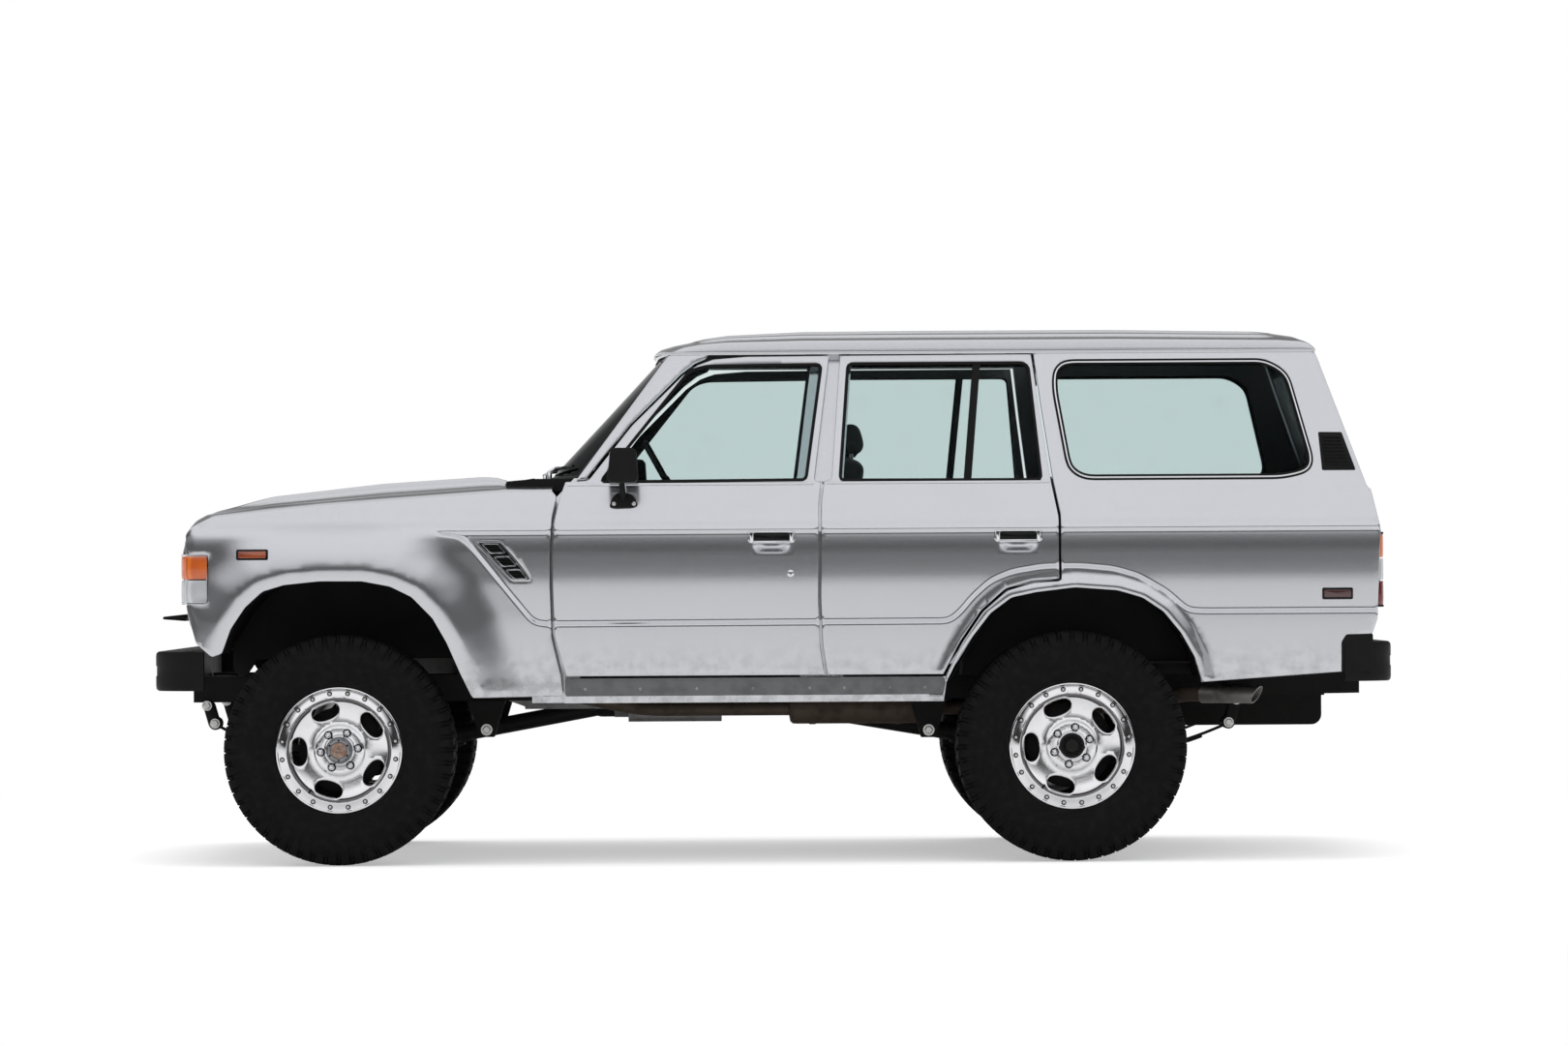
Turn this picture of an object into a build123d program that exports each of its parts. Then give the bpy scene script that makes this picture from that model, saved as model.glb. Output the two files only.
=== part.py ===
from build123d import *
import math
import os

# Lifted off-road 4x4 estate, five doors. Millimetres, +Z up.
# Front faces -X, left side is -Y, origin on the floor at the middle.

# Running gear
wheelbase = 2730.0
front_axle_x = -1622.0
rear_axle_x = front_axle_x + wheelbase
wheel_radius = 430.0
wheel_plane_y = 750.0
tyre_half_width = 159.0
tread_half_width = 128.0
kingpin_y = 620.0
steer_arm = 150.0
tie_rod_rise = 26.0

# Clearances
seat_gap = 0.3
seam = 8.0
bearing_gap = 0.5

# Walls
door_wall = 62.0
frame_wall = 40.0
door_skin = 14.0
shut_step = 26.0
pillar_depth = 88.0
panel_wall = 14.0
glass_wall = 5.0
sheet = 12.0

# Extents used only to cut with
body_front = -2300.0
body_rear = 2300.0
far_out = 1000.0

# Body side in cross-section: height z, outer half width y
belt_z = 1412.0
side_section = [
    (596.0, 858.0), (640.0, 862.0), (905.0, 870.0), (1235.0, 868.0),
    (1262.0, 859.0), (belt_z, 832.0), (1912.0, 706.0),
]
side_y = 870.0

# Side view outlines: x, z
wing_outline = [
    (-2192.0, 1238.0), (-2165.0, 1268.0), (-2087.0, 1306.0), (-1693.0, 1345.0), (-1007.0, 1392.0),
    (-821.0, 1392.0),
    (-803.0, 1369.0), (-823.0, 1285.0), (-830.0, 1180.0), (-831.0, 1048.0), (-825.0, 851.0), (-790.0, 700.0),
    (-790.0, 620.0), (-1124.0, 620.0), (-1167.0, 709.0), (-1218.0, 827.0), (-1270.0, 919.0), (-1348.0, 999.0),
    (-1427.0, 1038.0), (-1531.0, 1058.0), (-1689.0, 1059.0), (-1820.0, 1046.0), (-1900.0, 1022.0),
    (-1965.0, 963.0), (-2018.0, 884.0), (-2052.0, 792.0), (-2090.0, 780.0), (-2153.0, 832.0),
    (-2187.0, 951.0),
]
front_door_outline = [
    (-690.0, 1429.0), (-527.0, 1635.0), (-336.0, 1824.0), (-281.0, 1862.0), (-222.0, 1884.0), (-97.0, 1894.0),
    (213.0, 1896.0), (152.0, 1424.0), (181.0, 1418.0), (171.0, 1336.0), (167.0, 990.0), (173.0, 817.0),
    (190.0, 700.0), (-774.0, 700.0), (-817.0, 851.0), (-823.0, 1048.0), (-822.0, 1180.0), (-815.0, 1285.0),
    (-795.0, 1369.0), (-775.0, 1424.0),
]
rear_door_outline = [
    (254.0, 1896.0), (971.0, 1898.0), (997.0, 1695.0), (1037.0, 1411.0), (1062.0, 1285.0), (1062.0, 1053.0),
    (862.0, 1020.0), (770.0, 938.0), (690.0, 820.0), (628.0, 700.0), (198.0, 700.0), (181.0, 817.0),
    (175.0, 990.0), (179.0, 1336.0), (190.0, 1424.0), (218.0, 1428.0),
]
front_window = [
    (-642.0, 1426.0), (-322.0, 1824.0), (-290.0, 1845.0), (-248.0, 1856.0), (181.0, 1860.0), (120.0, 1430.0),
]
rear_window = [(285.0, 1862.0), (940.0, 1862.0), (958.0, 1850.0), (998.0, 1426.0), (251.0, 1428.0)]
quarter_outline = [
    (979.0, 1904.0), (2028.0, 1904.0), (2041.0, 1896.0), (2217.0, 1390.0), (2230.0, 1383.0), (2259.0, 1251.0),
    (2264.0, 1226.0), (2249.0, 944.0), (2249.0, 897.0), (2228.0, 840.0), (2180.0, 832.0), (2117.0, 701.0),
    (1592.0, 665.0), (1565.0, 757.0), (1513.0, 849.0), (1449.0, 928.0), (1370.0, 981.0), (1278.0, 1008.0),
    (1121.0, 1020.0), (976.0, 1003.0), (884.0, 984.0), (805.0, 926.0), (739.0, 840.0), (686.0, 762.0),
    (640.0, 670.0), (636.0, 692.0), (698.0, 816.0), (778.0, 933.0), (868.0, 1012.0), (1070.0, 1045.0),
    (1070.0, 1285.0), (1045.0, 1411.0), (1005.0, 1695.0),
]
quarter_window = [
    (1058.0, 1761.0), (1061.0, 1832.0), (1095.0, 1866.0), (1850.0, 1866.0), (1928.0, 1818.0),
    (2012.0, 1490.0),
    (1990.0, 1452.0), (1900.0, 1432.0), (1160.0, 1432.0), (1106.0, 1469.0),
]
rocker_outline = [(-782.0, 692.0), (636.0, 692.0), (640.0, 670.0), (630.0, 600.0), (-782.0, 600.0)]
screen_pillar = [
    (-735.0, 1431.0), (-388.0, 1904.0), (-240.0, 1904.0), (-250.0, 1890.0), (-292.0, 1872.0),
    (-345.0, 1832.0),
    (-534.0, 1643.0), (-702.0, 1431.0),
]
middle_pillar_low = [(96.0, 680.0), (88.0, 1440.0), (262.0, 1440.0), (258.0, 680.0)]
middle_pillar_high = [(88.0, 1422.0), (150.0, 1904.5), (300.0, 1904.5), (262.0, 1422.0)]
front_post = [
    (-905.0, 600.0), (-905.0, 1368.0), (-812.0, 1368.0), (-745.0, 1440.0), (-690.0, 1440.0), (-700.0, 1300.0),
    (-730.0, 600.0),
]
front_lip_outer = [
    (-2092.0, 800.0), (-2052.0, 912.0), (-1994.0, 1000.0), (-1915.0, 1066.0), (-1825.0, 1094.0),
    (-1689.0, 1108.0), (-1528.0, 1107.0), (-1412.0, 1086.0), (-1319.0, 1042.0), (-1228.0, 950.0),
    (-1172.0, 848.0), (-1122.0, 726.0), (-1108.0, 690.0),
]
front_lip_inner = [
    (-1160.0, 690.0), (-1218.0, 827.0), (-1270.0, 919.0), (-1348.0, 999.0), (-1427.0, 1038.0),
    (-1531.0, 1058.0), (-1689.0, 1059.0), (-1820.0, 1046.0), (-1900.0, 1022.0), (-1965.0, 963.0),
    (-2018.0, 884.0), (-2050.0, 800.0),
]
rear_lip_outer = [
    (650.0, 740.0), (706.0, 820.0), (786.0, 936.0), (872.0, 1009.0), (1072.0, 1042.0),
    (1134.0, 1066.0), (1266.0, 1062.0), (1357.0, 1034.0), (1462.0, 976.0), (1560.0, 880.0),
    (1612.0, 770.0), (1634.0, 690.0),
]
rear_lip_inner = [
    (1588.0, 690.0), (1565.0, 757.0), (1513.0, 849.0), (1449.0, 928.0), (1370.0, 981.0), (1278.0, 1008.0),
    (1121.0, 1020.0), (976.0, 1003.0), (884.0, 984.0), (805.0, 926.0), (739.0, 840.0), (676.0, 740.0),
]
lip_in = 864.0
lip_out = 884.0
# Pressed band between the two lines along the side, cut short behind the front wheel and over the rear one
press_depth = 3.0
press_outline = [
    (-1256.0, 1236.0), (2300.0, 1236.0), (2300.0, 930.0), (1600.0, 930.0), (1540.0, 934.0), (1462.0, 1004.0),
    (1357.0, 1063.0), (1266.0, 1090.0), (1134.0, 1102.0), (1002.0, 1100.0), (885.0, 1081.0), (806.0, 1048.0),
    (740.0, 990.0), (690.0, 930.0), (650.0, 899.0), (-860.0, 896.0), (-900.0, 908.0), (-1000.0, 1030.0),
    (-1090.0, 1142.0), (-1150.0, 1212.0), (-1190.0, 1230.0),
]
# Louvre on the rear pillar, with level slats
louvre_corners = [(2036.0, 1599.0), (2148.0, 1595.0), (2185.0, 1452.0), (2045.0, 1453.0)]
louvre_depth = 5.0
slat_count = 6
slat_share = 0.55


def place(shape, x=0.0, y=0.0, z=0.0):
    """A copy moved by x, y, z."""
    return Pos(x, y, z) * shape


def face_of(plane, points):
    """A flat face on a plane from its corner points."""
    return plane * make_face(Polyline(*points, close=True))


def side_plate(points, near, far):
    """A side view outline made solid between two half widths on the left side."""
    plane = Plane(origin=(0, -near, 0), x_dir=(1, 0, 0), z_dir=(0, -1, 0))
    return extrude(face_of(plane, points), amount=far - near)


def section_plate(points, start, end):
    """A cross-section outline of y, z points made solid between two x values."""
    plane = Plane(origin=(start, 0, 0), x_dir=(0, 1, 0), z_dir=(1, 0, 0))
    return extrude(face_of(plane, points), amount=end - start)


def plan_plate(points, low, high):
    """A plan outline of x, y points made solid between two heights."""
    plane = Plane(origin=(0, 0, low), x_dir=(1, 0, 0), z_dir=(0, 0, 1))
    return extrude(face_of(plane, points), amount=high - low)


def block(low, high):
    """A box between two corners."""
    size = [b - a for a, b in zip(low, high)]
    centre = [(a + b) / 2 for a, b in zip(low, high)]
    return Pos(*centre) * Box(*size)


def rod(start, end, radius):
    """A round bar between two points."""
    path = Vector(*end) - Vector(*start)
    plane = Plane(origin=start, z_dir=path)
    return extrude(plane * Circle(radius), amount=path.length)


def across(x, z, inner, outer, radius):
    """A round bar along Y on the left side, between two half widths."""
    return rod((x, -inner, z), (x, -outer, z), radius)


def pair(shape):
    """The left piece and its mirror on the right."""
    return [shape, mirror(shape, about=Plane.XZ)]


def joined(pieces):
    """All pieces fused to one."""
    return Part() + list(pieces)


def turned(profile):
    """A profile of y, radius points turned round the Y axis."""
    return revolve(Plane.YZ * make_face(Polyline(*profile, close=True)), axis=Axis.Y)


def skin(outer_depth, low_depth, high_depth):
    """A band under the left body side between two depths, with a step at the belt."""
    outer = [(-(y - outer_depth), z) for z, y in side_section]
    lower = [(-(y - low_depth), z) for z, y in side_section if z < belt_z]
    upper = [(-(y - high_depth), z) for z, y in side_section if z >= belt_z]
    belt_y = dict(side_section)[belt_z]
    step = [(-(belt_y - low_depth), belt_z)] if low_depth != high_depth else []
    inner = lower + step + upper
    return section_plate(outer + inner[::-1], body_front, body_rear)


def cutter(points):
    """A side view outline made solid through the whole left half."""
    return side_plate(points, 0.0, far_out)


def save(node, *pieces):
    """Write one sub-part."""
    shape = pieces[0] if len(pieces) == 1 else Compound(children=list(pieces))
    export_step(shape, f"parts/{node}.step")


os.makedirs("parts", exist_ok=True)

# Doors with recessed handles, mirrors at the front and a divider bar at the rear
handle_spans = {"front": (-88.0, 71.0), "rear": (830.0, 992.0)}
handle_low = 1166.0
handle_high = 1232.0
handle_depth = 16.0
grip_high = 24.0
grip_wall = 8.0
mirror_head = [(-614.0, 1428.0), (-606.0, 1541.0), (-512.0, 1541.0), (-506.0, 1428.0)]
mirror_in = 878.0
mirror_out = 1042.0
mirror_arm = ((-560.0, -838.0, 1350.0), (-560.0, -905.0, 1450.0))
mirror_arm_radius = 13.0
mirror_round = 18.0
mirror_foot = [(-606.0, 1325.0), (-510.0, 1325.0), (-510.0, 1385.0), (-606.0, 1385.0)]
mirror_foot_in = 825.0
mirror_foot_out = 858.0
divider = [(757.0, 1870.0), (777.0, 1870.0), (734.0, 1420.0), (714.0, 1420.0)]
outer_band = skin(0.0, door_skin, door_skin)
inner_band = skin(door_skin, door_wall, frame_wall)
glass_band = skin(door_skin, door_skin + glass_wall, door_skin + glass_wall)
press = skin(-seam, press_depth, press_depth) & cutter(press_outline)

for name, outline, window in (
    ("front", front_door_outline, front_window),
    ("rear", rear_door_outline, rear_window),
):
    plate = cutter(outline)
    inner_plate = plate & place(plate, -shut_step, 0.0, -seam)
    opening = cutter(window)
    door = joined([outer_band & plate, inner_band & inner_plate]) - opening - press
    start, end = handle_spans[name]
    pocket = block((start, -side_y - seam, handle_low), (end, -side_y + handle_depth, handle_high))
    grip = block((start - seam, -side_y + seat_gap, handle_high - grip_high),
                 (end + seam, -side_y + grip_wall, handle_high))
    door = joined([door - pocket, grip])
    if name == "front":
        head = side_plate(mirror_head, mirror_in, mirror_out)
        head = fillet(head.edges(), mirror_round)
        foot = side_plate(mirror_foot, mirror_foot_in, mirror_foot_out)
        door = joined([door, head, foot, rod(*mirror_arm, mirror_arm_radius)])
    if name == "rear":
        door = joined([door, outer_band & cutter(divider)])
    for part_name, shape in (("door", door), ("glass", glass_band & opening)):
        left, right = pair(shape)
        save(f"{part_name}_{name}_left", left)
        save(f"{part_name}_{name}_right", right)

# Body sides: rear quarter, rocker, pillars and the rail over the doors
rail_in = 640.0
drip_out = 722.0
drip_wall = 8.0
drip_ends = (-400.0, 2036.0)
rail_z = 1904.0
quarter_band = skin(0.0, door_wall, frame_wall)
pillar_band = skin(0.0, pillar_depth, pillar_depth)
sill_band = skin(0.0, pillar_depth + seam, pillar_depth + seam)
hidden_band = skin(door_wall + seam, pillar_depth + seam, pillar_depth)
hidden_high_band = skin(frame_wall + seam, pillar_depth, pillar_depth)
quarter = (quarter_band & cutter(quarter_outline)) - cutter(quarter_window)
# Hinge leaves and lock posts behind the doors: x, z of low corner, x, z of high corner
hinge_wall = 12.0
leaf_rows = [(-812.0, 800.0, -780.0, 870.0), (-808.0, 1210.0, -780.0, 1280.0),
             (186.0, 800.0, 214.0, 870.0), (186.0, 1210.0, 214.0, 1280.0)]
leaf_band = skin(door_wall + seat_gap, door_wall + hinge_wall, door_wall + hinge_wall)
leaves = [leaf_band & cutter([(x0, z0), (x1, z0), (x1, z1), (x0, z1)]) for x0, z0, x1, z1 in leaf_rows]
drip_rail = block((drip_ends[0], -drip_out, rail_z), (drip_ends[1], -rail_in, rail_z + drip_wall))
side = joined([
    quarter,
    sill_band & cutter(rocker_outline),
    pillar_band & cutter(screen_pillar),
    hidden_band & cutter(middle_pillar_low),
    hidden_high_band & cutter(middle_pillar_high),
    hidden_band & cutter(front_post),
    *leaves,
    drip_rail,
    side_plate(rear_lip_outer + rear_lip_inner, lip_in, lip_out),
])
save("quarter_glasses", *pair(glass_band & cutter(quarter_window)))

# Front wings: outer skin, top shelf, arch lip and slotted vent, cut away for the corner lamp
corner_in = 716.0
corner_low = 985.0
corner_high = 1152.0
corner_side_back = -2106.0
shelf_in = 694.0
shelf_out = 836.0
shelf_wall = 16.0
wing_top = [(-2087.0, 1306.0), (-1693.0, 1345.0), (-1007.0, 1392.0), (-821.0, 1392.0)]
vent_corners = [(-1110.0, 1204.0), (-1019.0, 1204.0), (-901.0, 1058.0), (-973.0, 1058.0)]
vent_in = 858.0
vent_out = 873.0
vent_slot_in = 866.0
vent_slot_shares = [(0.10, 0.34), (0.40, 0.62), (0.68, 0.90)]
vent_end_shares = (0.10, 0.90)


def vent_point(along_share, down_share):
    """A point of the vent by its shares along the top and down the side."""
    top_front, top_rear, low_rear, low_front = vent_corners
    top = [a + (b - a) * along_share for a, b in zip(top_front, top_rear)]
    low = [a + (b - a) * along_share for a, b in zip(low_front, low_rear)]
    return tuple(a + (b - a) * down_share for a, b in zip(top, low))


shelf_points = wing_top + [(x, z - shelf_wall) for x, z in wing_top[::-1]]
wing = joined([
    (skin(0.0, panel_wall, panel_wall) & cutter(wing_outline)) - press,
    side_plate(shelf_points, shelf_in, shelf_out),
    side_plate(front_lip_outer + front_lip_inner, lip_in, lip_out),
    side_plate(vent_corners, vent_in, vent_out),
]) - block((body_front, -far_out, corner_low), (corner_side_back, 0.0, corner_high))
for front_share, rear_share in vent_slot_shares:
    top_share, low_share = vent_end_shares
    slot = [vent_point(front_share, top_share), vent_point(rear_share, top_share),
            vent_point(rear_share, low_share), vent_point(front_share, low_share)]
    wing = wing - side_plate(slot, vent_slot_in, far_out)
save("front_wings", *pair(wing))

# Roof: shell from a crowned cross-section and a rounded side profile
roof_low_z = rail_z + drip_wall
roof_rail_y = 708.0
roof_edge_y = 668.0
roof_edge_z = 1957.0
roof_crown_z = 2014.0
roof_wall = 26.0
roof_profile = [
    (-452.0, 1932.0), (-300.0, 1974.0), (-167.0, 1995.0), (120.0, 2017.0), (1300.0, 2018.0),
    (1910.0, 2001.0), (2020.0, 1975.0), (2036.0, 1930.0),
]
roof_front_side_x = -392.0


def roof_solid(inset):
    """The outer form of the roof, drawn in by a wall."""
    rail_y, edge_y = roof_rail_y - inset, roof_edge_y - inset
    edge_z, crown_z = roof_edge_z - inset, roof_crown_z - inset
    base_z = roof_low_z - inset
    arc = ThreePointArc((-edge_y, edge_z), (0, crown_z), (edge_y, edge_z))
    rest = Polyline((edge_y, edge_z), (rail_y, base_z), (-rail_y, base_z), (-edge_y, edge_z))
    plane = Plane(origin=(body_front, 0, 0), x_dir=(0, 1, 0), z_dir=(1, 0, 0))
    crown = extrude(plane * make_face([*arc.edges(), *rest.edges()]), amount=body_rear - body_front)
    low, high = roof_profile[0][0] + inset, roof_profile[-1][0] - inset
    top = [(min(max(x, low), high), z - inset) for x, z in roof_profile if z - inset > roof_low_z]
    return crown & side_plate([(low, base_z - inset)] + top + [(high, base_z - inset)], -far_out, far_out)


bow_front = ThreePointArc((roof_front_side_x, -roof_rail_y), (roof_profile[0][0], 0),
                          (roof_front_side_x, roof_rail_y))
bow_rest = Polyline((roof_front_side_x, roof_rail_y), (body_rear, roof_rail_y), (body_rear, -roof_rail_y),
                    (roof_front_side_x, -roof_rail_y))
roof_plan = extrude(place(make_face([*bow_front.edges(), *bow_rest.edges()]), 0.0, 0.0, roof_low_z),
                    amount=far_out)
gate_leaf = ((2012.0, -480.0, 1896.3), (2034.0, -400.0, 1940.0))
roof = (roof_solid(0.0) - roof_solid(roof_wall)) & roof_plan
save("roof", joined([roof, *pair(block(*gate_leaf))]))

# Windscreen: bowed in plan, leaning back between the pillars
screen_glass = 6.0
screen_rows = [(1438.2, -724.0, -868.0), (1903.0, -374.0, -430.0)]
screen_half_low = 734.0
screen_half_high = 614.0


def crescent(row):
    """Glass at one height from its side x and middle x, at the reach of the roof rail."""
    z, side_x, middle_x = row
    bow = (side_x - middle_x) * (far_out / roof_rail_y) ** 2
    front = ThreePointArc((middle_x + bow, -far_out), (middle_x, 0), (middle_x + bow, far_out))
    middle_back = middle_x + screen_glass
    rear = ThreePointArc((middle_back + bow, far_out), (middle_back, 0), (middle_back + bow, -far_out))
    first = Line((middle_x + bow, far_out), (middle_back + bow, far_out))
    last = Line((middle_back + bow, -far_out), (middle_x + bow, -far_out))
    return place(make_face([*front.edges(), *first.edges(), *rear.edges(), *last.edges()]), 0.0, 0.0, z)


screen_low, screen_high = screen_rows
screen = loft([crescent(screen_low), crescent(screen_high)], ruled=True)
screen_front = section_plate([(-screen_half_low, screen_low[0]), (screen_half_low, screen_low[0]),
                              (screen_half_high, screen_high[0]), (-screen_half_high, screen_high[0])],
                             body_front, 0.0)
save("windscreen", screen & screen_front)

# Floor pan, firewall, cowl and wheel housings
floor_low = 708.0
floor_high = 732.0
floor_front = -1000.0
floor_rear = 2170.0
floor_half = 767.5
floor_back_half = 801.0
floor_back_from = 1600.0
tunnel_back = -640.0
tunnel_half = 184.0
tunnel_top = 912.0
firewall_half = 690.0
firewall_top = 1400.0
cowl_profile = [(-1000.0, 1392.3), (-1000.0, 1430.0), (-905.0, 1438.0), (-712.0, 1438.0), (-690.0, 1430.0),
                (-690.0, 1392.3)]
cowl_half = 735.0
housing_in = 560.0
housing_out = 800.0
front_housing_in = 500.0
front_housing_out = 848.0
apron_low = 1060.0
apron_high = 1296.0
apron_front = -2060.0
rear_housing = [
    (690.0, 704.0), (700.0, 790.0), (800.0, 950.0), (880.0, 1010.0), (976.0, 1030.0), (1121.0, 1046.0),
    (1278.0, 1034.0), (1375.0, 1008.0), (1460.0, 955.0), (1540.0, 850.0), (1580.0, 760.0), (1596.0, 704.0),
]
front_housing = [
    (-2020.0, 905.0), (-1965.0, 985.0), (-1900.0, 1044.0), (-1820.0, 1070.0), (-1689.0, 1082.0),
    (-1531.0, 1082.0), (-1427.0, 1062.0), (-1340.0, 1020.0), (-1255.0, 935.0), (-1190.0, 800.0),
    (-1150.0, 700.0),
]


def housing(points, axle_x, inner, outer):
    """A bent roof over a wheel, one wall thick, from its upper line."""
    lower = []
    for x, z in points:
        reach = math.hypot(x - axle_x, z - wheel_radius)
        lower.append((x - (x - axle_x) * sheet / reach, z - (z - wheel_radius) * sheet / reach))
    return side_plate(points + lower[::-1], inner, outer)


rear_sill = [(2130.0, 708.0), (2130.0, 732.0), (2186.0, 836.0), (2224.0, 836.0), (2196.0, 708.0)]
rear_sill_half = 656.0
sill_leaf = ((2192.0, -330.0, 820.0), (2220.0, -250.0, 845.7))
bonnet_leaf = ((-1011.7, -600.0, 1398.0), (-990.0, -520.0, 1412.0))
tunnel = block((floor_front, -tunnel_half - sheet, floor_low),
               (tunnel_back + sheet, tunnel_half + sheet, tunnel_top + sheet))
tunnel_void = block((floor_front - seam, -tunnel_half, floor_low - seam),
                    (tunnel_back, tunnel_half, tunnel_top))
pan = joined([
    block((floor_front, -floor_half, floor_low), (floor_rear, floor_half, floor_high)),
    block((floor_back_from, -floor_back_half, floor_low), (floor_rear, floor_back_half, floor_high)),
    block((floor_front, -firewall_half, floor_low), (floor_front + sheet, firewall_half, firewall_top)),
    side_plate(cowl_profile, -cowl_half, cowl_half),
    side_plate(rear_sill, -rear_sill_half, rear_sill_half),
    *pair(block(*sill_leaf)),
    *pair(block(*bonnet_leaf)),
    tunnel,
]) - tunnel_void
for void in pair(side_plate(rear_housing, housing_in, far_out)):
    pan = pan - void
rear_arch_box = joined([
    housing(rear_housing, rear_axle_x, housing_in - sheet, housing_out),
    side_plate(rear_housing, housing_in - sheet, housing_in),
])
front_arch_box = joined([
    housing(front_housing, front_axle_x, front_housing_in, front_housing_out),
    block((apron_front, -front_housing_in - sheet, apron_low),
          (floor_front + sheet, -front_housing_in, apron_high)),
])
save("floor_pan", joined([pan] + pair(rear_arch_box) + pair(front_arch_box)))

# Bonnet: crowned, with two raised ridges. Station x, edge height, ridge height
bonnet_stations = [
    (-2176.0, 1268.0, 1290.0), (-2140.0, 1300.0, 1332.0), (-1892.0, 1338.0, 1381.0),
    (-1480.0, 1372.0, 1427.0),
    (-1096.0, 1398.0, 1451.0), (-1012.0, 1402.0, 1446.0),
]
bonnet_half = 686.0
ridge_reaches = (340.0, 430.0, 500.0)
ridge_dip = 14.0
ridge_foot_share = 0.55
bonnet_wall = 22.0


def bonnet_face(row):
    """The cross-section of the bonnet at one station."""
    x, edge_z, ridge_z = row
    inner_y, ridge_y, foot_y = ridge_reaches
    foot_z = edge_z + (ridge_z - edge_z) * ridge_foot_share
    right = [(inner_y, ridge_z - ridge_dip), (ridge_y, ridge_z), (foot_y, foot_z), (bonnet_half, edge_z)]
    top = [(-y, z) for y, z in right[::-1]] + right
    low = [(y, z - bonnet_wall) for y, z in top[::-1]]
    plane = Plane(origin=(x, 0, 0), x_dir=(0, 1, 0), z_dir=(1, 0, 0))
    return face_of(plane, top + low)


save("bonnet", loft([bonnet_face(row) for row in bonnet_stations], ruled=True))

# Nose panel: face for lamps and grille, and valance
nose_front = -2196.0
nose_back = -2170.0
nose_step = 18.0
nose_half = side_y - nose_step
nose_low = 840.0
nose_high = 1240.0
lamp_y = 600.0
lamp_z = 1075.0
lamp_radius = 92.0
lamp_ring = 104.0
lamp_ring_wall = 14.0
lamp_edge = 6.0
grille_half = 455.0
grille_low = 965.0
grille_high = 1195.0
valance = [(-2196.0, 850.0), (-2120.0, 800.0), (-2096.0, 800.0), (-2170.0, 860.0)]
nose = joined([
    block((nose_front, -nose_half, nose_low), (nose_back, nose_half, nose_high)),
    side_plate(valance, -nose_half, nose_half),
])
nose = nose - block((nose_front - seam, -grille_half, grille_low),
                    (nose_back + seam, grille_half, grille_high))
corner_cut = block((nose_front - seam, -nose_half - seam, corner_low),
                   (nose_back + seam, -corner_in, corner_high))
for piece in pair(corner_cut):
    nose = nose - piece
for piece in pair(rod((nose_front - seam, -lamp_y, lamp_z), (nose_back + seam, -lamp_y, lamp_z),
                      lamp_radius)):
    nose = nose - piece
save("nose_panel", nose)

# Grille: frame with level bars in front of upright ones
grille_front = -2212.0
grille_back = -2176.0
grille_rim = 22.0
bar_count = 5
bar_wall = 9.0
post_count = 15
post_wall = 6.0
post_step = 10.0
grille_y = grille_half - seat_gap
grille_base = grille_low + seat_gap
grille_top = grille_high - seat_gap
inner_y = grille_y - grille_rim
inner_base = grille_base + grille_rim
inner_top = grille_top - grille_rim
grille = block((grille_front, -grille_y, grille_base), (grille_back, grille_y, grille_top))
grille = grille - block((grille_front - seam, -inner_y, inner_base), (grille_back + seam, inner_y, inner_top))
bars = []
for index in range(bar_count):
    z = inner_base + (inner_top - inner_base) * (index + 1) / (bar_count + 1)
    bars.append(block((grille_front, -inner_y, z - bar_wall / 2), (grille_back, inner_y, z + bar_wall / 2)))
for index in range(post_count):
    y = -inner_y + 2 * inner_y * (index + 1) / (post_count + 1)
    bars.append(block((grille_front + post_step, y - post_wall / 2, inner_base),
                      (grille_back, y + post_wall / 2, inner_top)))
save("grille", joined([grille] + bars))

# Headlamps in the nose panel, each with a ring in front
lamp_body_radius = lamp_radius - seat_gap
lamp_edge_radius = lamp_body_radius - lamp_edge
dome_rise = 20.0
dome_radius = (lamp_edge_radius ** 2 + dome_rise ** 2) / (2 * dome_rise)
ring_front = nose_front - lamp_ring_wall
dome = place(Sphere(dome_radius), nose_front - dome_rise + dome_radius, -lamp_y, lamp_z)
bowl = rod((nose_front + seam, -lamp_y, lamp_z), (ring_front - dome_rise, -lamp_y, lamp_z), lamp_edge_radius)
lamp_rim = rod((nose_front, -lamp_y, lamp_z), (ring_front, -lamp_y, lamp_z), lamp_ring)
lamp_eye = rod((nose_front, -lamp_y, lamp_z), (ring_front - seam, -lamp_y, lamp_z), lamp_edge_radius)
headlamp = joined([
    rod((nose_back, -lamp_y, lamp_z), (nose_front, -lamp_y, lamp_z), lamp_body_radius),
    lamp_rim - lamp_eye,
    dome & bowl,
])
save("headlamps", *pair(headlamp))

# Corner lamps with the front side markers, tail lamps with the rear ones
corner_front = -2214.0
corner_back = -2170.0
corner_out = 868.0
corner_wall = 28.0
front_marker_in = 868.7
rear_marker_in = side_y - press_depth - seat_gap
marker_out = 884.0
front_marker_middle = (-1938.5, 1160.0)
front_marker_size = (119.0, 40.0)
rear_marker_middle = (2099.5, 992.0)
rear_marker_size = (115.0, 44.0)
tail_front = 2190.0
tail_back = 2276.0
tail_in = 700.0
tail_out = 848.0
tail_low = 944.0
tail_high = 1218.0


def marker(middle, size, inner):
    """A side marker lamp on the left."""
    (x, z), (long, high) = middle, size
    return block((x - long / 2, -marker_out, z - high / 2), (x + long / 2, -inner, z + high / 2))


corner_base, corner_top = corner_low + seat_gap, corner_high - seat_gap
corner_lamp = joined([
    block((corner_front, -corner_out, corner_base), (corner_back, -corner_in - seat_gap, corner_top)),
    block((corner_back, -corner_out, corner_base),
          (corner_side_back - seat_gap, corner_wall - corner_out, corner_top)),
])
save("corner_lamps", *pair(corner_lamp),
     *pair(marker(front_marker_middle, front_marker_size, front_marker_in)))

# Rear body: posts either side of the tailgates, joined to the body sides, with a room for each tail lamp
post_in = 664.0
post_depth = 44.0
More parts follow.
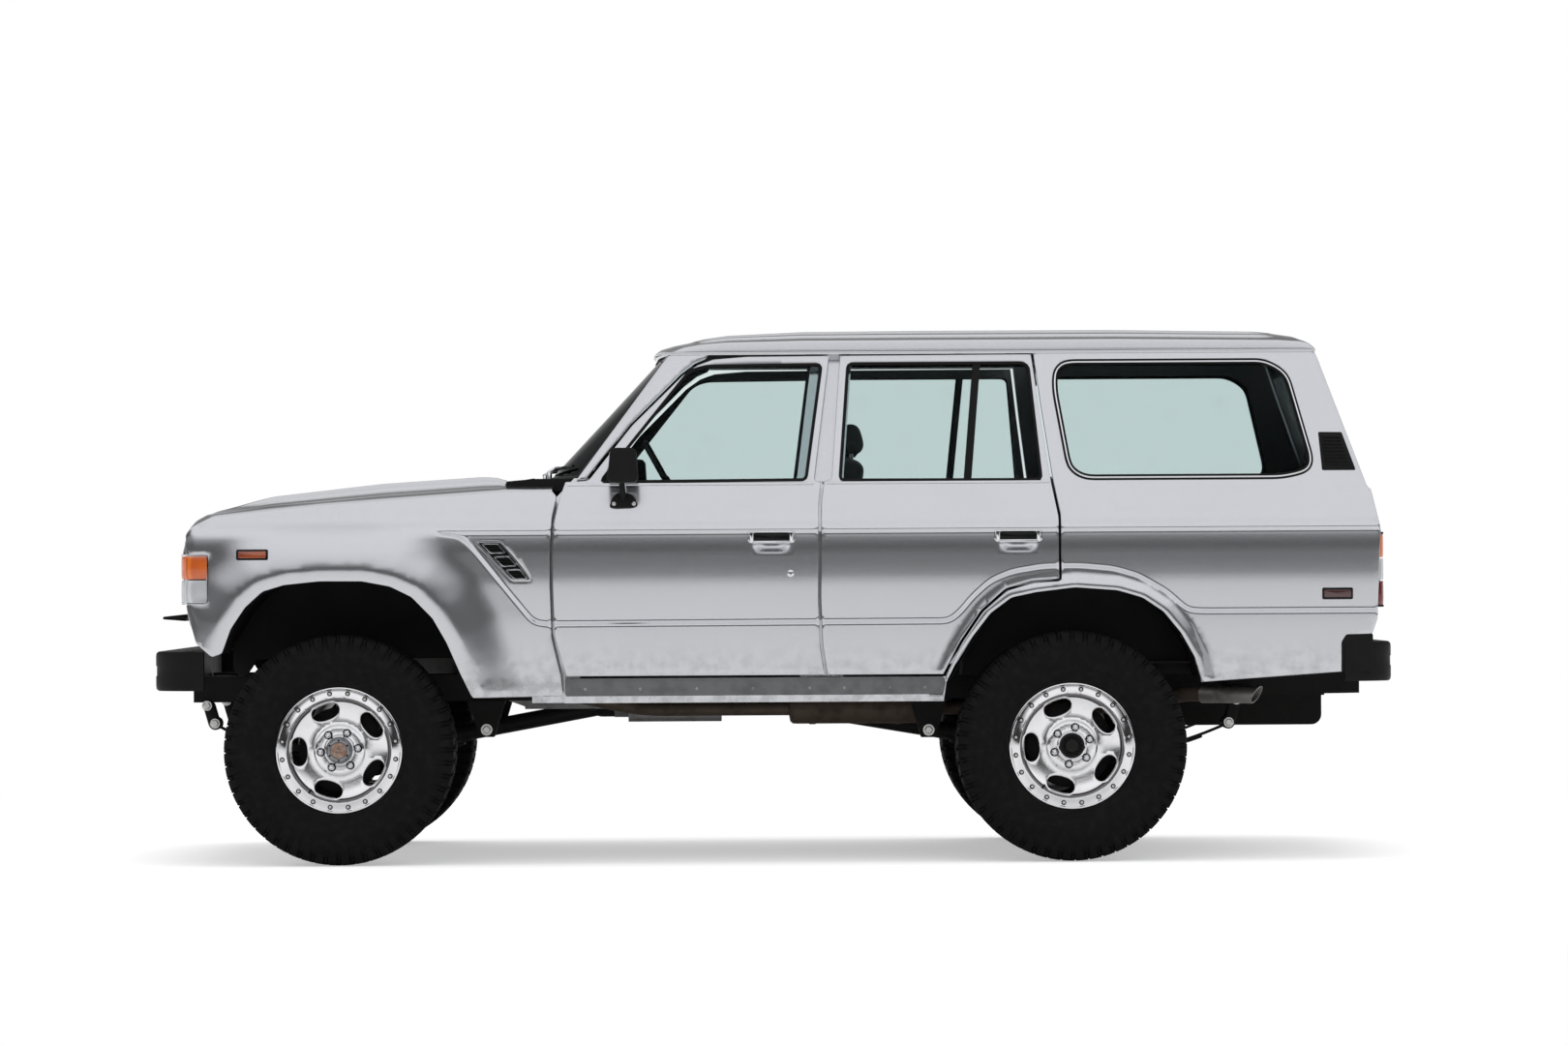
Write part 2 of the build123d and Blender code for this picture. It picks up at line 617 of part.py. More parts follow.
# Rear face of the body: height z, x
rear_rows = [
    (822.0, 2222.0), (900.0, 2248.0), (944.0, 2249.0), (1226.0, 2262.0), (1251.0, 2257.0), (1383.0, 2228.0),
    (1390.0, 2215.0), (1896.0, 2040.0), (1904.0, 2034.0),
]
rear_face = [(x, z) for z, x in rear_rows] + [(x - post_depth, z) for z, x in rear_rows[::-1]]
post_reach = side_y - post_in
rear_post = side_plate(rear_face, post_in, side_y) & skin(0.0, post_reach, post_reach)
tail_room = block((tail_front - seat_gap, -tail_out - seat_gap, tail_low - seat_gap),
                  (body_rear, -tail_in + seat_gap, tail_high + seat_gap))
side = joined([side, rear_post]) - press - tail_room
top_front, top_rear, low_rear, low_front = louvre_corners
louvre_pocket = skin(-seam, louvre_depth, louvre_depth) & cutter(louvre_corners)
side = side - louvre_pocket
slats = []
for index in range(slat_count):
    corners = []
    for share in (index / slat_count, (index + slat_share) / slat_count):
        front = (low_front[0] + (top_front[0] - low_front[0]) * share,
                 low_front[1] + (top_front[1] - low_front[1]) * share)
        rear = (low_rear[0] + (top_rear[0] - low_rear[0]) * share,
                low_rear[1] + (top_rear[1] - low_rear[1]) * share)
        corners += [front, rear] if not corners else [rear, front]
    slats.append(skin(seat_gap, louvre_depth + seam, louvre_depth + seam) & cutter(corners))
side = joined([side, *slats])
save("side_panels", *pair(side))
tail = block((tail_front, -tail_out, tail_low), (tail_back, -tail_in, tail_high))
save("tail_lamps", *pair(tail), *pair(marker(rear_marker_middle, rear_marker_size, rear_marker_in)))

# Tailgates: upper with its window, lower with a pressed panel
gate_half = post_in - seam
gate_wall = 40.0
gate_split = (1382.0, 1391.0)
gate_top = 1896.0
gate_base = 846.0
gate_window = (1446.0, 1846.0, 590.0)
gate_glass_back = 12.0
plate_half = 190.0
plate_low = 1010.0
plate_high = 1150.0
plate_depth = 14.0


def rear_x(z):
    """The x of the rear face at a height."""
    for (z0, x0), (z1, x1) in zip(rear_rows, rear_rows[1:]):
        if z0 <= z <= z1:
            return x0 + (x1 - x0) * (z - z0) / (z1 - z0)


def rear_band(low, high, front, back):
    """Side profile under the rear face between two heights and two depths."""
    heights = [low] + [z for z, x in rear_rows if low < z < high] + [high]
    return [(rear_x(z) - front, z) for z in heights] + [(rear_x(z) - back, z) for z in heights[::-1]]


window_low, window_high, window_half = gate_window
lower_top, upper_base = gate_split
upper = side_plate(rear_band(upper_base, gate_top, 0.0, gate_wall), -gate_half, gate_half)
window = side_plate(rear_band(window_low, window_high, -seam, gate_wall + seam), -window_half, window_half)
upper_glass = side_plate(rear_band(window_low, window_high, gate_glass_back, gate_glass_back + glass_wall),
                         -window_half, window_half)
save("tailgate_upper", upper - window)
save("tailgate_glass", upper_glass)
lower = side_plate(rear_band(gate_base, lower_top, 0.0, gate_wall), -gate_half, gate_half)
recess = side_plate(rear_band(plate_low, plate_high, -seam, plate_depth), -plate_half, plate_half)
save("tailgate_lower", lower - recess)

# Bumpers: front bar with lower lip and brackets, rear bar with wrapped corners
front_bumper_profile = [(-2320.0, 790.0), (-2306.0, 800.0), (-2222.0, 800.0), (-2210.0, 786.0),
                        (-2210.0, 668.0),
                        (-2222.0, 654.0), (-2300.0, 652.0), (-2320.0, 672.0)]
front_corner = [(-2300.0, -768.0), (-2262.0, -826.0), (-2220.0, -855.0), (-2120.0, -880.0), (-2120.0, -862.0),
                (-2210.0, -836.0), (-2236.0, -768.0)]
bumper_low = 654.0
bumper_high = 798.0
front_straight = 768.0
rear_straight = 768.0
rear_corner = [(2304.0, -750.0), (2302.0, -768.0), (2270.0, -830.0), (2220.0, -862.0), (2122.0, -884.0),
               (2122.0, -874.0), (2196.0, -866.0), (2214.0, -846.0), (2240.0, -750.0)]
rear_bumper_profile = [(2320.0, 676.0), (2320.0, 800.0), (2306.0, 812.0), (2236.0, 812.0), (2236.0, 668.0),
                       (2300.0, 664.0)]
rear_low = 674.0
rear_high = 806.0
ledge = [(-2282.0, 920.0), (-2282.0, 932.0), (-2196.0, 940.0), (-2196.0, 914.0)]
ledge_span = (560.0, 800.0)
bumper_front = joined([
    side_plate(front_bumper_profile, -front_straight, front_straight),
    *pair(plan_plate(front_corner, bumper_low, bumper_high)),
])
save("front_bumper", bumper_front, *pair(side_plate(ledge, *ledge_span)))
bumper_rear = joined([
    side_plate(rear_bumper_profile, -rear_straight, rear_straight),
    *pair(plan_plate(rear_corner, rear_low, rear_high)),
])
save("rear_bumper", bumper_rear)

# Ladder frame
rail_inner = 330.0
rail_outer = 400.0
frame_low = 600.0
frame_kick = [
    (-2210.0, 600.0), (-2210.0, 700.0), (760.0, 700.0), (860.0, 706.0), (2100.0, 706.0), (2236.0, 700.0),
    (2236.0, 610.0), (1900.0, 606.0), (1300.0, 616.0), (860.0, 616.0), (760.0, 600.0),
]
# Cross members: front x, rear x, base z
cross_members = [
    (-2190.0, -2130.0, 612.0), (-1240.0, -1190.0, 612.0), (-60.0, 0.0, 640.0), (560.0, 620.0, 640.0),
    (1380.0, 1440.0, 640.0), (2176.0, 2236.0, 612.0),
]
cross_high = 690.0
# Spring eyes: reach from the axle and height
front_eye_reach = 528.0
front_shackle_reach = 506.0
rear_eye_reach = 518.0
rear_shackle_reach = 627.0
front_eye = (front_axle_x + front_eye_reach, 490.0)
front_shackle = (front_axle_x - front_shackle_reach, 520.0)
rear_eye = (rear_axle_x - rear_eye_reach, 479.0)
rear_shackle = (rear_axle_x + rear_shackle_reach, 501.0)
spring_y = (337.0, 403.0)
bracket_width = (326.0, 414.0)
eye_radius = 26.0
pin_radius = 9.0
pin_side = (318.0, 422.0)
hanger_half_low = 28.0
hanger_half_high = 70.0
hanger_wall = 10.0
mount_half = 46.0
mount_y = (400.0, 560.0)
mount_x = [-860.0, -60.0, 520.0, 1760.0]
mount_low = 640.0
mount_high = 668.0
puck_radius = 40.0
puck_y = 520.0
hitch_pitch_y = 120.0
hitch_pitch_z = 50.0
hitch_hole = 6.5
hitch_z = 655.0
rail = side_plate(frame_kick, rail_inner, rail_outer)


def hanger(eye):
    """Two plates holding a spring eye under the rail, with the pin."""
    x, z = eye
    outline = [(x - hanger_half_high, frame_low), (x + hanger_half_high, frame_low),
               (x + hanger_half_low, z - hanger_half_low), (x - hanger_half_low, z - hanger_half_low)]
    inner, outer = bracket_width
    return [
        side_plate(outline, inner, inner + hanger_wall),
        side_plate(outline, outer - hanger_wall, outer),
        block((x - hanger_half_high, -outer, frame_low - hanger_wall),
              (x + hanger_half_high, -inner, frame_low)),
        across(x, z, *pin_side, pin_radius),
    ]


left_rail = [rail, *hanger(front_eye), *hanger(rear_eye)]
for x in mount_x:
    left_rail.append(block((x - mount_half, -mount_y[1], mount_low),
                           (x + mount_half, -mount_y[0], mount_high)))
    left_rail.append(rod((x, -puck_y, mount_high), (x, -puck_y, floor_low), puck_radius))
members = [block((a, -rail_inner, low), (b, rail_inner, cross_high)) for a, b, low in cross_members]
frame = joined([*left_rail, *[mirror(shape, about=Plane.XZ) for shape in left_rail], *members])
for y in (-hitch_pitch_y / 2, hitch_pitch_y / 2):
    for z in (hitch_z - hitch_pitch_z / 2, hitch_z + hitch_pitch_z / 2):
        hole_front, hole_back, base = cross_members[-1]
        frame = frame - rod((hole_front - seam, y, z), (hole_back + seam, y, z), hitch_hole)
save("frame", frame)

# Leaf springs with eyes, shackles and shock absorbers
leaf_wall = 8.5
# Length of each leaf against the main one
leaf_shares = [1.0, 0.84, 0.62, 0.4]
spring_sag_z = 372.0
shackle_wall = 9.0
shackle_lean = 30.0
shackle_top = 588.0
shackle_half = 20.0
shock_radius = 27.0
shock_rod_radius = 10.0
shock_y = 300.0
shock_reach = 62.0
shock_foot_z = 396.0
shock_lean = 60.0
shock_head_z = 640.0
shock_plate = (270.0, 330.0)
shock_plate_low = 370.0
shock_plate_high = 389.2
shock_web = 22.0
shock_share = 0.55


def leaf_layer(front, middle_x, rear, index):
    """One leaf of a pack, bent like the one above it and shorter."""
    (x0, z0), (x1, z1) = front, rear
    high, low = index * leaf_wall, (index + 1) * leaf_wall
    top = ThreePointArc((x0, z0 - high), (middle_x, spring_sag_z - high), (x1, z1 - high))
    base = ThreePointArc((x1, z1 - low), (middle_x, spring_sag_z - low), (x0, z0 - low))
    ends = [Line((x1, z1 - high), (x1, z1 - low)), Line((x0, z0 - low), (x0, z0 - high))]
    plane = Plane(origin=(0, -spring_y[0], 0), x_dir=(1, 0, 0), z_dir=(0, -1, 0))
    wires = [*top.edges(), *ends[0].edges(), *base.edges(), *ends[1].edges()]
    layer = extrude(plane * make_face(wires), amount=spring_y[1] - spring_y[0])
    share = leaf_shares[index]
    cut_low, cut_high = middle_x + (x0 - middle_x) * share, middle_x + (x1 - middle_x) * share
    return layer & block((cut_low, -spring_y[1], 0.0), (cut_high, -spring_y[0], floor_low))


def leaf(front, middle_x, rear):
    """A spring pack through both eyes and under the axle, with the rolled eyes of its main leaf."""
    layers = [leaf_layer(front, middle_x, rear, index) for index in range(len(leaf_shares))]
    spring = joined([*layers, *[across(x, z, *spring_y, eye_radius) for x, z in (front, rear)]])
    for x, z in (front, rear):
        spring = spring - across(x, z, spring_y[0] - seam, spring_y[1] + seam, pin_radius + seat_gap)
    return spring


def shackle(eye, lean):
    """Two side plates and two pins from the spring eye up to the rail."""
    x, z = eye
    top_x = x + lean
    outline = [(x - shackle_half, z - shackle_half), (x + shackle_half, z - shackle_half),
               (top_x + shackle_half, shackle_top + shackle_half / 2), (top_x - shackle_half,
                                                                        shackle_top + shackle_half / 2)]
    near, far = spring_y[0] - shackle_wall - seat_gap, spring_y[1] + seat_gap
    return joined([
        side_plate(outline, near, near + shackle_wall),
        side_plate(outline, far, far + shackle_wall),
        across(x, z, near - seat_gap, far + shackle_wall + seat_gap, pin_radius),
        across(top_x, shackle_top, near - seat_gap, far + shackle_wall + seat_gap, pin_radius + seam / 4),
    ])


def shock(axle_x):
    """A shock absorber behind an axle: body below, rod above."""
    x0, z0 = axle_x + shock_reach, shock_foot_z
    x1, z1 = x0 + shock_lean, shock_head_z
    middle = (x0 + (x1 - x0) * shock_share, -shock_y, z0 + (z1 - z0) * shock_share)
    return joined([rod((x0, -shock_y, z0), middle, shock_radius),
                   rod(middle, (x1, -shock_y, z1), shock_rod_radius)])


front_spring = leaf(front_shackle, front_axle_x, front_eye)
rear_spring = leaf(rear_eye, rear_axle_x, rear_shackle)
spring_parts = [front_spring, rear_spring, shackle(front_shackle, -shackle_lean),
                shackle(rear_shackle, shackle_lean)]
save("leaf_springs", *[piece for part in spring_parts for piece in pair(part)])
save("shock_absorbers", *[piece for x in (front_axle_x, rear_axle_x) for piece in pair(shock(x))])

# Axles: tubes, differentials, ball ends at the front and stub ends at the rear
tube_radius = 38.0
ball_radius = 70.0
stub_radius = 30.0
stub_end_y = 812.0
rear_tube_end = 660.0
bowl_radius = 104.0
bowl_half = 70.0
pinion_radius = 46.0
front_diff_y = 190.0
rear_diff_y = 120.0
front_pinion_long = 192.0
rear_pinion_long = 208.0
front_pinion_x = front_axle_x + front_pinion_long
rear_pinion_x = rear_axle_x - rear_pinion_long
perch_half = 60.0
perch_lift = 4.4
perch_y = (340.0, 400.0)
axle_z = wheel_radius
front_tube = rod((front_axle_x, -kingpin_y, axle_z), (front_axle_x, kingpin_y, axle_z), tube_radius)
front_bowl = rod((front_axle_x, front_diff_y - bowl_half, axle_z),
                 (front_axle_x, front_diff_y + bowl_half, axle_z), bowl_radius)
front_pinion = rod((front_axle_x, front_diff_y, axle_z), (front_pinion_x, front_diff_y, axle_z),
                   pinion_radius)
balls = pair(place(Sphere(ball_radius), front_axle_x, -kingpin_y, axle_z))


def perches(x):
    """Pads between an axle tube and its springs, and plates under the shock absorbers."""
    low, high = perch_y
    foot_end = x + shock_reach + shock_radius
    plate = [(x - shock_web, shock_plate_low), (x - shock_web, axle_z), (x + shock_web, axle_z),
             (x + shock_web, shock_plate_high), (foot_end, shock_plate_high), (foot_end, shock_plate_low)]
    pad = block((x - perch_half, -high, spring_sag_z + perch_lift), (x + perch_half, -low, axle_z))
    return pair(pad) + pair(side_plate(plate, *shock_plate))


save("front_axle", joined([front_tube, front_bowl, front_pinion, *balls, *perches(front_axle_x)]))
rear_tube = rod((rear_axle_x, -rear_tube_end, axle_z), (rear_axle_x, rear_tube_end, axle_z), tube_radius)
rear_stub = rod((rear_axle_x, -stub_end_y, axle_z), (rear_axle_x, stub_end_y, axle_z), stub_radius)
rear_bowl = rod((rear_axle_x, rear_diff_y - bowl_half, axle_z),
                (rear_axle_x, rear_diff_y + bowl_half, axle_z), bowl_radius)
rear_pinion = rod((rear_axle_x, rear_diff_y, axle_z), (rear_pinion_x, rear_diff_y, axle_z), pinion_radius)
save("rear_axle", joined([rear_tube, rear_stub, rear_bowl, rear_pinion, *perches(rear_axle_x)]))

# Steering knuckles round the ball ends, with stub axle and arm; tie rod
cup_radius = 88.0
cup_edge = 22.0
arm_half = 18.0
arm_foot_share = 0.8
arm_wall = 22.0
joint_radius = 20.0
joint_half = 24.0
tie_radius = 11.2
tie_x = front_axle_x - steer_arm
tie_z = axle_z + tie_rod_rise
pivot_radius = 9.0
cup = Sphere(cup_radius) - Sphere(ball_radius + bearing_gap)
cup = cup & block((-cup_radius, -cup_radius, -cup_radius), (cup_radius, cup_edge, cup_radius))
cup = place(cup, front_axle_x, -kingpin_y, axle_z)
arm_low = tie_z + joint_half / 2 + bearing_gap
arm_foot_x = front_axle_x - cup_radius * arm_foot_share
arm = plan_plate([(arm_foot_x, -kingpin_y - arm_half), (tie_x, -kingpin_y - arm_half),
                  (tie_x - arm_half, -kingpin_y), (tie_x, -kingpin_y + arm_half),
                  (arm_foot_x, -kingpin_y + arm_half)], arm_low, arm_low + arm_wall)
arm_pin = rod((tie_x, -kingpin_y, tie_z - joint_half / 2), (tie_x, -kingpin_y, arm_low + arm_wall),
              pivot_radius)
stub = rod((front_axle_x, -kingpin_y - cup_radius + seam, axle_z), (front_axle_x, -stub_end_y, axle_z),
           stub_radius)
for label, shape in zip(("left", "right"), pair(joined([cup, arm, arm_pin, stub]))):
    save(f"knuckle_{label}", shape)
tie_ends = pair(rod((tie_x, -kingpin_y, tie_z - joint_half / 2), (tie_x, -kingpin_y, tie_z + joint_half / 2),
                    joint_radius))
tie = joined([rod((tie_x, -kingpin_y, tie_z), (tie_x, kingpin_y, tie_z), tie_radius), *tie_ends])
for hole in pair(rod((tie_x, -kingpin_y, tie_z - joint_half), (tie_x, -kingpin_y, tie_z + joint_half),
                     pivot_radius + bearing_gap)):
    tie = tie - hole
save("tie_rod", tie)

# Wheels: rim with bolt ring, oval windows, lug nuts and hub. Profiles are y outward, radius
rim_edge_radius = 237.0
rim_half = 116.0
barrel_radius = 222.0
barrel_wall = 10.0
ring_inner = 190.0
ring_in = 92.0
disc_in = 52.0
disc_out = 70.0
hub_bore = stub_radius + bearing_gap
hub_radius = 62.0
hub_in = -34.0
centre_radius = 92.0
centre_out = 84.0
cap_radius = 50.0
cap_end_share = 0.9
front_cap_out = 138.0
rear_cap_out = 104.0
brake_radius = 160.0
brake_wall = 24.0
window_count = 5
window_first = 38.0
window_reach = 152.0
window_long = 118.0
window_high_size = 74.0
nut_count = 6
nut_pitch_radius = 69.85
nut_radius = 11.0
nut_long = 22.0
bolt_count = 20
bolt_pitch_radius = 214.0
bolt_radius = 7.0
bolt_long = 7.0
tyre_bead = 107.0
lug_count = 20
facet_count = 2 * lug_count
facet_round = math.cos(math.pi / facet_count)
tyre_inner = (barrel_radius + seat_gap) / facet_round
rim_lip = (rim_edge_radius + seat_gap * 2) / facet_round
# Tyre sections through a shoulder lug and between two: half width, radius
tyre_profile = [
    (tyre_bead, tyre_inner), (tyre_bead, rim_lip), (138.0, 252.0), (tyre_half_width, 330.0), (155.0, 380.0),
    (150.0, 404.0), (tread_half_width, 426.0), (70.0, wheel_radius),
]
groove_profile = tyre_profile[:5] + [(138.0, 400.0), (112.0, 415.0), (70.0, wheel_radius)]
barrel_profile = [
    (-rim_half, barrel_radius - barrel_wall), (-rim_half, rim_edge_radius),
    (-tyre_bead - seat_gap, rim_edge_radius),
    (-tyre_bead - seat_gap, barrel_radius), (tyre_bead + seat_gap, barrel_radius),
    (tyre_bead + seat_gap, rim_edge_radius), (rim_half, rim_edge_radius), (rim_half, ring_inner),
    (ring_in, ring_inner), (ring_in, barrel_radius - barrel_wall),
]
disc_profile = [
    (disc_in - brake_wall, hub_bore), (disc_in, centre_radius), (disc_out, ring_inner),
    (ring_in, barrel_radius - barrel_wall / 2),
    (rim_half, ring_inner), (disc_out + brake_wall, centre_radius + brake_wall), (centre_out, centre_radius),
    (centre_out, hub_bore),
]
nave_profile = [(hub_in, hub_bore), (hub_in, hub_radius), (centre_out, hub_radius), (centre_out, hub_bore)]
brake_profile = [(hub_in, hub_radius - barrel_wall), (hub_in, brake_radius),
                 (hub_in + brake_wall, brake_radius),
                 (hub_in + brake_wall, hub_radius - barrel_wall)]


def outward(profile):
    """The profile with its outward side toward the left of the vehicle."""
    return [(-y, radius) for y, radius in profile]


def wheel_rim(cap_out):
    """One left rim round the Y axis, with its hub, brake and cap."""
    cap_profile = [(stub_end_y - wheel_plane_y + seam, 0.0), (stub_end_y - wheel_plane_y + seam, cap_radius),
                   (cap_out, cap_radius * cap_end_share), (cap_out, 0.0)]
    cap_seat = [(centre_out - seam, hub_bore), (centre_out - seam, cap_radius),
                (cap_profile[1][0] + seam, cap_radius),
                (cap_profile[1][0] + seam, hub_bore)]
    profiles = (barrel_profile, disc_profile, nave_profile, brake_profile, cap_profile, cap_seat)
    rim = joined([turned(outward(profile)) for profile in profiles])
    for index in range(window_count):
        angle = window_first + 360.0 * index / window_count
        plane = Plane(origin=(0, 0, 0), x_dir=(1, 0, 0), z_dir=(0, -1, 0))
        oval = plane * (Rot(0, 0,
                            angle) * (Pos(window_reach, 0) * Ellipse(window_high_size / 2, window_long / 2)))
        rim = rim - extrude(oval, amount=rim_half + seam)
    studs = []
    for count, pitch, radius, base, long in (
        (nut_count, nut_pitch_radius, nut_radius, centre_out, nut_long),
        (bolt_count, bolt_pitch_radius, bolt_radius, rim_half, bolt_long),
    ):
        for index in range(count):
            angle = 2 * math.pi * index / count
            x, z = pitch * math.cos(angle), pitch * math.sin(angle)
            studs.append(rod((x, -base + seam / 8, z), (x, -base - long, z), radius))
    return joined([rim, *studs])


def tyre_slice(profile, index):
    """The part of a tyre between two flat sections through the wheel axis."""
    outline = [(-y, radius) for y, radius in profile] + profile[::-1]
    ends = []
    for step in (index, index + 1):
        angle = 2 * math.pi * step / facet_count
        points = [(radius * math.cos(angle), y, radius * math.sin(angle)) for y, radius in outline]
        ends.append(make_face(Polyline(*points, close=True)))
    return loft(ends, ruled=True)


slices = [tyre_slice((tyre_profile, groove_profile)[index % 2], index) for index in range(facet_count)]
tyre = joined(slices)
for name, x, cap_out in (("front", front_axle_x, front_cap_out), ("rear", rear_axle_x, rear_cap_out)):
    left_rim = place(wheel_rim(cap_out), x, -wheel_plane_y, wheel_radius)
    left_tyre = place(tyre, x, -wheel_plane_y, wheel_radius)
    for part_name, shape in (("rim", left_rim), ("tyre", left_tyre)):
        left, right = pair(shape)
        save(f"{part_name}_{name}_left", left)
        save(f"{part_name}_{name}_right", right)

# Power train
engine_front = -1920.0
engine_back = -1120.0
# Half of the engine's cross-section: half width, height
engine_section = [
    (110.0, 700.0), (150.0, 780.0), (190.0, 800.0), (190.0, 960.0), (150.0, 980.0), (150.0, 1120.0),
    (96.0, 1130.0),
    (84.0, 1226.0),
]
manifold = ((-1820.0, 150.0, 1010.0), (-1220.0, 236.0, 1096.0))
manifold_round = 24.0
fan_hub = (0.0, 980.0)
fan_radius = 60.0
fan_long = 50.0
pulley = (0.0, 840.0)
pulley_radius = 90.0
pulley_long = 34.0
bell_low = (170.0, 630.0, 890.0)
bell_high = (118.0, 570.0, 700.0)
bell_back = -960.0
gearbox_box = ((-960.0, -120.0, 560.0), (-560.0, 120.0, 700.0))
gearbox_ribs = [-900.0, -800.0, -700.0, -600.0]
rib_wall = 10.0
rib_rise = 14.0
transfer_box = ((-560.0, -130.0, 508.0), (-200.0, 215.0, 700.0))
transfer_round = 30.0
front_output = (-560.0, 190.0, 560.0)
rear_output = (-200.0, 60.0, 590.0)
output_radius = 42.0
output_long = 60.0
shaft_radius = 33.0
yoke_radius = 40.0
yoke_long = 50.0
engine_outline = engine_section + [(-y, z) for y, z in engine_section[::-1]]
left_manifold = block(*manifold)
left_manifold = fillet(left_manifold.edges().filter_by(Axis.X), manifold_round)
save("engine", joined([
    section_plate(engine_outline, engine_front, engine_back),
    *pair(left_manifold),
    rod((engine_front, *fan_hub), (engine_front - fan_long, *fan_hub), fan_radius),
    rod((engine_front, *pulley), (engine_front - pulley_long, *pulley), pulley_radius),
]))


def bell_face(x, row):
    """One end of the clutch housing."""
    half, low, high = row
    plane = Plane(origin=(x, 0, 0), x_dir=(0, 1, 0), z_dir=(1, 0, 0))
    return face_of(plane, [(-half, low), (half, low), (half, high), (-half, high)])


bell = loft([bell_face(engine_back, bell_low), bell_face(bell_back, bell_high)], ruled=True)
transfer = block(*transfer_box)
transfer = fillet(transfer.edges().filter_by(Axis.X), transfer_round)
(gear_front, gear_right, gear_low), (gear_back, gear_left, gear_high) = gearbox_box
ribs = [block((x, gear_right - rib_rise, gear_low + rib_rise),
              (x + rib_wall, gear_left + rib_rise, gear_high - rib_rise))
        for x in gearbox_ribs]
front_flange = (front_output[0] - output_long, front_output[1], front_output[2])
rear_flange = (rear_output[0] + output_long, rear_output[1], rear_output[2])
gearbox = joined([
    bell, block(*gearbox_box), transfer, *ribs,
    rod(front_output, front_flange, output_radius), rod(rear_output, rear_flange, output_radius),
])
save("gearbox", gearbox)


def prop_shaft(start, end):
    """A tube between two collars that stand square to their flanges."""
    pieces = []
    centres = []
    for point, sign in ((start, 1), (end, -1)):
        x, y, z = point
        centre = (x + sign * yoke_long, y, z)
        pieces += [rod(point, centre, yoke_radius), place(Sphere(yoke_radius), *centre)]
        centres.append(centre)
    return joined([rod(*centres, shaft_radius), *pieces])


front_shaft = prop_shaft((front_pinion_x + seat_gap, front_diff_y, axle_z),
                         (front_flange[0] - seat_gap, front_flange[1], front_flange[2]))
rear_shaft = prop_shaft((rear_flange[0] + seat_gap, rear_flange[1], rear_flange[2]),
                        (rear_pinion_x - seat_gap, rear_diff_y, axle_z))
save("propeller_shafts", front_shaft, rear_shaft)

# Exhaust: pipe, silencer and slash-cut tail pipe; fuel tank
pipe_radius = 28.0
tail_pipe_radius = 34.0
exhaust_points = [(-900.0, -200.0, 640.0), (-500.0, -230.0, 560.0), (60.0, -230.0, 560.0)]
silencer = ((60.0, -300.0, 520.0), (560.0, -160.0, 600.0))
silencer_radius = 60.0
exhaust_rear = [(560.0, -230.0, 560.0), (860.0, -250.0, 560.0), (1360.0, -250.0, 560.0)]
tail_points = [(1470.0, -450.0, 560.0), (1530.0, -510.0, 612.0), (1836.0, -690.0, 612.0)]
tank_box = ((1560.0, -60.0, 480.0), (2130.0, 300.0, floor_low))
tank_round = 40.0
flange_out = 12.0


# Exhaust hangers: x, y
hanger_rows = [(-30.0, -230.0), (590.0, -231.0)]
hanger_radius = 8.0
hanger_top = cross_members[2][2]


def pipe(points, radius):
    """A round pipe along straight lengths, mitred where it bends."""
    start = Plane(origin=points[0], z_dir=Vector(*points[1]) - Vector(*points[0]))
    return sweep(start * Circle(radius), path=Polyline(*points), transition=Transition.RIGHT)


main_pipe = pipe([*exhaust_points, *exhaust_rear, *tail_points], pipe_radius)
box_pipe = rod(exhaust_points[-1], exhaust_rear[0], silencer_radius)
tail_pipe = rod(*tail_points[1:], tail_pipe_radius)
stays = [rod((x, y, exhaust_points[-1][2]), (x, y, hanger_top), hanger_radius) for x, y in hanger_rows]
save("exhaust", joined([main_pipe, box_pipe, tail_pipe, *stays]))
tank = block(*tank_box)
tank = fillet(tank.edges().filter_by(Axis.Y), tank_round)
(tank_front, tank_right, tank_low), (tank_back, tank_left, tank_top) = tank_box
tank_seam = (tank_low + tank_top) / 2
flange = block((tank_front - flange_out, tank_right, tank_seam),
               (tank_back + flange_out, tank_left, tank_seam + sheet / 2))
save("fuel_tank", joined([tank, flange]))

# Cabin: dashboard with column and wheel, seats and bench
dash_profile = [(-812.0, 1120.0), (-812.0, 1392.3), (-684.0, 1392.3), (-600.0, 1370.0), (-570.0, 1300.0),
                (-620.0, 1120.0)]
dash_half = 720.0
pod_profile = [(-680.0, 1370.0), (-680.0, 1450.0), (-560.0, 1462.0), (-560.0, 1300.0)]
pod_span = (200.0, 540.0)
wheel_centre = (-392.0, -370.0, 1412.0)
wheel_ring = 190.0
wheel_grip = 14.0
wheel_lean = 29.0
hub_disc = 60.0
spoke_half = 16.0
column_radius = 26.0
column_end = (-640.0, -370.0, 1262.0)
seat_y = (140.0, 640.0)
cushion = [(-330.0, 990.0), (-350.0, 1060.0), (-320.0, 1096.0), (180.0, 1076.0), (180.0, 960.0),
           (-300.0, 960.0)]
backrest = [(120.0, 1040.0), (250.0, 1500.0), (300.0, 1520.0), (350.0, 1490.0), (262.0, 1040.0),
            (200.0, 990.0)]
seat_base = [(-280.0, 732.0), (-280.0, 970.0), (170.0, 970.0), (170.0, 732.0)]
seat_base_y = (180.0, 600.0)
rest_profile = [(250.0, 1536.0), (262.0, 1630.0), (290.0, 1650.0), (330.0, 1640.0), (352.0, 1560.0),
                (330.0, 1530.0)]
rest_y = (270.0, 510.0)
rest_post = [(296.0, 1480.0), (296.0, 1560.0), (308.0, 1560.0), (308.0, 1480.0)]
rest_post_y = [(320.0, 332.0), (448.0, 460.0)]
bench_half = 540.0
bench_cushion = [(560.0, 960.0), (540.0, 1030.0), (570.0, 1060.0), (1020.0, 1040.0), (1020.0, 930.0)]
bench_back = [(960.0, 1030.0), (1090.0, 1450.0), (1140.0, 1466.0), (1180.0, 1440.0), (1090.0, 1030.0),
              (1020.0, 990.0)]
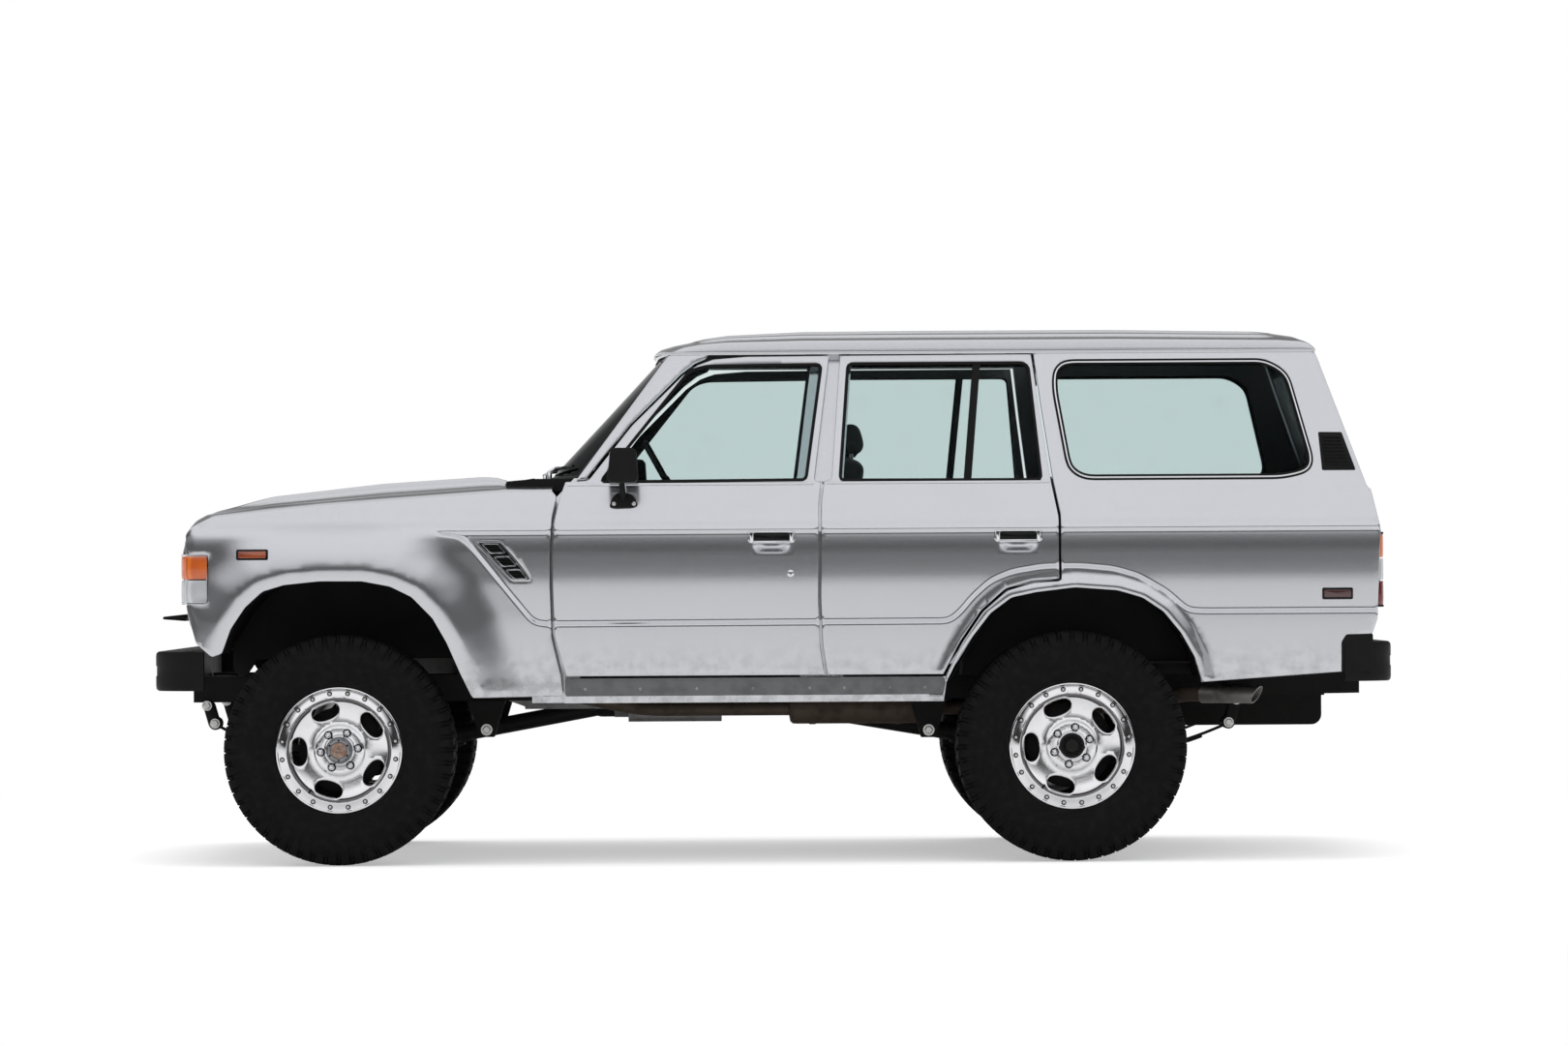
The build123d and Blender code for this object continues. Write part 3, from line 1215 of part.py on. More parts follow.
bench_base = [(580.0, 732.0), (580.0, 970.0), (1080.0, 970.0), (1080.0, 732.0)]
ring_plane = Plane(origin=wheel_centre, x_dir=(0, 1, 0),
                   z_dir=(math.cos(math.radians(wheel_lean)), 0, math.sin(math.radians(wheel_lean))))
ring = Torus(wheel_ring, wheel_grip)
spokes = [Box(2 * wheel_ring, 2 * spoke_half, wheel_grip), Cylinder(hub_disc, wheel_grip * 2)]
steering = joined([ring_plane.location * shape for shape in (ring, *spokes)] + [rod(column_end, wheel_centre,
                                                                                    column_radius)])
dash = joined([side_plate(dash_profile, -dash_half, dash_half), side_plate(pod_profile, *pod_span)])
dash = dash - rod(column_end, wheel_centre, column_radius + seat_gap)
save("dashboard", dash)
save("steering_wheel", steering)
seat = joined([
    side_plate(cushion, *seat_y), side_plate(backrest, *seat_y), side_plate(seat_base, *seat_base_y),
    side_plate(rest_profile, *rest_y), *[side_plate(rest_post, *span) for span in rest_post_y],
])
save("front_seats", *pair(seat))
bench = joined([side_plate(shape, -bench_half, bench_half) for shape in (bench_cushion, bench_back,
                                                                         bench_base)])
save("rear_bench", bench)

# Wipers on the windscreen. Post x, y; blade inner y, outer y, height of both ends
wiper_rows = [
    (-850.0, -400.0, -560.0, -120.0, 1490.0, 1476.0),
    (-886.0, 120.0, -20.0, 420.0, 1476.0, 1490.0),
]
wiper_base = 1438.0
wiper_post_radius = 10.0
wiper_post_high = 26.0
wiper_arm_radius = 5.0
blade_radius = 6.0
blade_off = 21.0
blade_steps = 4


def on_glass(y, z):
    """A point just ahead of the windscreen."""
    (z0, side0, middle0), (z1, side1, middle1) = screen_rows
    share = (z - z0) / (z1 - z0)
    middle = middle0 + (middle1 - middle0) * share
    bow = (side0 - middle0) + ((side1 - middle1) - (side0 - middle0)) * share
    return (middle + bow * (y / roof_rail_y) ** 2 - blade_off, y, z)


wipers = []
for x, y, first_y, last_y, first_z, last_z in wiper_rows:
    points = []
    for step in range(blade_steps + 1):
        share = step / blade_steps
        points.append(on_glass(first_y + (last_y - first_y) * share, first_z + (last_z - first_z) * share))
    top = (x, y, wiper_base + wiper_post_high)
    middle = points[blade_steps // 2]
    wipers.append(joined([
        rod((x, y, wiper_base), top, wiper_post_radius),
        rod(top, middle, wiper_arm_radius),
        place(Sphere(wiper_post_radius), *top),
        *pipe(points, blade_radius),
        place(Sphere(blade_radius), *points[0]),
    ]))
save("wipers", *wipers)
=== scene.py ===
import math

import bpy
import numpy as np
from mathutils import Matrix, Vector
from mathutils.geometry import delaunay_2d_cdt


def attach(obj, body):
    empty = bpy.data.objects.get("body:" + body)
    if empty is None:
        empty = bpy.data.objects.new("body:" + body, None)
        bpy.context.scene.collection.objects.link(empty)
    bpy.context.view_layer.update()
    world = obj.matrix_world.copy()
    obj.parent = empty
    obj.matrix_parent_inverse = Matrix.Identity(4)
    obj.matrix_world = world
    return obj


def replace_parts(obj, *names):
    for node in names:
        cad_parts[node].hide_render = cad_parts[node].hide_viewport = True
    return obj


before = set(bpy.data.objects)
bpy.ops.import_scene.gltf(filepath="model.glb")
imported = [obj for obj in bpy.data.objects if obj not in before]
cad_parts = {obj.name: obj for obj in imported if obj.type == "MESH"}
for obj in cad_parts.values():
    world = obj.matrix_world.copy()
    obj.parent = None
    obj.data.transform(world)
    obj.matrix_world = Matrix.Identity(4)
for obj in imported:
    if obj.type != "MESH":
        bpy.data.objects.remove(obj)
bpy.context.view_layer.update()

bl_info = {
    "name": "Lifted Estate 4x4",
    "version": (1, 0, 0),
    "blender": (4, 5, 0),
    "location": "View3D > Sidebar > Estate 4x4",
    "description": "Dresses the packed estate car with body panels, wheels, lamps, cabin and finishes",
    "category": "Object",
}

# Shared measures of the car in millimetres
FRONT_AXLE_X, REAR_AXLE_X = -1622, 1108
WHEEL_Z, WHEEL_Y = 430, 750
SIDES = {"left": -1, "right": 1}
RIM_WINDOW_RADIUS, RING_BOLT_RADIUS, NUT_RADIUS = 152, 213.5, 69.85
SPRING_Y, SADDLE_Z, SHACKLE_PIN_Z = 370, 372, 588
PIPE_Z, SILENCER_Y = 560, -230
ROOF_HALF, ROOF_SHOULDER_Y, ROOF_TOP, GUTTER_Z = 707, 640, 2014, 1912
BONNET_HALF, BONNET_REAR_X = 686, -1012
LINER_WALLS = {"front": 430, "rear": 568}
CARD_Y, CARPET_Z = 806, 733
LAMP_Y, LAMP_Z = 600, 1075
GRILLE_HALF, GRILLE_LOW, GRILLE_HIGH = 444, 977, 1184
SIDE_SECTION = np.array([
    (560, 852), (596, 858), (640, 863), (905, 870), (1050, 873), (1180, 872),
    (1235, 868), (1262, 861), (1412, 832), (1912, 706), (1990, 686)])
WING = [
    (-2188, 1238), (-2163, 1266), (-2087, 1304), (-1693, 1345), (-1007, 1392), (-826, 1393),
    (-807, 1369), (-826, 1285), (-833, 1180), (-834, 1048), (-828, 851), (-793, 700),
    (-786, 627), (-1124, 622), (-1167, 709), (-1218, 827), (-1270, 919), (-1348, 999),
    (-1427, 1038), (-1531, 1058), (-1689, 1059), (-1820, 1046), (-1900, 1022),
    (-1965, 963), (-2018, 884), (-2052, 792), (-2090, 780), (-2149, 832), (-2183, 951)]
WING_ARCH = [
    (-1124, 600), (-1167, 709), (-1218, 827), (-1270, 919), (-1348, 999), (-1427, 1038),
    (-1531, 1058), (-1689, 1059), (-1820, 1046), (-1900, 1022), (-1965, 963),
    (-2018, 884), (-2052, 792), (-2060, 600)]
FRONT_DOOR = [
    (-690, 1429), (-527, 1635), (-336, 1824), (-281, 1862), (-222, 1884), (-97, 1894),
    (213, 1896), (152, 1424), (178, 1418), (168, 1336), (164, 990), (170, 817),
    (187, 700), (-774, 700), (-817, 851), (-823, 1048), (-822, 1180), (-815, 1285),
    (-795, 1369), (-775, 1424)]
REAR_DOOR = [
    (254, 1896), (971, 1898), (997, 1695), (1037, 1411), (1062, 1285), (1062, 1053),
    (962, 1047), (862, 1018), (770, 938), (690, 820), (628, 700), (198, 700), (181, 817),
    (175, 990), (179, 1336), (190, 1424), (218, 1428)]
FRONT_WINDOW = [(-642, 1426), (-322, 1824), (-290, 1845), (-248, 1856), (181, 1860), (120, 1430)]
REAR_WINDOW = [(285, 1862), (940, 1862), (958, 1850), (998, 1426), (251, 1428)]
QUARTER = [
    (979, 1903), (2028, 1903), (2041, 1896), (2217, 1390), (2230, 1383), (2259, 1251),
    (2262, 1224), (2250, 944), (2248, 897), (2228, 840), (2180, 832), (2117, 701),
    (1592, 665), (1565, 757), (1513, 849), (1449, 928), (1370, 981), (1278, 1008),
    (1121, 1020), (976, 1003), (884, 984), (805, 926), (739, 840), (686, 762),
    (640, 670), (636, 692), (698, 816), (778, 933), (868, 1010), (966, 1039), (1070, 1045),
    (1070, 1285), (1045, 1411), (1005, 1695)]
QUARTER_ARCH = [
    (1600, 600), (1592, 665), (1565, 757), (1513, 849), (1449, 928), (1370, 981), (1278, 1008),
    (1121, 1020), (976, 1003), (884, 984), (805, 926), (739, 840), (686, 762),
    (640, 670), (630, 600)]
QUARTER_WINDOW = [
    (1058, 1761), (1061, 1832), (1095, 1866), (1850, 1866), (1928, 1818), (2012, 1490),
    (1990, 1452), (1900, 1432), (1160, 1432), (1106, 1469)]
ROCKER = [(-780, 692), (632, 692), (636, 670), (628, 626), (-780, 626)]
SCREEN_PILLAR = [
    (-735, 1431), (-388, 1903), (-240, 1903), (-250, 1891), (-292, 1872), (-345, 1832),
    (-534, 1643), (-702, 1431)]
# The band between the two pressed lines, which lies a little deeper than the rest of the side
DEEP_BAND = [
    (-1256, 1236), (2300, 1236), (2300, 930), (1600, 930), (1540, 934), (1462, 1004),
    (1357, 1063), (1266, 1090), (1134, 1102), (1002, 1100), (885, 1081), (806, 1048),
    (740, 990), (690, 930), (650, 899), (-860, 896), (-900, 908), (-1000, 1030),
    (-1090, 1142), (-1150, 1212), (-1190, 1230)]
BONNET_ROWS = [
    (-2180, 1262, 1270), (-2162, 1284, 1306), (-2120, 1306, 1338), (-1892, 1338, 1382),
    (-1480, 1372, 1428), (-1096, 1398, 1452), (-1012, 1402, 1446)]
REAR_ROWS = np.array([
    (800, 2210), (822, 2222), (900, 2248), (944, 2250), (1226, 2262), (1251, 2257),
    (1383, 2228), (1390, 2215), (1896, 2040), (1910, 2034)])


# Plane outlines

def as_loop(points):
    return np.array(points, float).reshape(-1, 2)


def columns(*parts):
    return np.stack(parts, axis=1)


def rect(u0, v0, u1, v1):
    """The four corners of a rectangle, from its first corner to its opposite one."""
    return [(u0, v0), (u1, v0), (u1, v1), (u0, v1)]


def turns(count):
    """Even angles once round."""
    return np.linspace(0, 2 * np.pi, count, endpoint=False)


def running_length(path):
    return np.r_[0, np.cumsum(np.linalg.norm(np.diff(path, axis=0), axis=1))]


def at_steps(path, step, closed):
    """Points at even steps along a path, worked out from its running length."""
    length = running_length(path)
    at = np.linspace(0, length[-1], max(int(round(length[-1] / step)), 3) + 1)
    at = at[:-1] if closed else at
    return np.stack([np.interp(at, length, column) for column in path.T], axis=1)


def eased_corner(a, corner, b, radius, parts):
    """A parabola in place of a corner, from one side to the other."""
    back, on = np.linalg.norm(a - corner), np.linalg.norm(b - corner)
    start = corner + (a - corner) * min(radius / back, 0.48)
    end = corner + (b - corner) * min(radius / on, 0.48)
    t = np.linspace(0, 1, parts)[:, None]
    return start * (1 - t) ** 2 + corner * 2 * t * (1 - t) + end * t ** 2


def eased_path(points, radius, parts):
    """An open path with its inner corners eased."""
    bends = [eased_corner(a, corner, b, radius, parts) for a, corner,
             b in zip(points, points[1:], points[2:])]
    return np.concatenate([points[:1], *bends, points[-1:]])


def rounded(points, radius, parts=5):
    """Corners eased: each becomes a parabola between points set back along its two sides by the radius
    or 45% of the side."""
    loop = as_loop(points)
    before, after = np.roll(loop, 1, axis=0), np.roll(loop, -1, axis=0)
    out = []
    for corner, a, b in zip(loop, before, after):
        la, lb = np.linalg.norm(a - corner), np.linalg.norm(b - corner)
        start = corner + (a - corner) / la * min(radius, la * 0.45)
        end = corner + (b - corner) / lb * min(radius, lb * 0.45)
        t = np.linspace(0, 1, parts)[:, None]
        out.append(start * (1 - t) ** 2 + corner * 2 * t * (1 - t) + end * t ** 2)
    return np.concatenate(out)


def resampled(loop, step, closed=True):
    """Points at even steps along the outline."""
    return at_steps(np.vstack([loop, loop[:1]]) if closed else as_loop(loop), step, closed)


def signed_area(loop):
    following = np.roll(loop, -1, axis=0)
    return 0.5 * float(np.sum(loop[:, 0] * following[:, 1] - following[:, 0] * loop[:, 1]))


def eased_loop(points, radius, step):
    return resampled(rounded(points, radius), step)


def path_normals(path):
    """The unit normal at each point of an open path, to the right of its way."""
    chord = np.gradient(path, axis=0)
    chord /= np.maximum(np.linalg.norm(chord, axis=1), 1e-9)[:, None]
    return columns(chord[:, 1], -chord[:, 0])


def outward_normals(loop):
    """The unit normal at each point, out of the outline and square to the chord between its neighbours."""
    chord = np.roll(loop, -1, axis=0) - np.roll(loop, 1, axis=0)
    chord /= np.maximum(np.linalg.norm(chord, axis=1), 1e-9)[:, None]
    normal = columns(chord[:, 1], -chord[:, 0])
    return normal if signed_area(loop) > 0 else -normal


def inside(points, loop):
    """Whether each point is inside, from how often a level ray crosses the outline."""
    a, b = loop, np.roll(loop, -1, axis=0)
    x, z = points[:, :1], points[:, 1:]
    spans = (a[:, 1] > z) != (b[:, 1] > z)
    rise = np.where(np.abs(b[:, 1] - a[:, 1]) < 1e-9, 1e-9, b[:, 1] - a[:, 1])
    hits = spans & (x < a[:, 0] + (b[:, 0] - a[:, 0]) * (z - a[:, 1]) / rise)
    return hits.sum(axis=1) % 2 == 1


def distance(points, loop):
    """The distance of each point from an outline, as the least over its sides."""
    d = np.roll(loop, -1, axis=0) - loop
    length = np.maximum((d ** 2).sum(axis=1), 1e-9)
    best = np.full(len(points), 1e9)
    for start, side, square in zip(loop, d, length):
        t = np.clip(((points - start) @ side) / square, 0, 1)
        best = np.minimum(best, np.linalg.norm(points - start - t[:, None] * side, axis=1))
    return best


def depth_inside(points, loop):
    """The signed distance, positive inside the outline."""
    return np.where(inside(points, loop), 1.0, -1.0) * distance(points, loop)


def smooth(t):
    """The cubic that leaves 0 and reaches 1 level."""
    t = np.clip(t, 0, 1)
    return t * t * (3 - 2 * t)


# Meshes

def piece(name, vertices, faces, kinds, looks, body):
    """A mesh object in metres that rides on a body. kinds gives each face's place in the list of looks."""
    mesh = bpy.data.meshes.new(name)
    mesh.from_pydata((np.asarray(vertices, float) / 1000).tolist(), [], [list(map(int, f)) for f in faces])
    for look in looks:
        mesh.materials.append(finish(look))
    mesh.polygons.foreach_set("material_index", np.asarray(kinds, np.int32))
    mesh.polygons.foreach_set("use_smooth", np.full(len(mesh.polygons), True))
    mesh.validate()
    mesh.update()
    obj = bpy.data.objects.new(name, mesh)
    bpy.context.scene.collection.objects.link(obj)
    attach(obj, body)
    return obj


class Batch:
    """Meshes gathered into one piece, each with its own finish."""

    def __init__(self):
        self.vertices, self.faces, self.kinds, self.count = [], [], [], 0

    def add(self, mesh, kind=0):
        vertices, faces = mesh
        vertices = np.asarray(vertices, float)
        self.vertices.append(vertices)
        self.faces += [[int(i) + self.count for i in face] for face in faces]
        self.kinds += [kind] * len(faces)
        self.count += len(vertices)

    def block(self, outline, low, high, place, ease=2.0, parts=3, kind=0):
        """A slab of an outline."""
        self.add(slab(outline, low, high, place, ease, parts), kind)

    def build(self, name, looks, body, slot, sharp=None):
        """The gathered piece, its edges sharp from an angle in degrees where given."""
        obj = piece(name, np.concatenate(self.vertices), self.faces, self.kinds, looks.split(), body)
        if sharp is not None:
            obj.data.set_sharp_from_angle(angle=math.radians(sharp))
        return obj


def grid_faces(rows, columns, wrap_rows=False, wrap_columns=False):
    """The quads of a grid of points, closed round either way where asked."""
    r = np.arange(rows if wrap_rows else rows - 1)[:, None]
    c = np.arange(columns if wrap_columns else columns - 1)[None, :]
    r1, c1 = (r + 1) % rows, (c + 1) % columns
    return np.stack([r * columns + c, r * columns + c1, r1 * columns + c1, r1 * columns + c],
                    axis=-1).reshape(-1, 4)


def turned_out(vertices, faces):
    """The mesh with its faces wound so that the volume they enclose, summed as tetrahedra from its middle,
    is positive."""
    points = np.asarray(vertices, float)
    points = points - points.mean(axis=0)
    volume = 0.0
    for size in {len(f) for f in faces}:
        block = np.array([f for f in faces if len(f) == size], int)
        for k in range(1, size - 1):
            a, b, c = points[block[:, 0]], points[block[:, k]], points[block[:, k + 1]]
            volume += float(np.sum(a * np.cross(b, c)))
    faces = [list(f) for f in faces]
    return vertices, faces if volume >= 0 else [f[::-1] for f in faces]


def swept(rings, closed_path=False, caps=True):
    """Rings of points joined one to the next into a skin, with flat ends where the path is open."""
    rings = np.asarray(rings, float)
    rows, columns = rings.shape[:2]
    faces = grid_faces(rows, columns, wrap_rows=closed_path, wrap_columns=True).tolist()
    if caps and not closed_path:
        faces += [list(range(columns))[::-1], [(rows - 1) * columns + k for k in range(columns)]]
    return turned_out(rings.reshape(-1, 3), faces)


def frames(path):
    """Unit side and top directions across a path, square to its central differences."""
    path = np.asarray(path, float)
    ahead = np.gradient(path, axis=0)
    ahead /= np.maximum(np.linalg.norm(ahead, axis=1), 1e-9)[:, None]
    side = np.cross(ahead, np.tile(np.array((0.0, 0.0, 1.0)), (len(path), 1)))
    weak = np.linalg.norm(side, axis=1) < 1e-3
    side[weak] = np.cross(ahead[weak], np.array((1.0, 0.0, 0.0)))
    side /= np.maximum(np.linalg.norm(side, axis=1), 1e-9)[:, None]
    top = np.cross(side, ahead)
    return side, top


def tube(path, radius, around=12, squash=1.0):
    """A round section carried along a path: centre + r (cos a side + sin a top)."""
    path = np.asarray(path, float)
    side, top = frames(path)
    angle = turns(around)
    radius = np.broadcast_to(np.asarray(radius, float), (len(path),))[:, None, None]
    ring = np.cos(angle)[None, :, None] * side[:, None] + squash * np.sin(angle)[None, :, None] * top[:, None]
    return swept(path[:, None] + radius * ring)


def lathe(profile, centre, axis, around=48, closed=False):
    """A profile of along, radius points turned round an axis through a centre:
    c + a h + r (cos t u + sin t v)."""
    profile = np.asarray(profile, float)
    axis = np.array(axis, float)
    u = np.cross(axis, (0.0, 0.0, 1.0)) if abs(axis[2]) < 0.9 else np.array((1.0, 0.0, 0.0))
    u /= np.linalg.norm(u)
    v = np.cross(axis, u)
    angle = turns(around)
    ring = np.cos(angle)[:, None] * u + np.sin(angle)[:, None] * v
    rings = np.array(centre) + profile[:, :1, None] * axis + profile[:, 1:, None] * ring[None]
    return swept(rings, closed_path=closed, caps=not closed)


def slab(loop, low, high, place, round_off=2.0, parts=3):
    """An outline given a thickness, its two rims eased by quarter circles.
    place maps u, v, height to a point."""
    loop = as_loop(loop)
    out = outward_normals(loop)
    angle = np.linspace(0, np.pi / 2, parts)
    rings = []
    for a in angle:
        rings.append((loop - out * round_off * (1 - np.sin(a)), low + round_off * (1 - np.cos(a))))
    for a in angle[::-1]:
        rings.append((loop - out * round_off * (1 - np.sin(a)), high - round_off * (1 - np.cos(a))))
    stacked = np.array([place(p[:, 0], p[:, 1], np.full(len(p), h)) for p, h in rings])
    return swept(stacked)


def side_place(sign, base=None):
    """Maps x, z and a height out of the side to a point of that side."""
    return lambda x, z, h: columns(x, sign * (h if base is None else base(x, z) + h), z)


def box(low, high, round_off=3.0):
    """An upright block with eased edges."""
    low, high = np.minimum(low, high), np.maximum(low, high)
    loop = rounded(rect(low[0], low[1], high[0], high[1]), round_off, 3)
    return slab(loop, low[2], high[2], lambda x, y, h: columns(x, y, h),
                min(round_off, (high[2] - low[2]) / 3))


def filled(loops, step, guides=()):
    """A flat triangle mesh inside the first outline and outside the others, with a grid of points within it.
    Guides are lines with points of their own. Returns points, triangles and each outline's point numbers."""
    edge_points = np.concatenate(loops)
    edges, starts, count = [], [], 0
    for loop in loops:
        starts.append(count)
        edges += [(count + k, count + (k + 1) % len(loop)) for k in range(len(loop))]
        count += len(loop)
    low, high = edge_points.min(axis=0), edge_points.max(axis=0)
    gx, gz = np.meshgrid(np.arange(low[0] + step / 2, high[0], step),
                         np.arange(low[1] + step / 2, high[1], step))
    gx[1::2] += step / 2
    grid = columns(gx.ravel(), gz.ravel())

    def within(points):
        keep = inside(points, loops[0])
        for hole in loops[1:]:
            keep &= ~inside(points, hole)
        return keep

    def clear(points, gap):
        points = points[within(points)]
        for loop in loops:
            points = points[distance(points, loop) > gap]
        return points

    grid = clear(grid, step * 0.55)
    extra = [clear(as_loop(g), step * 0.3) for g in guides]
    extra = np.concatenate(extra) if extra else np.zeros((0, 2))
    if len(extra):
        keep = np.ones(len(grid), bool)
        for start in range(0, len(extra), 400):
            gap = np.linalg.norm(grid[:, None] - extra[None, start:start + 400], axis=2).min(axis=1)
            keep &= gap > step * 0.5
        grid = grid[keep]
    points = np.concatenate([edge_points, extra, grid])
    vertices, _, triangles, origins, _, _ = delaunay_2d_cdt([Vector(p) for p in points], edges, [], 0, 1e-5,
            True)
    vertices = np.array([tuple(v) for v in vertices])
    order = {source: index for index, sources in enumerate(origins) for source in sources}
    triangles = np.array([t for t in triangles if len(t) == 3], int)
    triangles = triangles[within(vertices[triangles].mean(axis=1))]
    a, b, c = (vertices[triangles[:, k]] for k in range(3))
    turn = (b[:, 0] - a[:, 0]) * (c[:, 1] - a[:, 1]) - (b[:, 1] - a[:, 1]) * (c[:, 0] - a[:, 0])
    triangles = triangles[np.abs(turn) > 1e-9]
    rims = [[order[start + k] for k in range(len(loop))] for start, loop in zip(starts, loops)]
    return vertices, triangles, rims


def panel(outline, holes, surface, place, facing, wall=6.0, roll=3.0, step=16.0, corner=6.0, guides=(),
          back=True):
    """A sheet over an outline whose height is a function of its two coordinates, with edges rolled over by
    quarter circles into a flange, and a plain back a wall below the front."""
    outer = eased_loop(outline, corner, step * 0.75)
    loops = [outer - outward_normals(outer) * roll]
    signs = [1.0]
    for hole, hole_corner in holes:
        rim = eased_loop(hole, hole_corner, step * 0.6)
        loops.append(rim + outward_normals(rim) * roll)
        signs.append(-1.0)
    flat, triangles, rims = filled(loops, step, guides)
    height = surface(flat[:, 0], flat[:, 1])
    vertices = [place(flat[:, 0], flat[:, 1], height)]
    faces = triangles.tolist()
    count = len(flat)
    last_rings = []
    for loop, sign, rim in zip(loops, signs, rims):
        normal = outward_normals(loop) * sign
        top = height[rim]
        previous = np.array(rim)
        for angle in np.linspace(0, np.pi / 2, 4)[1:].tolist() + [None]:
            out = roll if angle is None else roll * math.sin(angle)
            drop = wall if angle is None else roll * (1 - math.cos(angle))
            ring = loop + normal * out
            vertices.append(place(ring[:, 0], ring[:, 1], top - drop))
            current = count + np.arange(len(loop))
            count += len(loop)
            quads = columns(previous, np.roll(previous, -1), np.roll(current, -1), current)
            ccw = (signed_area(loop) > 0) == (sign > 0)
            faces += (quads[:, ::-1] if ccw else quads).tolist()
            previous = current
        last_rings.append(previous)
    if back:
        vertices.append(place(flat[:, 0], flat[:, 1], height - wall))
        under = triangles[:, ::-1] + count
        faces += under.tolist()
        for ring, rim, loop, sign in zip(last_rings, rims, loops, signs):
            low = np.array(rim) + count
            quads = columns(ring, np.roll(ring, -1), np.roll(low, -1), low)
            ccw = (signed_area(loop) > 0) == (sign > 0)
            faces += (quads[:, ::-1] if ccw else quads).tolist()
    vertices = np.concatenate(vertices)
    a, b, c = (vertices[triangles[:, k]] for k in range(3))
    if float(np.sum(np.cross(b - a, c - a) @ np.array(facing, float))) < 0:
        faces = [f[::-1] for f in faces]
    return vertices, faces


def strip(loop, profile, place, closed=True):
    """A moulding: a profile of across, height points carried along an outline that lies on a surface."""
    loop = as_loop(loop)
    out = outward_normals(loop) if closed else path_normals(loop)
    rings = [place(loop[:, 0] + out[:, 0] * a, loop[:, 1] + out[:, 1] * a, np.full(len(loop), h)) for a,
             h in profile]
    return swept(np.array(rings).transpose(1, 0, 2), closed_path=closed)


def bar_profile(width, height, base=0.0):
    """A low moulding's section, with eased upper corners."""
    w, e = width / 2, min(width, height) * 0.3
    return [(-w, base), (-w, base + height - e), (-w + e, base + height), (w - e, base + height),
            (w, base + height - e), (w, base)]


# Finishes

class Signal:
    """A node socket that takes arithmetic signs; each sign adds one Math node."""

    def __init__(self, finish, socket):
        self.finish, self.socket = finish, socket

    def maths(self, operation, *values):
        return self.finish.node("ShaderNodeMath", {"operation": operation}, list(values))

    def __add__(self, other): return self.maths("ADD", self, other)
    def __sub__(self, other): return self.maths("SUBTRACT", self, other)
    def __rsub__(self, other): return self.maths("SUBTRACT", other, self)
    def __mul__(self, other): return self.maths("MULTIPLY", self, other)
    def __truediv__(self, other): return self.maths("DIVIDE", self, other)
    def __rtruediv__(self, other): return self.maths("DIVIDE", other, self)
    def __pow__(self, other): return self.maths("POWER", self, other)
    def __neg__(self): return self.maths("MULTIPLY", self, -1.0)
    __radd__, __rmul__ = __add__, __mul__

    def high(self, other): return self.maths("MAXIMUM", self, other)
    def sine(self): return self.maths("SINE", self)
    def size(self): return self.maths("ABSOLUTE", self)

    def between(self, low, high):
        """0 at low, 1 at high, with level ends."""
        return self.finish.node("ShaderNodeMapRange", {"interpolation_type": "SMOOTHSTEP"},
                                {"Value": self, "From Min": low, "From Max": high})


class Graph:
    """A node tree whose nodes are made from code."""

    def __init__(self, tree):
        self.tree = tree

    def fill(self, socket, value):
        if isinstance(value, Signal):
            self.tree.links.new(value.socket, socket)
        else:
            socket.default_value = value

    def node(self, kind, settings=None, inputs=None, output=0):
        """A node with its settings, then its sockets' values or links, given by place or by name."""
        made = self.tree.nodes.new(kind)
        for label, value in (settings or {}).items():
            setattr(made, label, value)
        for label, value in enumerate(inputs) if isinstance(inputs, list) else (inputs or {}).items():
            self.fill(made.inputs[label], value)
        return Signal(self, made.outputs[output])

    def seen(self):
        """Whether a ray comes from the camera, straight or through glass."""
        camera, through = (self.node("ShaderNodeLightPath", output=name)
                           for name in ("Is Camera Ray", "Is Transmission Ray"))
        return camera.high(through)

    def colours(self, share, a, b):
        """A colour part way from a to b."""
        return self.node("ShaderNodeMix", {"data_type": "RGBA"}, {"Factor": share, 6: a, 7: b}, 2)


class Finish(Graph):
    """A material built from code round one Principled shader."""

    def __init__(self, name, **constants):
        self.material = bpy.data.materials.new(name)
        self.material.use_nodes = True
        super().__init__(self.material.node_tree)
        self.shader = self.tree.nodes["Principled BSDF"]
        for label, value in constants.items():
            self.put(label.replace("_", " "), value)

    def put(self, label, value):
        self.fill(self.shader.inputs[label], value)

    def surface(self, signal):
        self.tree.links.new(signal.socket, self.tree.nodes["Material Output"].inputs["Surface"])

    def place(self):
        return self.node("ShaderNodeTexCoord", output="Object")

    def axis(self, where, k):
        return self.node("ShaderNodeSeparateXYZ", {}, [where], k)

    def axes(self):
        where = self.place()
        return [self.axis(where, k) for k in range(3)]

    def noise(self, scale, detail=4.0, where=None):
        return self.node("ShaderNodeTexNoise", {}, {
            "Vector": where or self.place(), "Scale": scale, "Detail": detail, "Roughness": 0.55}, "Fac")

    def relief(self, height, strength=0.2, reach=0.001):
        bump = self.node("ShaderNodeBump", {}, {"Strength": strength, "Distance": reach, "Height": height})
        self.put("Normal", bump)
        return self


def rgb(r, g, b):
    return (r, g, b, 1.0)


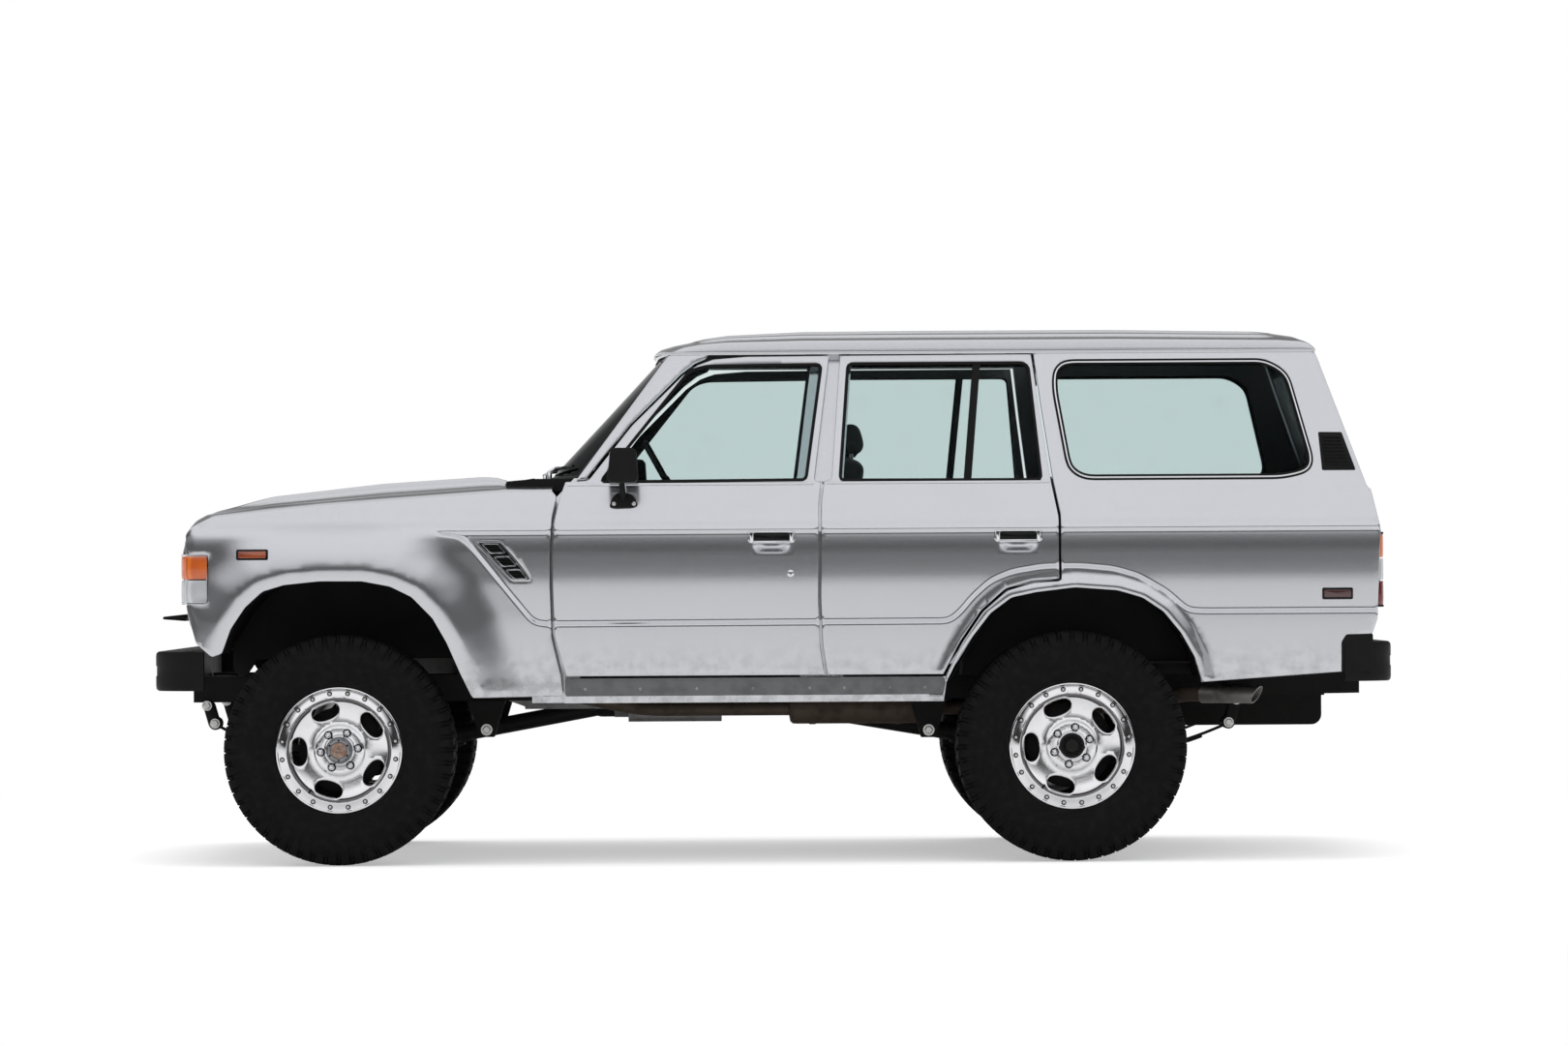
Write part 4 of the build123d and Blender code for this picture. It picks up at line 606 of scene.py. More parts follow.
def paint_finish():
    """Clear-coated silver: fine flakes, faint clouds of tone, road dust towards the sills."""
    f = Finish("silver_paint", Metallic=0.92, Roughness=0.2, IOR=1.5)
    f.put("Coat Weight", 0.8)
    f.put("Coat Roughness", 0.05)
    where = f.place()
    flakes = f.noise(900.0, 1.0, where)
    clouds = f.noise(3.0, 3.0, where)
    dust = (1.0 - f.axis(where, 2).between(0.58, 0.86)) * f.noise(26.0, 6.0, where).between(0.32, 0.72)
    base = f.colours(flakes.between(0.3, 0.7), rgb(0.56, 0.57, 0.595), rgb(0.70, 0.71, 0.735))
    base = f.colours(clouds * 0.14, base, rgb(0.42, 0.43, 0.45))
    f.put("Base Color", f.colours(dust * 0.3, base, rgb(0.26, 0.24, 0.22)))
    f.put("Roughness", 0.14 + flakes * 0.05 + dust * 0.2)
    return f.relief(flakes, 0.03, 0.0004)


def black_finish(name, tone, roughness, grain, depth):
    """Dark moulded or painted parts: grain, and grey scuffs where noise peaks."""
    f = Finish(name, Metallic=0.0, IOR=1.48)
    f.put("Specular IOR Level", 0.22)
    where = f.place()
    wear = f.noise(14.0, 6.0, where).between(0.52, 0.75)
    f.put("Base Color", f.colours(wear * 0.35, rgb(tone, tone, tone * 1.04),
            rgb(tone * 2.6, tone * 2.6, tone * 2.6)))
    f.put("Roughness", roughness + wear * 0.14)
    return f.relief(f.noise(grain, 3.0, where), depth, 0.0006)


def metal_finish(name, colour, roughness, grain, depth, dirt, metallic=1.0):
    """Bare or plated metal with fine marks and darker dirt in patches; the rocker's silver paint, darkened as
    painted shade, also uses it.
    """
    f = Finish(name, Metallic=metallic, IOR=1.5)
    where = f.place()
    marks = f.noise(grain, 4.0, where)
    grime = f.noise(18.0, 5.0, where).between(0.42, 0.75)
    f.put("Base Color", f.colours(grime * dirt, rgb(*colour), rgb(*[c * 0.45 for c in colour])))
    f.put("Roughness", roughness + marks * 0.06 + grime * dirt * 0.4)
    return f.relief(marks, depth, 0.0004)


def chassis_finish(name="chassis_black", tone=0.008):
    """Satin black underbody paint under thin brown dust that lies thicker low down and in noise hollows."""
    f = Finish(name, Metallic=0.0, IOR=1.5)
    f.put("Specular IOR Level", 0.16)
    where = f.place()
    dust = f.noise(22.0, 7.0, where).between(0.4, 0.8) * (1.15 - f.axis(where, 2)).between(0.1, 0.9)
    rust = f.noise(60.0, 5.0, where).between(0.62, 0.8)
    colour = f.colours(dust * 0.5, rgb(tone, tone, tone), rgb(0.040, 0.034, 0.028))
    f.put("Base Color", f.colours(rust * 0.35, colour, rgb(0.050, 0.022, 0.012)))
    f.put("Roughness", 0.5 + dust * 0.35)
    return f.relief(f.noise(160.0, 4.0, where), 0.12, 0.0008)


def glass_finish(name, tint):
    """Tinted window glass: what lies behind is multiplied by the tint, under a mirror that grows
    at glancing angles."""
    f = Finish(name, Metallic=0.0, Roughness=0.02, IOR=1.5)
    f.put("Base Color", rgb(0.002, 0.004, 0.004))
    facing = f.node("ShaderNodeFresnel", {}, {"IOR": 1.45})
    streaks = f.noise(9.0, 4.0).between(0.55, 0.9)
    through = f.node("ShaderNodeBsdfTransparent", {}, {"Color": rgb(*tint)})
    mix = f.node("ShaderNodeMixShader", {},
                 [facing + streaks * 0.02 + 0.01, through, Signal(f, f.shader.outputs[0])])
    f.surface(mix)
    return f


def lens_finish(name, colour, deep, glow=0.0):
    """Moulded lamp lens: optic squares as relief, colour deeper between them, a clear coat."""
    f = Finish(name, Metallic=0.0, Roughness=0.12, IOR=1.49)
    f.put("Coat Weight", 1.0)
    f.put("Coat Roughness", 0.03)
    f.put("Specular IOR Level", 0.7)
    x, y, z = f.axes()
    squares = (x * 520.0).sine() * (z * 520.0).sine() * 0.5 + (y * 520.0).sine() * 0.5
    f.put("Base Color", f.colours(squares.between(-0.7, 0.8), rgb(*deep), rgb(*colour)))
    if glow:
        f.put("Emission Color", rgb(*colour))
        f.put("Emission Strength", glow)
    return f.relief(squares, 0.35, 0.0012)


def tyre_finish():
    """Rubber: near black, greyer dust where noise peaks, fine pebbling."""
    f = Finish("tyre_rubber", Metallic=0.0, IOR=1.45)
    f.put("Specular IOR Level", 0.14)
    where = f.place()
    dust = f.noise(30.0, 6.0, where).between(0.4, 0.78)
    f.put("Base Color", f.colours(dust * 0.55, rgb(0.0042, 0.0042, 0.0044), rgb(0.018, 0.017, 0.016)))
    f.put("Roughness", 0.66 + dust * 0.2)
    return f.relief(f.noise(420.0, 3.0, where), 0.14, 0.0006)


def alloy_finish(name, colour, roughness, turned_lines=0.0):
    """Polished aluminium, with turned marks round each wheel's axle where asked."""
    f = Finish(name, Metallic=1.0, IOR=1.5)
    where = f.place()
    marks = f.noise(140.0, 3.0, where)
    grime = f.noise(26.0, 5.0, where).between(0.5, 0.8)
    f.put("Base Color", f.colours(grime * 0.12, rgb(*colour), rgb(0.42, 0.40, 0.38)))
    f.put("Roughness", roughness + grime * 0.08)
    if turned_lines:
        middle = FRONT_AXLE_X / 1000 * 0.5 + REAR_AXLE_X / 1000 * 0.5
        along = (f.axis(where, 0) - middle).size() - (REAR_AXLE_X - FRONT_AXLE_X) / 2000
        up = f.axis(where, 2) - WHEEL_Z / 1000
        reach = (along * along + up * up) ** 0.5
        return f.relief((reach * 2600.0).sine() + marks, turned_lines, 0.0003)
    return f.relief(marks, 0.05, 0.0003)


def cloth_finish():
    """Woven seat cloth: two crossed sines make the weave, with slow fading and lint."""
    f = Finish("seat_cloth", Metallic=0.0, Roughness=0.92, IOR=1.4)
    f.put("Sheen Weight", 0.25)
    x, y, z = f.axes()
    weave = (x * 1900.0).sine() * (y * 1900.0).sine() + (z * 1900.0).sine() * 0.6
    fade = f.noise(7.0, 4.0)
    lint = f.noise(240.0, 2.0).between(0.6, 0.8)
    tone = f.colours(fade, rgb(0.052, 0.053, 0.058), rgb(0.085, 0.086, 0.092))
    f.put("Base Color", f.colours(lint * 0.3, tone, rgb(0.16, 0.16, 0.17)))
    return f.relief(weave, 0.3, 0.0007)


def lining_finish(name, a, b, scale, depth, roughness=0.8):
    """Roof lining, carpet or trim: two tones by noise and a grain."""
    f = Finish(name, Metallic=0.0, Roughness=roughness, IOR=1.45)
    where = f.place()
    f.put("Base Color", f.colours(f.noise(scale * 0.15, 4.0, where), rgb(*a), rgb(*b)))
    return f.relief(f.noise(scale, 3.0, where), depth, 0.0008)


def dial_finish():
    """The hub's locking dial: coppery face with grey patches."""
    f = Finish("hub_dial", Metallic=0.85, IOR=1.5)
    patches = f.noise(90.0, 5.0)
    f.put("Base Color", f.colours(patches.between(0.35, 0.65), rgb(0.33, 0.17, 0.10), rgb(0.40, 0.34, 0.30)))
    f.put("Roughness", 0.38 + patches * 0.2)
    return f.relief(patches, 0.2, 0.0005)


FINISH_MAKERS = {
    "paint": (paint_finish,),
    "bumper": (black_finish, "bumper_black", 0.003, 0.5, 380.0, 0.10),
    "gloss": (black_finish, "gloss_black", 0.005, 0.22, 120.0, 0.03),
    "seal": (black_finish, "seal_rubber", 0.005, 0.62, 260.0, 0.08),
    "mould": (black_finish, "moulded_black", 0.005, 0.5, 520.0, 0.2),
    "radiator": (black_finish, "radiator_black", 0.004, 0.6, 900.0, 0.6),
    "rusty": (metal_finish, "pipe_rust", (0.10, 0.075, 0.055), 0.6, 120.0, 0.2, 0.5, 0.5),
    "plate": (lining_finish, "blank_plate", (0.50, 0.50, 0.49), (0.58, 0.58, 0.57), 300.0, 0.04, 0.4),
    "chassis": (chassis_finish,),
    "axle": (chassis_finish, "axle_black", 0.012),
    # The rocker: the body's silver paint made much darker as painted shade, standing in for the shadow under
    # the side
    "sill": (metal_finish, "sill_grey", (0.17, 0.175, 0.18), 0.4, 120.0, 0.1, 0.3, 0.8),
    "steel": (metal_finish, "bare_steel", (0.34, 0.33, 0.31), 0.42, 220.0, 0.06, 0.6, 0.8),
    "cast": (metal_finish, "cast_grey", (0.26, 0.26, 0.255), 0.5, 90.0, 0.2, 0.5, 0.7),
    "bright": (metal_finish, "bright_zinc", (0.72, 0.72, 0.70), 0.22, 220.0, 0.06, 0.15),
    "chrome": (metal_finish, "chrome_plate", (0.80, 0.81, 0.83), 0.07, 60.0, 0.02, 0.08),
    "dark_chrome": (metal_finish, "dark_plate", (0.13, 0.13, 0.14), 0.2, 60.0, 0.02, 0.1),
    "alloy": (alloy_finish, "polished_alloy", (0.86, 0.86, 0.87), 0.13, 0.10),
    "ring": (alloy_finish, "ring_alloy", (0.82, 0.82, 0.83), 0.08),
    "barrel": (alloy_finish, "barrel_alloy", (0.20, 0.19, 0.19), 0.34),
    "hub": (metal_finish, "hub_grey", (0.32, 0.32, 0.33), 0.34, 120.0, 0.12, 0.35, 0.85),
    "dial": (dial_finish,),
    "tyre": (tyre_finish,),
    "glass": (glass_finish, "window_glass", (0.875, 0.925, 0.922)),
    "screen": (glass_finish, "screen_glass", (0.86, 0.92, 0.915)),
    "amber": (lens_finish, "amber_lens", (0.85, 0.20, 0.015), (0.50, 0.07, 0.004), 0.10),
    "dim_amber": (lens_finish, "marker_amber", (0.40, 0.075, 0.01), (0.18, 0.02, 0.003)),
    "red": (lens_finish, "red_lens", (0.30, 0.010, 0.012), (0.10, 0.003, 0.004)),
    "dim_red": (lens_finish, "marker_red", (0.12, 0.006, 0.006), (0.045, 0.002, 0.002)),
    "clear": (lens_finish, "clear_lens", (0.80, 0.82, 0.83), (0.50, 0.52, 0.54)),
    "cloth": (cloth_finish,),
    "trim": (lining_finish, "cabin_trim", (0.030, 0.031, 0.033), (0.050, 0.050, 0.052), 420.0, 0.25, 0.62),
    "liner": (lining_finish, "roof_lining", (0.030, 0.033, 0.032), (0.048, 0.051, 0.050), 600.0, 0.2, 0.9),
    "carpet": (lining_finish, "floor_carpet", (0.020, 0.020, 0.021), (0.040, 0.039, 0.038), 900.0, 0.5, 0.95),
}
_finishes = {}


def finish(name):
    """The named finish, built once."""
    if name not in _finishes:
        maker, *values = FINISH_MAKERS[name]
        _finishes[name] = maker(*values).material
    return _finishes[name]


CAD_FINISHES = {
    "paint": ("side_panels", "front_wings", "nose_panel", "roof", "bonnet", "tailgate_upper",
              "tailgate_lower",
              "door_front_left", "door_front_right", "door_rear_left", "door_rear_right"),
    "chassis": ("frame", "floor_pan", "fuel_tank", "leaf_springs"),
    "axle": ("front_axle", "rear_axle", "knuckle_left", "knuckle_right", "propeller_shafts",
             "shock_absorbers"),
    "cast": ("gearbox", "engine"),
    "steel": ("exhaust", "tie_rod"),
    "bumper": ("front_bumper", "rear_bumper"),
    "gloss": ("grille",),
    "clear": ("headlamps",),
    "amber": ("corner_lamps",),
    "red": ("tail_lamps",),
    "glass": ("glass_front_left", "glass_front_right", "glass_rear_left", "glass_rear_right",
              "quarter_glasses",
              "tailgate_glass"),
    "screen": ("windscreen",),
    "alloy": ("rim_front_left", "rim_front_right", "rim_rear_left", "rim_rear_right"),
    "tyre": ("tyre_front_left", "tyre_front_right", "tyre_rear_left", "tyre_rear_right"),
    "trim": ("dashboard", "steering_wheel"),
    "cloth": ("front_seats", "rear_bench"),
    "mould": ("wipers",),
}


def dress_nodes():
    """Every CAD node takes its code-built finish in all its material places."""
    for name, nodes in CAD_FINISHES.items():
        for node in nodes:
            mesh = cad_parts[node].data
            if not mesh.materials:
                mesh.materials.append(finish(name))
            for index in range(len(mesh.materials)):
                mesh.materials[index] = finish(name)


# Body side

def side_half(x, z):
    """Half width of the side at x, z: the section's curve over height, raised outside the deep band, with a
    crown in each field and the flares round the arches."""
    points = columns(x, z)
    lift = np.mean([np.interp(z + d, SIDE_SECTION[:, 0], SIDE_SECTION[:, 1]) for d in (-16, -8, 0, 8, 16)],
                   axis=0)
    band = depth_inside(points, eased_loop(DEEP_BAND, 30, 12))
    press = bpy.context.scene.estate_body.press_depth * 1000
    outside = 1 - smooth((band + 8) / 16)
    pressed = np.sin(np.clip((z - 905) / 225, 0, 1) * np.pi / 2)
    proud = np.clip((z - 690) / 240, 0, 1)
    proud = proud * (1.8 - 0.8 * proud)
    crown = (pressed * (1 - outside) + proud * outside) * (1 - smooth((z - 1210) / 190))
    lift = lift + 2 + press * outside + 4.5 * crown
    upper = smooth((z - 1262) / 20) * (1 - smooth((z - 1262) / 90))
    lift = lift - 2 * upper
    for arch, reach, rise in ((WING_ARCH, 230, 24), (QUARTER_ARCH, 62, 13)):
        gap = distance(points, as_loop(arch))
        near = np.clip(1 - gap / reach, 0, 1)
        lift = lift + rise * np.sin(near * np.pi / 2) ** 2 * (1 - 0.25 * smooth(near * 4 - 3))
    return lift


def sill_half(x, z):
    """The rocker's half width, which leans in towards its lower edge."""
    return side_half(x, z) + 3 - 8 * np.clip((690 - z) / 90, 0, 1)


def crease_guides():
    """Rows of points along the deep band's edge, a little inside and outside it."""
    loop = eased_loop(DEEP_BAND, 30, 12)
    out = outward_normals(loop)
    return [loop + out * d for d in (-22, -15, -9, -4.5, 0, 4.5, 9, 15, 22)]


def arch_guides(arch, gaps):
    loop = resampled(as_loop(arch), 14)
    out = outward_normals(loop)
    return [loop + out * d for d in gaps]


def side_panel(sign, outline, holes, corner=6, guides=(), surface=None, roll=3):
    return panel(outline, holes, surface or side_half, side_place(sign), (0, sign, 0), wall=4, roll=roll,
                 corner=corner, guides=list(guides), step=18, back=False)


def wheel_place(x, sign):
    """Maps a point of the wheel's face plane and a height out from its middle plane into the car."""
    return lambda u, v, h: columns(x + u, sign * (WHEEL_Y + h), WHEEL_Z + v)


# Tyre half section: distance out from the middle plane, radius at the carcass
TYRE_SECTION = [
    (0, 418.5), (60, 418), (104, 416), (126, 411), (138, 402), (146, 389), (151, 374),
    (155.5, 352), (157, 334), (156, 318), (152.5, 300), (150.5, 297), (148.5, 293), (144, 277),
    (136, 259), (131, 252), (129, 246), (121, 241), (115, 238.5), (108, 238), (104, 230)]


def tyre_mesh(x, sign):
    """Carcass: the half section, smoothed and mirrored, turned round the axle. Lugs: small blocks repeated
    round it, each point (s, y, r) set at the angle s / radius."""
    wheel = bpy.context.scene.estate_wheels
    half = np.array(TYRE_SECTION)
    cut = [np.array([a * 0.75 + b * 0.25, a * 0.25 + b * 0.75]) for a, b in zip(half, half[1:])]
    half = np.concatenate([half[:1], *cut, half[-1:]])
    section = np.concatenate([half[::-1] * (-1, 1), half[1:]])
    batch = Batch()
    centre = (x, sign * WHEEL_Y, WHEEL_Z)
    angle = turns(120)
    rings = np.stack([
        centre[0] + section[:, 1, None] * np.cos(angle), centre[1] + section[:, :1] + 0 * angle,
        centre[2] + section[:, 1, None] * np.sin(angle)], axis=-1)
    faces = grid_faces(len(section), len(angle), wrap_rows=True, wrap_columns=True).tolist()
    batch.add(turned_out(rings.reshape(-1, 3), faces))
    pitches = wheel.lug_count
    tread = WHEEL_Z
    pitch = 2 * np.pi * tread / pitches

    def bar(path, left, right, ease=2.2, drop=12):
        """A lug along a path of y, radius, between two lines of s given at each path point."""
        path, left, right = np.array(path), np.array(left, float), np.array(right, float)
        y, r = path[:, 0], path[:, 1]
        rows = [(left - 1.5, r - drop), (left, r - ease), (left + ease, r), (right - ease, r),
                (right, r - ease),
                (right + 1.5, r - drop)]
        return np.stack([columns(s, y, h) for s, h in rows], axis=1)

    shoulder = [(80, 429), (104, 428.6), (124, 427), (134, 421), (142, 412), (148, 399), (152, 384),
                (153.5, 374)]
    blocks = []
    for flip, shift in ((1, 0), (-1, 0.5)):
        wide = [pitch * k for k in (0.30, 0.33, 0.36, 0.34, 0.30, 0.27, 0.25, 0.22)]
        slant = [8, 5, 2, 0, 0, 0, 0, 0]
        blocks.append((bar(shoulder, [s - w for s, w in zip(slant, wide)],
                           [s + w for s, w in zip(slant, wide)]), flip, shift))
        short = [(82, 429), (100, 428.7), (122, 427), (131, 422), (137, 414)]
        narrow = [pitch * 0.5 + d for d in (2, 0, 0, 0, 0)]
        blocks.append((bar(short, [s - 4.5 for s in narrow], [s + 4.5 for s in narrow], 1.5, 10), flip,
                       shift))
        mid = [(40, tread - 0.2), (52, tread - 0.3), (64, tread - 0.5), (75, tread - 0.8)]
        blocks.append((bar(mid, [-16, -20, -14, -9], [8, 14, 20, 16]), flip, shift + 0.12))
        core = [(3, tread), (14, tread), (24, tread - 0.1), (34, tread - 0.2)]
        blocks.append((bar(core, [-19, -13, -17, -12], [9, 16, 13, 18]), flip, shift + 0.42))
    steps = np.arange(pitches) / pitches * 2 * np.pi
    for block, flip, shift in blocks:
        local, faces = swept(block * (1, flip, 1))
        at = steps[:, None] + (local[None, :, 0] + shift * pitch) / tread
        points = np.stack([centre[0] + local[None, :, 2] * np.cos(at), centre[1] + local[None, :, 1] + 0 * at,
                           centre[2] + local[None, :, 2] * np.sin(at)], axis=-1)
        faces = turned_out(points[0], faces)[1]
        count = len(local)
        faces = [[i + k * count for i in face] for k in range(pitches) for face in faces]
        batch.add((points.reshape(-1, 3), faces))
    return batch


DISC_DEPTH = np.array([(0, 88), (60, 88), (86, 88), (92, 84), (99, 77), (120, 76), (150, 80),
                       (172, 86), (190, 94)])


def disc_height(u, v):
    """Height of the rim's disc by its radius: the table above, averaged over a short reach."""
    r = np.hypot(u, v)
    return np.mean([np.interp(r + d, DISC_DEPTH[:, 0], DISC_DEPTH[:, 1]) for d in (-3, -1.5, 0, 1.5, 3)],
                   axis=0)


def ellipse(centre, long_size, high_size, turn):
    """A superellipse: |a|^p + |b|^p = 1, turned by an angle."""
    t, power = turns(40), 2.3
    a = np.sign(np.cos(t)) * np.abs(np.cos(t)) ** (2 / power) * high_size / 2
    b = np.sign(np.sin(t)) * np.abs(np.sin(t)) ** (2 / power) * long_size / 2
    c, s = math.cos(turn), math.sin(turn)
    return columns(centre[0] + a * c - b * s, centre[1] + a * s + b * c)


def circle(radius, count=96, middle=(0, 0)):
    t = turns(count)
    return columns(middle[0] + radius * np.cos(t), middle[1] + radius * np.sin(t))


def hexagon(centre, size, turn):
    t = np.arange(6) * np.pi / 3 + turn
    return columns(centre[0] + size * np.cos(t), centre[1] + size * np.sin(t))


def rim_mesh(x, sign, front):
    """The rim: a disc with oval windows, a bolted ring, the barrel, nuts, hub, and the brake behind."""
    wheel = bpy.context.scene.estate_wheels
    place = wheel_place(x, sign)
    middle, axis = np.array((x, sign * WHEEL_Y, WHEEL_Z)), (0, sign, 0)
    batch = Batch()
    turn = math.radians(wheel.window_turn if sign < 0 else 180 - wheel.window_turn)
    windows = []
    for k in range(wheel.window_count):
        angle = turn + k * 2 * np.pi / wheel.window_count
        centre = (RIM_WINDOW_RADIUS * math.cos(angle), RIM_WINDOW_RADIUS * math.sin(angle))
        windows.append((ellipse(centre, 104, 60, angle), 0.1))
    guides = [circle(r, n) for r, n in ((88, 72), (92, 72), (96, 80), (100, 80), (174, 120))]
    batch.add(panel(circle(186, 120), windows + [(circle(52, 60), 0.1)], disc_height, place, axis, wall=24,
                    roll=7,
                    step=9, corner=0.1, guides=guides))
    ring = [(92, 188), (99, 190), (104, 192.5), (114, 193.5), (116.8, 195.5), (116.8, 199), (115.4, 201),
            (113.2, 226), (116, 228.5), (116, 233), (114, 236.4), (108, 237), (104, 236), (104, 214)]
    batch.add(lathe(ring, middle, axis, 128, closed=True), 1)
    barrel = [(100, 196), (96, 214), (20, 212), (-30, 200), (-90, 214), (-104, 216), (-108, 236),
              (-115, 236.5), (-116, 230), (-113, 212), (-92, 207), (-30, 192), (20, 204), (80, 205),
              (84, 188), (96, 186)]
    batch.add(lathe(barrel, middle, axis, 96, closed=True), 2)
    for k in range(wheel.bolt_count):
        angle = (k + 0.5) * 2 * np.pi / wheel.bolt_count
        centre = (RING_BOLT_RADIUS * math.cos(angle), RING_BOLT_RADIUS * math.sin(angle))
        batch.block(circle(9.6, 18, centre), 112, 115.4, place, 0.6, 2, kind=7)
        batch.block(hexagon(centre, 6.4, angle), 115, 121, place, 1.4, 2, kind=3)
    for k in range(6):
        angle = k * np.pi / 3 + (0.10 if front else 0.35)
        centre = (NUT_RADIUS * math.cos(angle), NUT_RADIUS * math.sin(angle))
        batch.block(circle(16, 22, centre), 84, 92, place, 1, 2, kind=7)
        batch.block(hexagon(centre, 11.6, angle), 90, 104, place, 1.6, 3, kind=4)
        batch.add(lathe([(102, 9.6), (106, 8.4), (109, 5), (110, 0.4)],
                        place(np.array([centre[0]]), np.array([centre[1]]), np.array([0]))[0], axis, 14), 4)
    batch.add(lathe([(20, 58), (84, 56), (91, 54), (93, 50.5), (91, 47), (20, 46)], middle, axis, 48,
                    closed=True), 4)
    if front:
        hub = [(40, 47), (94, 47), (97, 45.5), (104, 45.5), (106, 43.5), (124, 42.5), (131, 40), (134, 35),
               (134, 32), (130.5, 30.5), (130.5, 0.5)]
        batch.add(lathe(hub, middle, axis, 48), 5)
        batch.add(lathe([(130, 29.5), (134, 28.5), (135.5, 26), (135.5, 11), (133.5, 9), (133.5, 0.5)],
                        middle, axis, 40), 6)
        batch.block(rounded(rect(-24, -5, 24, 5), 4, 3), 133, 138, place, 1.5, 2, kind=6)
        for k in range(6):
            angle = (k + 0.5) * np.pi / 3
            centre = (38 * math.cos(angle), 38 * math.sin(angle))
            batch.block(hexagon(centre, 4.2, angle), 128, 137, place, 0.8, 2, kind=7)
    else:
        hub = [(40, 47), (90, 47), (93, 45), (93, 39), (90, 37), (84, 36), (84, 28), (95, 26),
               (99, 23), (100, 18), (100, 0.5)]
        batch.add(lathe(hub, middle, axis, 48), 8)
        for k in range(6):
            angle = k * np.pi / 3 + 0.2
            centre = (33 * math.cos(angle), 33 * math.sin(angle))
            batch.block(hexagon(centre, 5, angle), 83, 96, place, 0.8, 2, kind=7)
    brake = [(-30, 60), (-30, 158), (-6, 160), (-4, 150), (8, 96), (30, 92), (34, 60)]
    batch.add(lathe(brake, middle, axis, 64, closed=True), 8)
    valve = [place(np.array([-118 + t * 7]), np.array([-163 + t * 9]), np.array([96 + t * 9]))[0]
             for t in (0, 1, 2)]
    batch.add(tube(valve, [5, 4, 4], 10), 7)
    return batch


class EstateBody(bpy.types.PropertyGroup):
    press_depth: bpy.props.FloatProperty(
        name="Press depth", description="How much deeper the band between the pressed lines lies",
        default=0.007, unit="LENGTH")
    flute_rise: bpy.props.FloatProperty(
        name="Rib rise", description="Height of the ribs along the roof", default=0.006, unit="LENGTH")
    vent_slots: bpy.props.IntProperty(name="Vent slots", description="Openings in the wing vent", default=3,
            min=1)


class EstateWheels(bpy.types.PropertyGroup):
    lug_count: bpy.props.IntProperty(name="Lugs", description="Tread pitches round each tyre", default=52,
            min=20)
    bolt_count: bpy.props.IntProperty(name="Ring bolts", description="Bolts round each rim's ring",
            default=20, min=4)
    window_count: bpy.props.IntProperty(name="Windows", description="Oval windows in each rim", default=5,
            min=3)
    window_turn: bpy.props.FloatProperty(
        name="Window turn", description="Angle of the first window in degrees from level", default=38.0)


class EstateStage(bpy.types.PropertyGroup):
    lens: bpy.props.FloatProperty(name="Lens", description="Focal length in millimetres", default=116.5)
    camera_x: bpy.props.FloatProperty(name="Camera X", description="Camera place along the car",
            default=-0.148, unit="LENGTH")
    camera_y: bpy.props.FloatProperty(name="Camera Y", description="Camera place across the car",
            default=-19.761, unit="LENGTH")
    camera_z: bpy.props.FloatProperty(name="Camera Z", description="Camera height", default=1.079,
            unit="LENGTH")
    yaw: bpy.props.FloatProperty(name="Yaw", description="Camera turn to the left",
            default=math.radians(-0.566), subtype="ANGLE")
    pitch: bpy.props.FloatProperty(name="Pitch", description="Camera tilt upwards",
            default=math.radians(0.575), subtype="ANGLE")
    roll: bpy.props.FloatProperty(name="Roll", description="Camera roll", default=math.radians(-0.3435),
            subtype="ANGLE")
    light: bpy.props.FloatProperty(name="Light", description="Strength of the overhead panel in watts",
            default=150.0)
    floor_glow: bpy.props.FloatProperty(name="Floor glow",
            description="Light added to the floor as the camera sees it", default=0.42)


class ESTATE_OT_tyres(bpy.types.Operator):
    """Make the four tyres with their treads"""
    bl_idname = "estate.tyres"
    bl_label = "Tyres"

    def execute(self, context):
        for end, x in (("front", FRONT_AXLE_X), ("rear", REAR_AXLE_X)):
            for side, sign in SIDES.items():
                tyre = tyre_mesh(x, sign).build(f"tread_{end}_{side}", "tyre", f"wheel_{end}_{side}", "tyre",
                        sharp=32)
                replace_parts(tyre, f"tyre_{end}_{side}")
        return {"FINISHED"}


class ESTATE_OT_rims(bpy.types.Operator):
    """Make the four rims with bolts, nuts and hubs"""
    bl_idname = "estate.rims"
    bl_label = "Rims"

    def execute(self, context):
        kinds = "alloy ring barrel bright chrome hub dial gloss axle"
        for end, x in (("front", FRONT_AXLE_X), ("rear", REAR_AXLE_X)):
            for side, sign in SIDES.items():
                rim = rim_mesh(x, sign, end == "front").build(f"alloy_{end}_{side}", kinds,
                        f"wheel_{end}_{side}", "alloy", sharp=35)
                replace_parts(rim, f"rim_{end}_{side}")
        return {"FINISHED"}


# Studio brightness by the height of a direction, on the camera's side and beyond the car
NEAR_SKY = [(0.0, 0.03), (0.13, 0.04), (0.22, 0.50), (0.32, 1.0), (0.52, 0.98), (0.68, 0.80), (1.0, 0.80)]
FAR_SKY = [(0.0, 0.95), (0.09, 0.40), (0.20, 0.14), (0.32, 0.20), (0.50, 0.75), (0.70, 0.85), (1.0, 0.85)]


